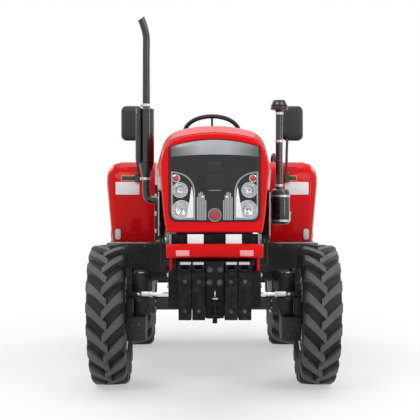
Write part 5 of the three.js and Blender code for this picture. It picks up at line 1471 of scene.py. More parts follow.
def engine():
    refined("engine_block", "chassis", engine_paint(), "cast_iron", 0.004)
    low, high = corners("engine_block")
    front = low.y + 0.060
    rear = high.y
    details = Shape()
    for i in range(4):
        y = front + 0.090 + i * 0.120
        for side in (1, -1):
            details.box((side * 0.165 - 0.004, y, 0.70), (side * 0.165 + 0.004, y + 0.012, 0.98), 0.003)
    details.lathe([(0.046, 0), (0.048, 0.004), (0.048, 0.105), (0.040, 0.114), (0, 0.114)],
                  aim((0.160, front + 0.300, 0.780), (1.0, front + 0.300, 0.740)), 30, 1)
    details.lathe(
        [(0.060, -0.05), (0.066, -0.045), (0.066, 0.05), (0.060, 0.055), (0.020, 0.058), (0.020, -0.052)],
        aim((-0.215, front + 0.090, 0.880), (-0.215, rear, 0.880)), 32, 2, closed=True
    )
    details.lathe([(0.030, -0.075), (0.034, -0.07), (0.034, -0.055), (0.026, -0.05), (0, -0.05)],
                  aim((-0.215, front + 0.090, 0.880), (-0.215, rear, 0.880)), 28, 2)
    for i in range(3):
        y = front + 0.150 + i * 0.120
        details.tube(
            [
                (0.060, y, 1.150), (0.095, y + 0.010, 1.185), (0.150, y + 0.030, 1.120),
                (0.172, y + 0.040, 0.950)
            ], 0.0032, 10, 6, 2
        )
    details.box((0.166, front + 0.100, 0.860), (0.205, front + 0.430, 0.945), 0.008)
    details.box((-0.052, front + 0.110, 1.2118), (0.052, rear - 0.180, 1.2160), 0.002)
    details.lathe(
        [(0, 0), (0.022, 0), (0.026, 0.006), (0.026, 0.018), (0.020, 0.024), (0, 0.024)],
        moved(0, front + 0.170, 1.214), 24, 1
    )
    details.finish("engine_details", "chassis", [engine_paint(), moulded_black(), zinc_plate()], "cast_iron")
    belt = [*arc((0, 0.760), 0.083, 200, 340, 12), *arc((0, 0.960), 0.057, 0, 180, 12)]
    loop = Shape()
    rings = []
    y = front - 0.020
    for x, z in belt:
        out = Vector((x, 0, z - 0.860)).normalized()
        rings.append(
            [
                Vector((x, y - 0.006, z)), Vector((x, y + 0.006, z)),
                Vector((x, y + 0.004, z)) - out * 0.007, Vector((x, y - 0.004, z)) - out * 0.007
            ]
        )
    loop.rings(rings, looped=True)
    loop.finish("fan_belt", "chassis", [soft_rubber()], "black_plastic")
    spots = []
    for i in range(6):
        y = front + 0.045 + i * 0.098
        for x in (-0.090, 0.090):
            spots.append((Vector((x, y, 1.1500)), (0, 0, 1)))
        for x in (-0.1655, 0.1655):
            spots.append((Vector((x, y, 0.655)), (x, 0, 0)))
    spots += [(Vector((x, front - 0.0342, 0.760 + z)), (0, -1, 0)) for x, z in circle(8, 0.060)]
    screws("engine_screws", "chassis", spots, 0.012, zinc_plate())


def driveline():
    refined("drive_shaft_cover", "chassis", cast_finish(), "cast_iron", 0.001)
    refined("transmission", "chassis", cast_finish(), "cast_iron", 0.006)
    refined("rear_axle_housing", "chassis", cast_finish(), "cast_iron", 0.005)
    refined("lift_housing", "chassis", cast_finish(), "cast_iron", 0.004)
    low, high = corners("transmission")
    _, rear_high = corners("rear_axle_housing")
    axle = Vector(joint("rear_wheel_spin_left")["pos_m"])
    ribs = Shape()
    for side in (1, -1):
        for i in range(4):
            y = low.y + 0.520 + i * 0.125
            ribs.box(
                (side * 0.164 - 0.006, y, low.z + 0.030), (side * 0.164 + 0.006, y + 0.010, high.z - 0.220),
                0.003
            )
        ribs.box(
            (side * 0.164 - 0.004, low.y + 0.470, 0.640), (side * 0.164 + 0.004, high.y - 0.020, 0.650),
            0.003
        )
        for x in (0.300, 0.400):
            ribs.lathe([(0.077, -0.006), (0.083, -0.004), (0.083, 0.004), (0.077, 0.006)],
                       aim((side * x, axle.y, axle.z), (side * (x + 1), axle.y, axle.z)), 40, closed=True)
        ribs.box(
            (side * 0.320 - 0.085, axle.y - 0.006, axle.z + 0.070),
            (side * 0.320 + 0.085, axle.y + 0.006, axle.z + 0.092), 0.003
        )
        ribs.box(
            (side * 0.320 - 0.085, axle.y - 0.006, axle.z - 0.092),
            (side * 0.320 + 0.085, axle.y + 0.006, axle.z - 0.070), 0.003
        )
    ribs.box((-0.110, rear_high.y - 0.0985, 0.640), (0.110, rear_high.y - 0.090, 0.752), 0.006)
    ribs.lathe([(0.020, 0), (0.052, 0), (0.055, 0.004), (0.055, 0.012), (0.048, 0.016), (0.020, 0.016)],
               aim((0, rear_high.y - 0.0952, 0.600), (0, rear_high.y + 1, 0.600)), 36, closed=True)
    ribs.finish("casing_ribs", "chassis", [cast_finish()], "cast_iron")
    spots = []
    for x, z in circle(16, 0.172, 0.5):
        if z < -0.050:
            spots.append((Vector((x, low.y - 0.0002, 0.750 + z)), (0, -1, 0)))
    for side in (1, -1):
        for y, z in circle(12, 0.102, 0.5):
            spots.append((Vector((side * 0.2352, axle.y + y, axle.z + z)), (side, 0, 0)))
        for z in (0.430, 0.520, 0.700, 0.740):
            spots.append((Vector((side * 0.150, rear_high.y - 0.0948, z)), (0, 1, 0)))
    spots += [(Vector((x, rear_high.y - 0.079, 0.600 + z)), (0, 1, 0)) for x, z in circle(6, 0.042)]
    screws("casing_screws", "chassis", spots, 0.013, zinc_plate())
    lift_low, lift_high = corners("lift_housing")
    cover = Shape()
    cover.box(
        (-0.095, lift_low.y + 0.020, lift_high.z - 0.0005), (0.095, lift_low.y + 0.036, lift_high.z), 0.0004
    )
    cover.lathe(
        [
            (0, 0.0), (0.020, 0.0), (0.022, 0.006), (0.010, 0.008), (0.010, 0.020), (0.014, 0.024),
            (0, 0.026)
        ], aim((0.121, lift_low.y + 0.060, 0.900), (1, lift_low.y + 0.060, 0.900)), 24
    )
    cover.finish("lift_cover", "chassis", [cast_finish()], "cast_iron")


# ---- Three-point linkage -----------------------------------------------------------------------------
def linkage():
    refined("lift_arms", "lift_arms", cast_finish(), "cast_iron", 0.003)
    refined("top_link", "top_link", cast_finish(), "cast_iron", 0.002)
    refined("drawbar", "chassis", chassis_paint(), "black_paint", 0.003)
    for side_name, side in SIDES:
        refined(f"lower_link_{side_name}", f"lower_link_{side_name}", chassis_paint(), "cast_iron", 0.003)
        refined(f"lift_rod_{side_name}", f"lift_rod_{side_name}", zinc_plate(), "cast_iron", 0.0015)
        swing = Vector(joint(f"lift_rod_swing_{side_name}")["pos_m"])
        low, high = corners(f"lift_rod_{side_name}")
        x = (low.x + high.x) / 2
        nuts = Shape()
        foot = low.z + 0.025
        drop = high.z - 0.025 - foot
        for t in (0.29, 0.72):
            z = foot + drop * t
            nuts.lathe(
                [(0.0093, 0), (0.0165, 0.001), (0.0165, 0.011), (0.0093, 0.012)], moved(x, swing.y, z), 6,
                closed=True
            )
        for i in range(26):
            z = foot + drop * (0.10 + 0.0065 * i)
            nuts.lathe([(0.0088, -0.0012), (0.0104, 0.0), (0.0088, 0.0012)], moved(x, swing.y, z), 18)
        nuts.finish(f"lift_rod_thread_{side_name}", f"lift_rod_{side_name}", [bright_steel()], "steel")
        link_low, link_high = corners(f"lower_link_{side_name}")
        pivot = Vector(joint(f"lower_link_raise_{side_name}")["pos_m"])
        end = Vector((pivot.x, link_high.y - 0.031, link_low.z + 0.031))
        out_x = link_high.x if side > 0 else link_low.x
        trim = Shape()
        for point, radius in ((pivot, 0.030), (end, 0.030)):
            face = Vector((out_x - side * 0.0076, point.y, point.z))
            trim.lathe(
                [
                    (radius - 0.004, 0), (radius + 0.001, 0.001), (radius + 0.001, 0.003),
                    (radius - 0.004, 0.004)
                ], aim(face, face + Vector((side, 0, 0))), 32, closed=True
            )
        trim.finish(f"lower_link_rims_{side_name}", f"lower_link_{side_name}", [bright_steel()], "steel")
        pins = Shape()
        pins.lathe([(0, 0), (0.021, 0), (0.023, 0.003), (0.021, 0.0055), (0, 0.0065)],
                   aim((side * 0.2562, pivot.y, pivot.z), (side, pivot.y, pivot.z)), 28)
        ring = [(side * 0.2555, pivot.y + y, pivot.z - 0.017 + z) for y, z in circle(10, 0.017)]
        pins.tube(ring, 0.0018, 8, 3, closed=True)
        pins.finish(f"link_pin_{side_name}", "chassis", [zinc_plate()], "steel")
    shaft_low, shaft_high = corners("pto_shaft")
    mid = (shaft_low + shaft_high) / 2
    splines = Shape()
    length = shaft_high.y - shaft_low.y
    count = 6
    outline = []
    for i in range(count):
        base = 2 * math.pi * i / count
        for radius, share in (
            (0.0143, -0.5), (0.0143, -0.27), (0.0175, -0.24), (0.0175, 0.0), (0.0175, 0.24), (0.0143, 0.27)
        ):
            a = base + share * 2 * math.pi / count
            outline.append((radius * math.cos(a), radius * math.sin(a)))
    groove = length - 0.040
    stations = (
        (0.0, 1.0), (groove, 1.0), (groove + 0.002, 0.80), (groove + 0.009, 0.80), (groove + 0.011, 1.0),
        (length - 0.003, 1.0), (length, 0.88)
    )
    splines.rings(
        [[Vector((mid.x + x * s, shaft_low.y + y, mid.z + z * s)) for x, z in outline] for y, s in stations]
    )
    splines.finish("pto_splines", "pto_shaft", [bright_steel()], "steel", ["pto_shaft"])
    link = Vector(joint("top_link_swing")["pos_m"])
    _, top_high = corners("top_link")
    tip = Vector((0, top_high.y - 0.024, top_high.z - 0.024))
    base = Vector((0, link.y, link.z))
    way = tip - base
    body = Shape()
    body.lathe(
        [(0.0172, 0.0), (0.019, 0.004), (0.019, 0.196), (0.0172, 0.200)], aim(base + way * 0.27, tip), 28,
        closed=True
    )
    for t in (0.255, 0.735):
        body.lathe(
            [(0.016, 0), (0.0225, 0.001), (0.0225, 0.012), (0.016, 0.013)], aim(base + way * t, tip), 6,
            closed=True
        )
    body.finish("top_link_barrel", "top_link", [zinc_plate()], "cast_iron")


# ---- Hood and nose -----------------------------------------------------------------------------------
def blend_curve(a, b, c, count):
    """Points of a quadratic curve, both ends included."""
    points = []
    for i in range(count + 1):
        t = i / count
        points.append(tuple((1 - t) ** 2 * a[k] + 2 * t * (1 - t) * b[k] + t * t * c[k] for k in (0, 1)))
    return points


WIDE_Z, SKIRT_Z, CHIN_Z = 1.231, 1.105, 0.970  # levels of the hood: widest, side's lower edge, chin
MASK_HALF = 0.231
# along the hood from 0 at the nose to 1 at the cowl: half width, shoulder half, shoulder, crown
HOOD_STATIONS = (
    (0.000, 0.276, 0.250, 1.340, 1.390),
    (0.158, 0.290, 0.262, 1.386, 1.442),
    (0.323, 0.318, 0.272, 1.408, 1.466),
    (1.000, 0.318, 0.282, 1.420, 1.480),
)


def hood_sizes(t):
    """The sizes at a share t of the hood's length, eased through the stations."""
    for a, b in zip(HOOD_STATIONS, HOOD_STATIONS[1:]):
        if t <= b[0]:
            u = (t - a[0]) / (b[0] - a[0])
            return [x + (y - x) * u for x, y in zip(a[1:], b[1:])]
    return list(HOOD_STATIONS[-1][1:])


def hood_half(t, inset, deep):
    """Half outline of the hood from its lower edge up to the crown."""
    half, shoulder, shoulder_z, crown_z = hood_sizes(t)
    half -= inset
    chin = (half - 0.020, CHIN_Z)
    rise = (SKIRT_Z - CHIN_Z) / (WIDE_Z - CHIN_Z)
    low = [(half - 0.034, 0.885), chin] if deep else [(chin[0] + 0.020 * rise, SKIRT_Z)]
    corner = (shoulder - inset, shoulder_z - inset)
    crown = (0.0, crown_z - inset)
    wide = (half, WIDE_Z)
    before = tuple(w + (c - w) * 0.62 for w, c in zip(wide, corner))
    after = (corner[0] * 0.78, corner[1] + (crown[1] - corner[1]) * 0.5)
    rounded = blend_curve(before, corner, after, 9)
    level = (corner[0] * 0.4, crown[1])
    top = blend_curve(after, level, crown, 9)[1:]
    start = low[-1]
    bend = (wide[0] + 0.001, wide[1] - 0.004)
    lower = [
        (start[0] + (bend[0] - start[0]) * k / 4, start[1] + (bend[1] - start[1]) * k / 4)
        for k in range(4)
    ]
    swell = blend_curve(
        lower[-1], wide, (wide[0] + (before[0] - wide[0]) * 0.35, wide[1] + (before[1] - wide[1]) * 0.35), 5
    )
    foot = []
    if deep:
        foot = [
            (low[0][0] + (low[1][0] - low[0][0]) * k / 4, low[0][1] + (low[1][1] - low[0][1]) * k / 4)
            for k in range(4)
        ]
    return [*foot, *lower[:-1], *swell, *rounded, *top]


def hood_line(t, inset, deep):
    half = hood_half(t, inset, deep)
    return [(-x, z) for x, z in half] + half[:-1][::-1]


def mask_line(inset):
    """Outline of the dark mask: a shallow arch above and rounded corners below."""
    half, bottom, corner, top_edge, top = MASK_HALF - inset, 0.942 + inset, 0.042, 1.318 - inset, 1.358
    points = blend_curve((half - corner, bottom), (half, bottom), (half, bottom + corner), 7)
    points += [(half, bottom + corner + (top_edge - bottom - corner) * k / 8) for k in range(1, 8)]
    points += blend_curve((half, top_edge), (0, 2 * top - 1.318 - inset), (-half, top_edge), 28)
    points += [(-half, top_edge - (top_edge - bottom - corner) * k / 8) for k in range(1, 8)]
    points += blend_curve((-half, bottom + corner), (-half, bottom), (-half + corner, bottom), 7)
    return points


def even_around(outline, centre, count):
    """Points of a closed outline at even angles about a centre."""
    points = []
    closed = [*outline, outline[0]]
    for i in range(count):
        angle = 2 * math.pi * i / count
        dx, dz = math.cos(angle), math.sin(angle)
        best = None
        for (x0, z0), (x1, z1) in zip(closed, closed[1:]):
            ex, ez = x1 - x0, z1 - z0
            cross = dx * ez - dz * ex
            if abs(cross) < 1e-12:
                continue
            qx, qz = x0 - centre[0], z0 - centre[1]
            reach = (qx * ez - qz * ex) / cross
            share = (qx * dz - qz * dx) / cross
            if reach > 0 and -1e-6 <= share <= 1 + 1e-6 and (best is None or reach > best):
                best = reach
        points.append((centre[0] + dx * best, centre[1] + dz * best))
    return points


def shrink(points, centre, amount):
    """Moves each point towards the centre by an amount."""
    moved = []
    for x, z in points:
        away = math.hypot(x - centre[0], z - centre[1])
        moved.append((x - (x - centre[0]) * amount / away, z - (z - centre[1]) * amount / away))
    return moved


def hood():
    low, high = corners("hood")
    front, length = low.y, high.y - low.y
    material = [body_paint(), chassis_paint()]
    shell = Shape()
    joint_t = 0.158

    def ring(t, deep):
        y = front + length * t
        outer = hood_line(t, 0, deep)
        inner = hood_line(t, 0.006, deep)[::-1]
        return [Vector((x, y, z)) for x, z in [*outer, *inner]]

    steps = [joint_t + (1 - joint_t) * i / 26 for i in range(27)]
    shell.rings([ring(t, False) for t in steps])
    nose_t = 0.0172
    shell.rings([ring(nose_t + (joint_t - nose_t) * i / 6, True) for i in range(7)])
    centre = (0.0, 1.150)
    count = 168
    outer = even_around(hood_line(0.0, 0, True), centre, count)
    hole = even_around(mask_line(0.0), centre, count)

    def flat(points, y):
        return [Vector((x, y, z)) for x, z in points]

    back = front + 0.0245
    plate = [
        flat(shrink(hole, centre, -0.001), back),
        flat(hole, front + 0.004),
        flat(shrink(hole, centre, -0.003), front + 0.0008),
        flat(shrink(hole, centre, -0.008), front),
        flat(shrink(outer, centre, 0.015), front),
        flat(shrink(outer, centre, 0.007), front + 0.0015),
        flat(shrink(outer, centre, 0.0022), front + 0.006),
        flat(outer, front + 0.014),
        flat(outer, back),
    ]
    shell.rings(plate, looped=True)
    shell.finish("hood_shell", "hood", material, "red_paint", ["hood"], sharp=40)

    trim = Shape()
    for side in (1, -1):
        rows = []
        for i in range(25):
            t = 0.168 + (0.985 - 0.168) * i / 24
            y = front + length * t
            half = hood_sizes(t)[0]
            taper = min(1.0, (t - 0.150) / 0.12)
            low_z, high_z = 1.113, 1.150 + 0.072 * taper
            def at(z):
                share = (WIDE_Z - z) / (WIDE_Z - CHIN_Z)
                return half - 0.020 * share
            section = [
                (at(low_z) - 0.002, low_z), (at(low_z) + 0.0022, low_z + 0.001),
                (at(high_z) + 0.0022, high_z - 0.001), (at(high_z) - 0.002, high_z)
            ]
            rows.append([Vector((side * x, y, z)) for x, z in section])
        trim.rings(rows)
        trim.box(
            (side * 0.3105 - 0.0045, front + length * 0.60, 1.126),
            (side * 0.3105 + 0.0045, front + length * 0.80, 1.132), 0.001, 1
        )
    trim.finish("hood_side_trim", "hood", [trim_finish(), gloss_black()], "silver_paint")
    for side_name, side in SIDES:
        slat = Shape()
        y0 = front + length * 0.36
        slat.box((side * 0.3115 - 0.0035, y0, 1.136), (side * 0.3115 + 0.0035, y0 + 0.010, 1.206), 0.0012,
                 turn=moved(0, y0, 1.170) @ Matrix.Rotation(-0.35, 4, "X") @ moved(0, -y0, -1.170))
        row_of(
            f"hood_louvres_{side_name}", slat, "hood", 16, (0, 0.022, 0), gloss_black(),
        )
    seam = Shape()
    rows = []
    for i in range(40):
        t = 0.03 + 0.965 * i / 39
        crown = hood_sizes(t)[3]
        y = front + length * t
        rows.append(
            [
                Vector((x, y, crown + dz))
                for x, dz in ((-0.016, -0.004), (-0.010, 0.0010), (0.010, 0.0010), (0.016, -0.004))
            ]
        )
    seam.rings(rows)
    seam.finish("hood_spine", "hood", [body_paint()], "red_paint")
    edge = Shape()
    rows = []
    rear_y = high.y
    for x, z in hood_line(1.0, 0, False):
        rows.append(
            [
                Vector((x * 0.985, rear_y - 0.030, z - 0.007)),
                Vector((x * 0.985, rear_y - 0.001, z - 0.007)),
                Vector((x * 0.975, rear_y - 0.001, z - 0.016)),
                Vector((x * 0.975, rear_y - 0.030, z - 0.016))
            ]
        )
    edge.rings(rows)
    edge.finish("hood_rear_seal", "hood", [soft_rubber()], "black_plastic")


def pod_line(inset):
    """Outline of the left lamp pod: a curved brow that falls to a straight inner edge."""
    outer, inner, bottom, corner = 0.221 - inset, 0.098 + inset, 0.950 + inset, 0.042
    points = [(inner + (outer - corner - inner) * k / 4, bottom) for k in range(4)]
    points += blend_curve((outer - corner, bottom), (outer, bottom), (outer, bottom + corner), 8)
    points += [(outer, bottom + corner + (1.196 - inset - bottom - corner) * k / 5) for k in range(1, 5)]
    points += blend_curve((outer, 1.196 - inset), (inner + 0.008, 1.190 - inset), (inner, 1.090), 14)
    points += [(inner, 1.090 - (1.090 - bottom) * k / 6) for k in range(1, 6)]
    return points


def lamp(shape, x, z, y, radius, depth):
    """A bowl with its bulb, bezel and lens, facing forwards."""
    to = aim((x, y, z), (x, y - 1, z))
    domed, bright, glass = 0.006, 1, 2
    r = radius
    shape.lathe(
        [
            (r * 0.18, -depth), (r * 0.45, -depth * 0.86), (r * 0.75, -depth * 0.5), (r * 0.93, 0.0),
            (r * 0.90, 0.0), (r * 0.72, -depth * 0.46), (r * 0.43, -depth * 0.8), (r * 0.18, -depth * 0.94)
        ], to, 40, bright, closed=True
    )
    shape.lathe(
        [
            (r * 0.92, -0.004), (r * 1.02, -0.002), (r * 1.06, 0.002), (r * 1.02, 0.0055),
            (r * 0.95, 0.0055), (r * 0.92, 0.001)
        ], to, 44, bright, closed=True
    )
    shape.lathe(
        [
            (0, -depth * 0.9), (r * 0.16, -depth * 0.9), (r * 0.17, -depth * 0.4),
            (r * 0.12, -depth * 0.15), (0, -depth * 0.08)
        ], to, 20, glass
    )
    profile = [
        (0, domed), (r * 0.35, domed * 0.92), (r * 0.65, domed * 0.68), (r * 0.86, domed * 0.32),
        (r * 0.955, 0.0), (r * 0.94, -0.002), (r * 0.65, domed * 0.4), (r * 0.35, domed * 0.62),
        (0, domed * 0.7)
    ]
    shape.lathe(profile, to, 40, glass)


def nose():
    low, _ = corners("grille_mask")
    front = low.y
    mats = [gloss_black(), visor_finish(), moulded_black(), boss_finish(), bright_steel(), trim_finish()]
    panel = Shape().node("grille_mask", 0.0012)
    count = 46
    rows = []
    for i in range(count + 1):
        x = -0.222 + 0.444 * i / count
        arch = 1.355 - (x / MASK_HALF) ** 2 * 0.037
        low_edge = 1.281 - (x / MASK_HALF) ** 2 * 0.012
        bulge = 0.013 * max(0.0, 1 - (abs(x) / MASK_HALF) ** 4)
        section = []
        for k in range(9):
            v = k / 8
            z = low_edge + (arch - low_edge) * v
            section.append(
                Vector((x, front - bulge * math.sin(math.pi * min(1.0, 0.10 + v * 0.85)) - 0.001, z))
            )
        section += [Vector((x, front + 0.006, arch)), Vector((x, front + 0.006, low_edge))]
        rows.append(section)
    panel.rings(rows, 1)
    for side in (1, -1):
        for i in range(6):
            x = side * (0.0455 + i * 0.0084)
            top = (1.050, 1.076, 1.088, 1.092, 1.086, 1.066)[i]
            panel.box((x - 0.0031, front - 0.0065, 0.9485), (x + 0.0031, front + 0.004, top), 0.0014, 5)
        panel.lathe(
            [(0, 0.0085), (0.0045, 0.008), (0.008, 0.005), (0.0085, 0)],
            aim((side * 0.0625, front - 0.003, 1.064), (side * 0.0625, front - 1, 1.064)), 20, 4
        )
    for x in (-0.0385, 0.0385):
        panel.box((x - 0.0025, front - 0.005, 0.948), (x + 0.0025, front + 0.004, 1.262), 0.0015, 0)
    panel.box((-0.030, front - 0.0032, 1.098), (0.030, front + 0.003, 1.101), 0.001, 1)
    panel.lathe(
        [(0, 0.0050), (0.018, 0.0046), (0.027, 0.0030), (0.0300, 0.0)],
        aim((0, front - 0.001, 0.975), (0, front - 1, 0.975)), 40, 3
    )
    panel.lathe(
        [(0.0295, 0.0), (0.0300, 0.0055), (0.0335, 0.0055), (0.035, 0.0)],
        aim((0, front - 0.001, 0.975), (0, front - 1, 0.975)), 40, 5, closed=True
    )
    panel.box((-0.036, front - 0.0052, 1.190), (0.036, front + 0.002, 1.246), 0.004, 2)
    panel.finish("nose_mask", "hood", mats, "gloss_black_plastic", ["grille_mask"], sharp=35, recalc=False)
    # name, first slat from the middle, how many, pitch, half width, height over the mask, foot, top
    slats = (
        ("upper", 0.050, 17, 0.0100, 0.0011, 0.0035, 1.205, 1.268, gloss_black()),
        ("centre", 0.006, 4, 0.0085, 0.0012, 0.0030, 1.015, 1.088, gloss_black()),
        ("middle", 0.046, 5, 0.0090, 0.0013, 0.0040, 1.078, 1.200, moulded_black()),
    )
    for name, start, steps, pitch, half, proud, foot, top, material in slats:
        for side_name, side in SIDES:
            slat = Shape().box(
                (side * start - half, front - proud, foot), (side * start + half, front + 0.003, top), 0.0006
            )
            row_of(f"mask_slats_{name}_{side_name}", slat, "hood", steps, (side * pitch, 0, 0), material)

    pod_mats = [
        moulded_black(), chrome_plate(), clear_lens(), trim_finish(), marker_lens(), pale_blank(),
        gloss_black()
    ]
    pod = Shape()
    deep = front + 0.026
    brow, inner_brow = pod_line(0.0), pod_line(0.0095)

    def ring(points, y):
        return [Vector((x, y, z)) for x, z in points]

    pod.rings(
        [
            ring(pod_line(0.0004), deep), ring(brow, front - 0.004), ring(pod_line(0.002), front - 0.0075),
            ring(pod_line(0.0075), front - 0.0075), ring(inner_brow, front - 0.004), ring(inner_brow, deep)
        ], 3, looped=True
    )
    back = [Vector((x, deep - 0.006, z)) for x, z in pod_line(0.009)]
    back_rear = [Vector((x, deep + 0.010, z)) for x, z in pod_line(0.009)]
    pod.rings([back_rear, back], 6)
    lamp(pod, 0.1755, 1.1010, front - 0.001, 0.0385, 0.020)
    lamp(pod, 0.1675, 1.0030, front - 0.001, 0.0455, 0.022)
    to = aim((0.1945, front - 0.001, 1.1600), (0.1945, front - 1, 1.1600))
    pod.lathe(
        [(0.0155, -0.006), (0.0185, -0.004), (0.0195, 0.001), (0.0165, 0.002), (0.0155, 0.0)], to, 32, 1,
        closed=True
    )
    pod.lathe(
        [(0, 0.0045), (0.007, 0.0040), (0.0125, 0.0022), (0.0155, -0.001), (0.0155, -0.022), (0, -0.022)],
        to, 32, 4
    )
    # A wedge-shaped part inboard of the lamps, painted pale white as a painted highlight on it.
    highlight_wedge = [
        (0.1072, 0.9600), (0.1440, 0.9600), (0.1360, 1.0000), (0.1275, 1.0500), (0.1200, 1.1000),
        (0.1165, 1.1200), (0.1115, 1.0980), (0.1072, 1.0500)
    ]
    pod.rings(
        [
            [Vector((x, deep - 0.004, z)) for x, z in highlight_wedge],
            [Vector((x, front - 0.0035, z)) for x, z in highlight_wedge],
            [Vector((x + (0.122 - x) * 0.08, front - 0.0060, z + (1.02 - z) * 0.02)) for x, z in highlight_wedge]
        ], 5
    )
    pod.mirror()
    pod.finish("lamp_pods", "hood", pod_mats, "lamp_lens", ["headlamp_left", "headlamp_right"], sharp=35)


def side_panels():
    for side_name, side in SIDES:
        node = f"side_panel_{side_name}"
        low, _ = corners(node)
        refined(node, "chassis", chassis_paint(), "silver_paint", 0.0015)
        plate_x = side * 0.296
        strip = Shape()
        strip.box((side * 0.2905, low.y - 0.001, 0.862), (side * 0.2982, low.y + 0.085, 1.096), 0.003)
        strip.finish(f"{node}_strip", "chassis", [trim_finish()], "silver_paint")
        mesh = Shape()
        for z in (0.900, 1.040):
            mesh.box((plate_x - side * 0.001, low.y + 0.110, z),
                     (plate_x + side * 0.0035, low.y + 0.560, z + 0.008), 0.001)
        mesh.finish(f"{node}_frame", "chassis", [chassis_paint()], "black_paint")
        slat = Shape()
        proud = 0.0030 if side > 0 else 0.0034
        slat.box((plate_x - side * 0.0005, low.y + 0.118, 0.912),
                 (plate_x + side * proud, low.y + 0.126, 1.036), 0.001)
        row_of(f"{node}_louvres", slat, "chassis", 31, (0, 0.0142, 0), chassis_paint())
        buffers = Shape()
        for y in (0.176, 1.056):
            start = low.y + y - 0.006
            buffers.box((side * 0.2912, start, 1.0905), (side * 0.3098, start + 0.030, 1.1045), 0.003)
        buffers.finish(f"{node}_buffers", "chassis", [soft_rubber()], "black_plastic")
        spots = [
            (Vector((plate_x, low.y + y, z)), (side, 0, 0))
            for y, z in (
                (0.060, 1.060), (0.640, 1.070), (1.140, 1.060), (1.140, 0.880), (0.640, 0.870),
                (0.140, 0.875)
            )
        ]
        screws(f"{node}_screws", "chassis", spots, 0.010, zinc_plate())


# ---- Driver's place ----------------------------------------------------------------------------------
def cowl():
    refined("dash_cowl", "chassis", body_paint(), "red_paint", 0.005)
    low, _ = corners("dash_cowl")
    top, foot = Vector((0, low.y + 0.190, 1.418)), Vector((0, low.y + 0.219, 1.335))
    across = (foot - top).normalized()
    out = Vector((0, -across.z, across.y)).normalized()
    lean = Matrix((Vector((1, 0, 0)), -across, out)).transposed().to_4x4()
    lean.translation = (top + foot) / 2 + out * 0.001
    panel = Shape()
    panel.slab(rounded_outline(0.300, 0.104, 0.030), 0.010, lean, 0.003)
    for x, radius in ((-0.090, 0.026), (0.0, 0.040), (0.090, 0.026)):
        dial = lean @ moved(x, 0.0, 0.010)
        panel.lathe(
            [
                (radius, -0.001), (radius + 0.004, 0.0), (radius + 0.004, 0.006), (radius, 0.007),
                (radius - 0.003, 0.004), (radius - 0.003, 0.001)
            ], dial, 40, 1, closed=True
        )
        panel.lathe(
            [(0, 0.0008), (radius - 0.002, 0.0008), (radius - 0.002, -0.001), (0, -0.001)], dial, 36, 2
        )
        for i in range(11):
            turn = dial @ Matrix.Rotation(math.radians(-120 + 24 * i), 4, "Z")
            panel.box((-0.0007, radius * 0.72, 0.0008), (0.0007, radius * 0.88, 0.0016), 0.0002, 3, turn)
        needle = dial @ Matrix.Rotation(math.radians(50), 4, "Z")
        panel.box((-0.0009, 0, 0.0016), (0.0009, radius * 0.7, 0.0028), 0.0003, 4, needle)
        panel.lathe([(0, 0.0), (0.004, 0), (0.004, 0.004), (0, 0.0046)], dial, 16, 1)
    for x in (-0.135, 0.135):
        panel.lathe(
            [(0, 0), (0.009, 0), (0.009, 0.008), (0.007, 0.010), (0, 0.010)],
            lean @ moved(x, -0.030, 0.008), 24, 1
        )
    panel.finish(
        "dash_panel", "chassis", [moulded_black(), trim_finish(), dark_blank(), pale_blank(), body_paint()],
        "black_plastic"
    )
    spots = [
        (Vector((side * 0.3182, low.y + y, z)), (side, 0, 0))
        for side in (1, -1)
        for y, z in ((0.050, 0.860), (0.050, 1.060), (0.140, 0.960))
    ]
    screws("cowl_screws", "chassis", spots, 0.010, zinc_plate())
    bead = Shape()
    rows = [
        [Vector((x * 0.992, y, z - 0.004)) for y in (low.y + 0.001, low.y + 0.012)] + [
            Vector((x * 0.985, low.y + 0.012, z - 0.012)), Vector((x * 0.985, low.y + 0.001, z - 0.012))
        ]
        for x, z in hood_line(1.0, 0, False)
    ]
    bead.rings(rows)
    bead.finish("cowl_seal", "chassis", [soft_rubber()], "black_plastic")


def steering():
    axis = Vector(joint("steering_wheel_turn")["axis"]).normalized()
    if axis.z < 0:
        axis = -axis
    low, high = corners("steering_wheel")
    mid = (low + high) / 2
    to = aim(mid, mid + axis)
    rim_radius, grip = 0.190, 0.015
    wheel = Shape()
    wheel.lathe([(rim_radius + r, h) for r, h in circle(20, grip)], to, 120, closed=True)
    for k in range(3):
        turn = Matrix.Rotation(math.radians(90 + 120 * k), 4, "Z")
        points = [
            to @ turn @ Vector(p)
            for p in ((0.022, 0, -0.064), (0.070, 0, -0.052), (0.130, 0, -0.018), (0.183, 0, -0.001))
        ]
        wheel.tube(points, 0.0075, 18, 8, 1)
    hub = [
        (0, -0.030), (0.026, -0.031), (0.040, -0.040), (0.042, -0.048), (0.042, -0.074), (0.030, -0.0795),
        (0, -0.0795)
    ]
    wheel.lathe(hub, to, 44)
    wheel.lathe([(0, -0.0285), (0.018, -0.0290), (0.022, -0.0305), (0, -0.0305)], to, 32, 1)
    knob = to @ Matrix.Rotation(math.radians(-150), 4, "Z") @ moved(rim_radius, 0, 0.012)
    wheel.lathe(
        [
            (0, 0), (0.008, 0), (0.008, 0.018), (0.017, 0.024), (0.020, 0.036), (0.016, 0.048),
            (0.006, 0.053), (0, 0.0535)
        ], knob, 28
    )
    wheel.finish(
        "steering_wheel_finished", "steering_wheel", [moulded_black(), chassis_paint()], "black_plastic",
        ["steering_wheel"]
    )

    refined("steering_column", "chassis", moulded_black(), "black_plastic", 0.003)


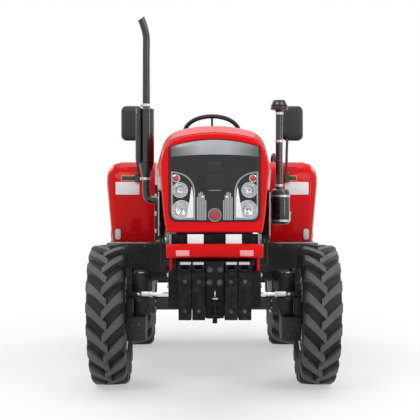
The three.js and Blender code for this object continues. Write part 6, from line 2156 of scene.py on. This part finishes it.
def cabin_floor():
    refined("platform", "chassis", chassis_paint(), "black_paint", 0.003)
    low, _ = corners("platform")
    for side_name, side in SIDES:
        bead = Shape().box(
            (side * 0.225, low.y + 0.120, 0.7845), (side * 0.225 + 0.012, low.y + 0.460, 0.7885), 0.0018
        )
        row_of(
            f"floor_ribs_{side_name}", bead, "chassis", 6, (side * 0.028, 0, 0), soft_rubber(),
        )
    edge = Shape()
    for side in (1, -1):
        edge.box((side * 0.410, low.y - 0.0005, 0.7815), (side * 0.686, low.y + 0.010, 0.7868), 0.0016)
        for x in (0.440, 0.520, 0.600):
            edge.box((side * x, low.y + 0.026, 0.7848), (side * (x + 0.055), low.y + 0.085, 0.7872), 0.001)
    edge.finish("floor_edges", "chassis", [trim_finish()], "silver_paint")
    spots = [
        (Vector((side * x, low.y - 0.0002, z)), (0, -1, 0))
        for side in (1, -1)
        for x, z in ((0.440, 0.765), (0.560, 0.765), (0.660, 0.765))
    ]
    screws("apron_bolts", "chassis", spots, 0.013, black_bolt())


def controls():
    refined("gear_levers", "chassis", chassis_paint(), "steel", 0.0006)
    low, high = corners("gear_levers")
    for side in (1, -1):
        boot = Shape()
        base = Vector((side * 0.034, low.y + 0.060, 0.8505))
        profile = []
        for i in range(7):
            profile += [(0.030 - 0.0032 * i, 0.006 * i), (0.027 - 0.0032 * i, 0.006 * i + 0.003)]
        boot.lathe([(0, 0), *profile, (0, 0.042)], Matrix.Translation(base), 28)
        boot.finish(
            f"lever_boot_{'left' if side > 0 else 'right'}", "chassis", [soft_rubber()], "black_plastic"
        )
    knobs = Shape()
    for side in (1, -1):
        knobs.lathe(
            [
                (0, -0.021), (0.010, -0.020), (0.0175, -0.012), (0.0212, 0.0), (0.0190, 0.012),
                (0.011, 0.020), (0, 0.0215)
            ], moved(side * 0.051, (low.y + high.y) / 2 + 0.0435, high.z - 0.0200), 32
        )
    knobs.finish("lever_knobs", "chassis", [moulded_black()], "steel")
    for name in ("clutch_pedal", "brake_pedal"):
        refined(name, "chassis", chassis_paint(), "black_paint", 0.0015)
        low, high = corners(name)
        pad = Vector(((low.x + high.x) / 2, high.y - 0.018, high.z - 0.020))
        turn = Matrix.Translation(pad) @ Matrix.Rotation(math.radians(-38), 4, "X")
        bars = Shape().box((-0.034, -0.026, 0.0065), (-0.029, 0.026, 0.0100), 0.0012)
        piece = row_of(f"{name}_grip", bars, "chassis", 7, (0.0105, 0, 0), soft_rubber())
        piece.data.transform(turn)


def fenders():
    for side_name, side in SIDES:
        node = f"fender_{side_name}"
        refined(node, "chassis", body_paint(), "red_paint", 0.006, sharp=42)
        low, _ = corners(node)
        front = low.y
        trim = Shape()

        def plate(x0, z0, x1, z1, rise, corner, material):
            a, b = sorted((side * x0, side * x1))
            mid = moved((a + b) / 2, front + 0.0012, (z0 + z1) / 2) @ Matrix.Rotation(math.pi / 2, 4, "X")
            trim.slab(
                rounded_outline(b - a, z1 - z0, corner, 4), rise, mid, min(rise, corner) * 0.3, material
            )

        plate(0.497, 1.105, 0.660, 1.192, 0.0028, 0.006, 0)
        label_end = 0.580 if side > 0 else 0.622
        plate(0.520, 1.198, label_end, 1.236, 0.0026, 0.004, 2)
        plate(0.524, 1.202, label_end - 0.004, 1.232, 0.0034, 0.003, 1)
        plate(0.624, 0.796, 0.662, 0.872, 0.0075, 0.015, 3)
        plate(0.620, 0.792, 0.666, 0.876, 0.0045, 0.017, 4)
        trim.finish(
            f"{node}_plates", "chassis",
            [pale_blank(), dark_blank(), yellow_edge(), reflector_lens(), moulded_black()], "red_paint"
        )
        # A black sheet at the fender's front inner edge, standing in for the shade in the gap beside the
        # hood, with zinc clips.
        gap_filler = Shape()
        edge = [
            (0.336, 0.800), (0.392, 0.792), (0.392, 1.175), (0.376, 1.170), (0.352, 1.100), (0.338, 0.960)
        ]
        rows = [[Vector((side * x, front + y, z)) for x, z in edge] for y in (0.004, 0.009)]
        gap_filler.rings(rows)
        for z in (0.840, 0.960, 1.080):
            gap_filler.box((side * 0.378, front + 0.001, z), (side * 0.3925, front + 0.012, z + 0.030), 0.001, 1)
        gap_filler.finish(f"shade_filler_{side_name}", "chassis", [soft_rubber(), zinc_plate()], "black_plastic")
        spots = [
            (Vector((side * 0.3935, low.y + y, z)), (-side, 0, 0))
            for y, z in ((0.120, 0.860), (0.700, 0.840), (0.700, 1.000))
        ]
        screws(f"{node}_bolts", "chassis", spots, 0.012, zinc_plate())
        rail = Shape()
        points = [
            (side * 0.452, front + y, 1.332 + z)
            for y, z in (
                (0.330, 0.0), (0.345, 0.050), (0.400, 0.072), (0.560, 0.072), (0.615, 0.050), (0.630, 0.0)
            )
        ]
        rail.tube(points, 0.010, 16, 6)
        for y in (0.330, 0.630):
            rail.lathe(
                [(0, 0), (0.020, 0), (0.022, 0.003), (0.013, 0.008), (0, 0.008)],
                moved(side * 0.452, front + y, 1.333), 28
            )
        rail.finish(f"grab_rail_{side_name}", "chassis", [chassis_paint()], "black_paint")
        lamp_low, lamp_high = corners(f"rear_lamp_{side_name}")
        lens = Shape()
        lens.box(lamp_low, (lamp_high.x, lamp_high.y - 0.014, lamp_high.z), 0.006)
        mid_x = (lamp_low.x + lamp_high.x) / 2
        inner, outer = (lamp_low.x + 0.005, lamp_high.x - 0.005)
        left_part = (
            (inner, lamp_high.y - 0.018, lamp_low.z + 0.006),
            (mid_x - 0.002, lamp_high.y, lamp_high.z - 0.006)
        )
        right_part = (
            (mid_x + 0.002, lamp_high.y - 0.018, lamp_low.z + 0.006),
            (outer, lamp_high.y, lamp_high.z - 0.006)
        )
        lens.box(*left_part, 0.005, 1 if side > 0 else 2)
        lens.box(*right_part, 0.005, 2 if side > 0 else 1)
        lens.finish(
            f"rear_lamp_lens_{side_name}", "chassis", [moulded_black(), red_lens(), amber_lens()],
            "red_lens", [f"rear_lamp_{side_name}"]
        )


def mirrors():
    for side_name, side in SIDES:
        node = f"mirror_{side_name}"
        low, high = corners(node)
        head = Vector((side * 0.551, high.y - 0.030, 1.595))
        shape = Shape()
        rows = []
        for y, inset in (
            (-0.0300, 0.040), (-0.0285, 0.026), (-0.0230, 0.012), (-0.0120, 0.004), (0.0060, 0.0),
            (0.0240, 0.0), (0.0300, 0.003)
        ):
            outline = rounded_outline(0.145 - 2 * inset, 0.238 - 2 * inset, 0.036 - inset * 0.4, 7)
            rows.append([head + Vector((x, y, z)) for x, z in outline])
        shape.rings(rows)
        glass = [
            [head + Vector((x, y, z)) for x, z in rounded_outline(0.127, 0.220, 0.026, 7)]
            for y in (0.0296, 0.0312)
        ]
        shape.rings(glass, 1)
        arm_x, arm_y = side * 0.509, low.y + 0.036
        shape.tube(
            [
                (arm_x, arm_y, 1.192), (arm_x, arm_y, 1.33), (arm_x + side * 0.004, arm_y, 1.46),
                (arm_x + side * 0.012, arm_y + 0.004, 1.540), (arm_x + side * 0.018, arm_y + 0.012, 1.600)
            ], 0.009, 20, 8, 2
        )
        shape.lathe(
            [(0, -0.012), (0.014, -0.012), (0.016, -0.008), (0.016, 0.010), (0.012, 0.014), (0, 0.014)],
            moved(arm_x + side * 0.018, arm_y + 0.012, 1.600), 28, 2
        )
        shape.box(
            (arm_x - 0.016, low.y + 0.012, low.z), (arm_x + 0.016, low.y + 0.0335, low.z + 0.070), 0.003, 2
        )
        for z in (1.206, 1.245):
            shape.band(0.009, 0.0135, 0.008, moved(arm_x, arm_y, z), 24, 2)
        shape.finish(
            f"{node}_finished", "chassis", [moulded_black(), mirror_glass(), pipe_black()], "black_plastic",
            [node]
        )


def seat():
    refined("seat_base", "chassis", chassis_paint(), "black_paint", 0.003)
    cushion("seat_cushion")
    cushion("seat_backrest")
    low, _ = corners("seat_base")
    spring = Shape()
    for side in (1, -1):
        coil = [
            (
                side * 0.120 + 0.022 * math.cos(a), low.y + 0.390 + 0.022 * math.sin(a),
                low.z + 0.010 + 0.100 * a / (12 * math.pi)
            )
            for a in [math.pi * k / 6 for k in range(73)]
        ]
        spring.tube(coil, 0.0042, 10, 1)
    spring.finish("seat_springs", "chassis", [bright_steel()], "steel")


def cushion(node):
    """A stuffed cover: the frame's soft solid, blown up a little as cloth, then piped along its edge."""
    low, high = corners(node)
    piece = plain_object(f"{node}_cover", Shape().node(node))
    centre = (low + high) / 2
    piece.data.transform(Matrix.Translation(centre) @ Matrix.Scale(0.985, 4) @ Matrix.Translation(-centre))
    remesh = piece.modifiers.new("Even", "REMESH")
    remesh.mode = "VOXEL"
    remesh.voxel_size = 0.006
    remesh.use_smooth_shade = True
    settle(piece)
    rest = [v.co.copy() for v in piece.data.vertices]
    scene = bpy.context.scene
    padding = scene.tractor_padding
    cloth = piece.modifiers.new("Cover", "CLOTH")
    cloth.settings.use_pressure = True
    cloth.settings.uniform_pressure_force = padding.pressure
    cloth.settings.quality = 5
    cloth.settings.effector_weights.gravity = 0
    cloth.point_cache.frame_start = 1
    cloth.point_cache.frame_end = padding.frames
    for number in range(1, padding.frames + 1):
        scene.frame_set(number)
    settle(piece)
    scene.frame_set(1)
    for vertex, start in zip(piece.data.vertices, rest):
        move = vertex.co - start
        if move.length > padding.cap:
            vertex.co = start + move.normalized() * padding.cap
    smooth = piece.modifiers.new("Fine", "SUBSURF")
    smooth.levels = smooth.render_levels = 1
    settle(piece)
    flute_pitch, flute_depth = 0.062, 0.004
    for vertex in piece.data.vertices:
        point = vertex.co
        if node == "seat_cushion":
            inside = max(0.0, 1 - (abs(point.x) / 0.19) ** 6) * (1 if point.z > centre.z + 0.02 else 0)
            point.z += -flute_depth * inside * max(
                0.0, math.cos((point.y - low.y) * 2 * math.pi / flute_pitch)
            ) ** 14
        else:
            inside = max(0.0, 1 - (abs(point.x) / 0.18) ** 6) * (1 if point.y < centre.y else 0)
            point.y += flute_depth * inside * max(
                0.0, math.cos((point.z - low.z) * 2 * math.pi / flute_pitch)
            ) ** 14
    piece.data.polygons.foreach_set("use_smooth", [True] * len(piece.data.polygons))
    piece.data.materials.clear()
    piece.data.materials.append(seat_cover())
    claim(piece, "chassis", [node])
    if node == "seat_cushion":
        edge = rounded_outline(high.x - low.x + 0.004, high.y - low.y + 0.004, 0.050, 6)
        seam = Shape().tube([(x, y + centre.y, low.z + 0.052) for x, y in edge], 0.0035, 10, 2, closed=True)
        seam.finish(f"{node}_piping", "chassis", [soft_rubber()], "seat_vinyl")


def settle(piece):
    """Applies the modifiers of a piece to its mesh."""
    bpy.context.view_layer.update()
    mesh = bpy.data.meshes.new_from_object(piece.evaluated_get(bpy.context.evaluated_depsgraph_get()))
    piece.modifiers.clear()
    piece.data = mesh


# ---- Exhaust and intake ------------------------------------------------------------------------------
def exhaust():
    low, _ = corners("exhaust_stack")
    x, y = -0.408, low.y + 0.048
    pipe, bore, outlet_z = 0.0235, 0.0213, 1.060
    shape = Shape()
    shape.lathe(
        [
            (pipe, -0.096), (0.0265, -0.092), (0.0400, -0.030), (0.0465, -0.006), (0.048, 0.006),
            (0.048, 0.318), (0.040, 0.326), (pipe, 0.330)
        ], moved(x, y, 1.294), 48, closed=True
    )
    for z in (1.300, 1.612):
        shape.lathe(
            [(0.046, -0.004), (0.0505, -0.002), (0.0505, 0.002), (0.046, 0.004)], moved(x, y, z), 48,
            closed=True
        )
    path = [
        Vector(p)
        for p in (
            (-0.2285, y, outlet_z), (-0.290, y, outlet_z), (-0.360, y, outlet_z), (-0.392, y, 1.068),
            (-0.405, y, 1.090), (x, y, 1.130), (x, y, 1.200), (x, y, 1.296)
        )
    ]
    shape.rings(tube_rings(smooth_path(path, 6), pipe, 28))
    tip = [
        Vector(p)
        for p in (
            (x, y, 1.620), (x, y, 1.780), (x, y, 1.950), (x + 0.001, y, 2.040),
            (x - 0.004, y - 0.004, 2.085), (x - 0.016, y - 0.009, 2.130), (x - 0.030, y - 0.013, 2.166)
        )
    ]
    route = smooth_path(tip, 6)
    outer = tube_rings(route, pipe, 32)
    inner = tube_rings(route, bore, 32)
    for point in (*outer[-1], *inner[-1]):
        point.z += (point.x - route[-1].x) * 0.35  # the tip is cut at a slant
    shape.rings([*outer, *reversed(inner[-10:])])
    shape.finish("exhaust_pipes", "chassis", [pipe_black()], "black_paint", ["exhaust_stack"], sharp=40)
    clamp = Shape()
    for z in (1.191, 1.640):
        clamp.band(pipe, 0.0262, 0.009, moved(x, y, z), 40)
        clamp.box((x - 0.0385, y - 0.006, z - 0.008), (x - 0.0245, y - 0.002, z + 0.008), 0.001)
        clamp.box((x - 0.0385, y + 0.002, z - 0.008), (x - 0.0245, y + 0.006, z + 0.008), 0.001)
        clamp.rod((x - 0.032, y - 0.014, z), (x - 0.032, y + 0.014, z), 0.0032, 12)
    clamp.lathe(
        [(0.024, 0), (0.042, 0.0), (0.042, 0.008), (0.024, 0.009)],
        aim((-0.229, y, outlet_z), (-1, y, outlet_z)), 36, closed=True
    )
    clamp.finish("exhaust_clamps", "chassis", [bright_steel()], "steel")
    refined("muffler_shield", "chassis", heat_shield_finish(), "black_paint", 0.0008)
    hole = Shape()
    hole.lathe([(0, 0), (0.0044, 0), (0.0044, 0.0016), (0, 0.0016)], Matrix(), 10)
    bank = plain_object("shield_dots", hole)
    bank.data.transform(moved(0, 0, 0.0646))
    repeated(bank, "ring", dark_blank(), Count=9, Start=-math.radians(50), Sweep=math.radians(112.5))
    bank.data.transform(moved(-0.130, 0, 0))
    repeated(bank, "row", dark_blank(), Count=21, Step=(0.013, 0, 0))
    bank.data.transform(moved(x, y, 1.454) @ Matrix.Rotation(-math.pi / 2, 4, "Y"))
    claim(bank, "chassis")


def air_intake():
    low, high = corners("air_cleaner")
    x, y = high.x - 0.058, (low.y + high.y) / 2
    can = Shape()
    can.lathe(
        [
            (0, 0), (0.040, 0.0), (0.050, 0.006), (0.056, 0.016), (0.0565, 0.052), (0.058, 0.054),
            (0.058, 0.062), (0.0565, 0.064), (0.0562, 0.196), (0.052, 0.210), (0.040, 0.218),
            (0.024, 0.219), (0, 0.219)
        ], moved(x, y, 0.911), 56
    )
    can.lathe([(0.010, -0.0), (0.014, 0.004), (0.010, 0.012), (0, 0.012), (0, 0)], moved(x, y, 0.9115), 20, 1)
    inlet_z = 1.064
    path = smooth_path(
        [Vector((at, y, inlet_z)) for at in (low.x + 0.0005, low.x + 0.060, low.x + 0.110, x - 0.050)], 14
    )
    can.rings(tube_rings(path, lambda t: 0.0225 + 0.0016 * math.sin(t * 2 * math.pi * 13), 28), 1)
    for at in (0.012, 0.140):
        can.band(0.0235, 0.0262, 0.006, aim((low.x + at, y, inlet_z), (low.x + 1, y, inlet_z)), 36, 2)
    for turn in (-0.55, 0.0, 0.55):
        clip = moved(x, y, 0.969) @ Matrix.Rotation(turn, 4, "Z")
        can.box((0.0565, -0.007, -0.034), (0.0615, 0.007, 0.020), 0.0015, 2, clip)
        can.box((0.0565, -0.009, 0.012), (0.0640, 0.009, 0.020), 0.0015, 2, clip)
    for z in (0.935, 1.085):
        can.band(0.0560, 0.0592, 0.007, moved(x, y, z), 56, 2)
    can.finish(
        "air_cleaner_can", "chassis", [pipe_black(), soft_rubber(), zinc_plate()], "black_plastic",
        ["air_cleaner"]
    )
    stack_low, stack_high = corners("intake_stack")
    sx = (stack_low.x + stack_high.x) / 2
    pipe, radius = Shape(), 0.0215
    pipe.lathe([(0, 0), (radius, 0), (radius, 0.478), (0, 0.478)], moved(sx, y, stack_low.z), 36)
    for z in (1.150, 1.420, 1.590):
        pipe.band(radius, 0.0250, 0.008, moved(sx, y, z), 36, 2)
    pipe.lathe(
        [
            (0, -0.010), (radius, -0.010), (0.026, -0.004), (0.050, 0.002), (0.053, 0.008), (0.053, 0.020),
            (0.0505, 0.022), (0, 0.022)
        ], moved(sx, y, 1.610), 52
    )
    pipe.lathe(
        [(0, 0.020), (0.0480, 0.020), (0.0490, 0.023), (0.0490, 0.028), (0.0480, 0.030), (0, 0.030)],
        moved(sx, y, 1.610), 52, 1
    )
    pipe.lathe(
        [
            (0, 0.028), (0.0515, 0.028), (0.0520, 0.032), (0.0460, 0.048), (0.0415, 0.058), (0.036, 0.061),
            (0, 0.061)
        ], moved(sx, y, 1.610), 52
    )
    pipe.finish(
        "intake_pipe", "chassis", [pipe_black(), moulded_black(), zinc_plate()], "black_plastic",
        ["intake_stack"]
    )


# ---- Stage -------------------------------------------------------------------------------------------
def seen_directly(tree):
    """1 for what the camera, a mirror or a lens shows, 0 for light that falls on a surface."""
    ways = place(tree, "ShaderNodeLightPath")
    first = place(
        tree, "ShaderNodeMath", {0: ways.outputs["Is Camera Ray"], 1: ways.outputs["Is Glossy Ray"]},
        operation="MAXIMUM"
    )
    return place(
        tree, "ShaderNodeMath", {0: first.outputs[0], 1: ways.outputs["Is Transmission Ray"]},
        operation="MAXIMUM"
    ).outputs[0]


def stage():
    """A pale floor, soft studio light and the camera, level and straight ahead."""
    scene = bpy.context.scene
    scene.view_settings.view_transform = "Standard"
    floor_mesh = bpy.data.meshes.new("floor")
    reach = 40.0
    floor_mesh.from_pydata(
        [(-reach, -reach, 0), (reach, -reach, 0), (reach, reach, 0), (-reach, reach, 0)], [], [(0, 1, 2, 3)]
    )
    floor = bpy.data.objects.new("floor", floor_mesh)
    ground = bpy.data.materials.new("studio_floor")
    ground.use_nodes = True
    tree = ground.node_tree
    paint = tree.nodes["Principled BSDF"]
    where = place(tree, "ShaderNodeTexCoord")
    away = place(tree, "ShaderNodeVectorMath", {0: where.outputs["Object"]}, operation="LENGTH")
    fade = place(
        tree, "ShaderNodeMapRange",
        {"Value": away.outputs["Value"], "From Min": 1.9, "From Max": 3.6, "To Min": 0.45},
        interpolation_type="SMOOTHSTEP"
    )
    direct = seen_directly(tree)
    clean = place(tree, "ShaderNodeMath", {0: direct, 1: fade.outputs[0]}, operation="MULTIPLY")
    glow = place(tree, "ShaderNodeEmission", {"Color": (1, 1, 1, 1), "Strength": 1.0})
    both = place(tree, "ShaderNodeMixShader", {0: clean.outputs[0], 1: paint.outputs[0], 2: glow.outputs[0]})
    tree.links.new(both.outputs[0], tree.nodes["Material Output"].inputs["Surface"])
    paint.inputs["Base Color"].default_value = (0.93, 0.93, 0.93, 1)
    paint.inputs["Roughness"].default_value = 0.75
    paint.inputs["Specular IOR Level"].default_value = 0.1
    floor_mesh.materials.append(ground)
    scene.collection.objects.link(floor)

    world = bpy.data.worlds.new("studio")
    scene.world = world
    world.use_nodes = True
    tree = world.node_tree
    tree.nodes.clear()
    soft = place(tree, "ShaderNodeBackground", {"Color": (0.92, 0.95, 1.0, 1), "Strength": 0.46})
    white = place(tree, "ShaderNodeBackground", {"Color": (1, 1, 1, 1), "Strength": 1.0})
    mix = place(
        tree, "ShaderNodeMixShader", {0: seen_directly(tree), 1: soft.outputs[0], 2: white.outputs[0]}
    )
    end = place(tree, "ShaderNodeOutputWorld", {0: mix.outputs[0]})
    end.is_active_output = True

    lamps = (  # place, aimed at, width and height, power
        ((-2.6, -4.6, 4.6), (0, -0.9, 0.9), (3.2, 3.2), 115.0),
        ((3.0, -4.2, 4.0), (0, -0.9, 0.8), (3.0, 3.0), 80.0),
        ((0.0, 0.8, 5.6), (0, 0.0, 0.6), (4.2, 4.2), 100.0),
        ((-3.8, 4.2, 3.6), (0, 0.4, 0.8), (3.0, 3.0), 70.0),
        ((3.8, 3.6, 3.6), (0, 0.4, 0.8), (3.0, 3.0), 70.0),
        ((5.2, -4.6, 1.8), (0, -0.7, 1.2), (0.5, 2.8), 34.0),
    )
    for i, (spot, target, size, power) in enumerate(lamps):
        light = bpy.data.lights.new(f"soft_light_{i}", "AREA")
        light.shape = "ELLIPSE"
        light.size, light.size_y = size
        light.energy = power
        lamp_object = bpy.data.objects.new(f"soft_light_{i}", light)
        lamp_object.matrix_world = Matrix.Translation(spot) @ (
            Vector(target) - Vector(spot)
        ).to_track_quat("-Z", "Y").to_matrix().to_4x4()
        scene.collection.objects.link(lamp_object)

    camera = bpy.data.cameras.new("camera")
    camera.lens, camera.sensor_width = 81.98, 36.0  # millimetres
    camera.clip_end = 100.0
    view = bpy.data.objects.new("camera", camera)
    turn_right = math.radians(0.31)
    view.location = (-0.050, -6.342, 1.000)
    view.rotation_euler = (math.pi / 2, 0, -turn_right)
    scene.collection.objects.link(view)
    scene.camera = view


# ---- Operators ---------------------------------------------------------------------------------------
def operator(name, label, doc, work):
    """An operator class that runs one piece of work."""

    def execute(self, context):
        work()
        return {"FINISHED"}

    fields = {"bl_idname": f"tractor.{name}", "bl_label": label, "__doc__": doc, "execute": execute}
    return type(f"TRACTOR_OT_{name}", (bpy.types.Operator,), fields)


def every_wheel():
    for kind in ("front", "rear"):
        for side_name, side in SIDES:
            tyre(kind, side_name, side)
            rim(kind, side_name, side)


def running_gear():
    front_axle()
    for side_name, side in SIDES:
        front_knuckle(side_name, side)


def front_end():
    front_frame()
    for side_name, _ in SIDES:
        front_weight(side_name)
    bumper()


def power_train():
    radiator()
    engine()
    driveline()


WORK = (
    operator("wheels", "Wheels", "Tyres with their tread, rims, nuts and valves", every_wheel),
    operator("front_axle", "Front Axle", "Beam, steering cylinder, tie rod and knuckles", running_gear),
    operator("front_end", "Front End", "Frame, weight bracket, weights and bumper", front_end),
    operator("power_train", "Power Train", "Radiator, engine, gearbox and rear axle", power_train),
    operator("linkage", "Linkage", "Lift arms, rods, lower links, top link, shaft and drawbar", linkage),
    operator("hood", "Hood", "Hood skin, side strips and spine", hood),
    operator("nose", "Nose", "Mask, visor band, ribs and lamps", nose),
    operator("side_panels", "Side Panels", "Panels under the hood with their louvres", side_panels),
    operator("cowl", "Cowl", "Dash cowl with its dials", cowl),
    operator("steering", "Steering", "Steering wheel and column", steering),
    operator("floor", "Platform", "Platform, ribs and aprons", cabin_floor),
    operator("controls", "Controls", "Levers and pedals", controls),
    operator("fenders", "Fenders", "Fenders, plates, rails and rear lamps", fenders),
    operator("mirrors", "Mirrors", "Mirrors on their arms", mirrors),
    operator("seat", "Seat", "Seat base and padded covers", seat),
    operator("exhaust", "Exhaust", "Pipe, muffler, clamps and heat shield", exhaust),
    operator("intake", "Air Intake", "Air cleaner, hose and pre-cleaner", air_intake),
    operator("stage", "Studio", "Floor, lights and camera", stage),
)
SETTINGS = (
    ("tractor_paint", TractorPaint), ("tractor_tread", TractorTread), ("tractor_padding", TractorPadding)
)


class TRACTOR_PT_parts(bpy.types.Panel):
    """Lists the parts of the tractor and their settings"""

    bl_idname = "TRACTOR_PT_parts"
    bl_label = "Tractor"
    bl_space_type = "VIEW_3D"
    bl_region_type = "UI"
    bl_category = "Tractor"

    def draw(self, context):
        for name, kind in SETTINGS:
            group = getattr(context.scene, name)
            box = self.layout.box()
            for key in kind.__annotations__:
                box.prop(group, key)
        for kind in WORK:
            self.layout.operator(kind.bl_idname)


def register():
    for name, kind in SETTINGS:
        bpy.utils.register_class(kind)
        setattr(bpy.types.Scene, name, bpy.props.PointerProperty(type=kind))
    for kind in (*WORK, TRACTOR_PT_parts):
        bpy.utils.register_class(kind)


def unregister():
    for kind in reversed((*WORK, TRACTOR_PT_parts)):
        bpy.utils.unregister_class(kind)
    for name, kind in reversed(SETTINGS):
        delattr(bpy.types.Scene, name)
        bpy.utils.unregister_class(kind)


def main():
    register()
    for kind in WORK:
        getattr(bpy.ops.tractor, kind.bl_idname.split(".")[1])()


if __name__ == "__main__":
    main()
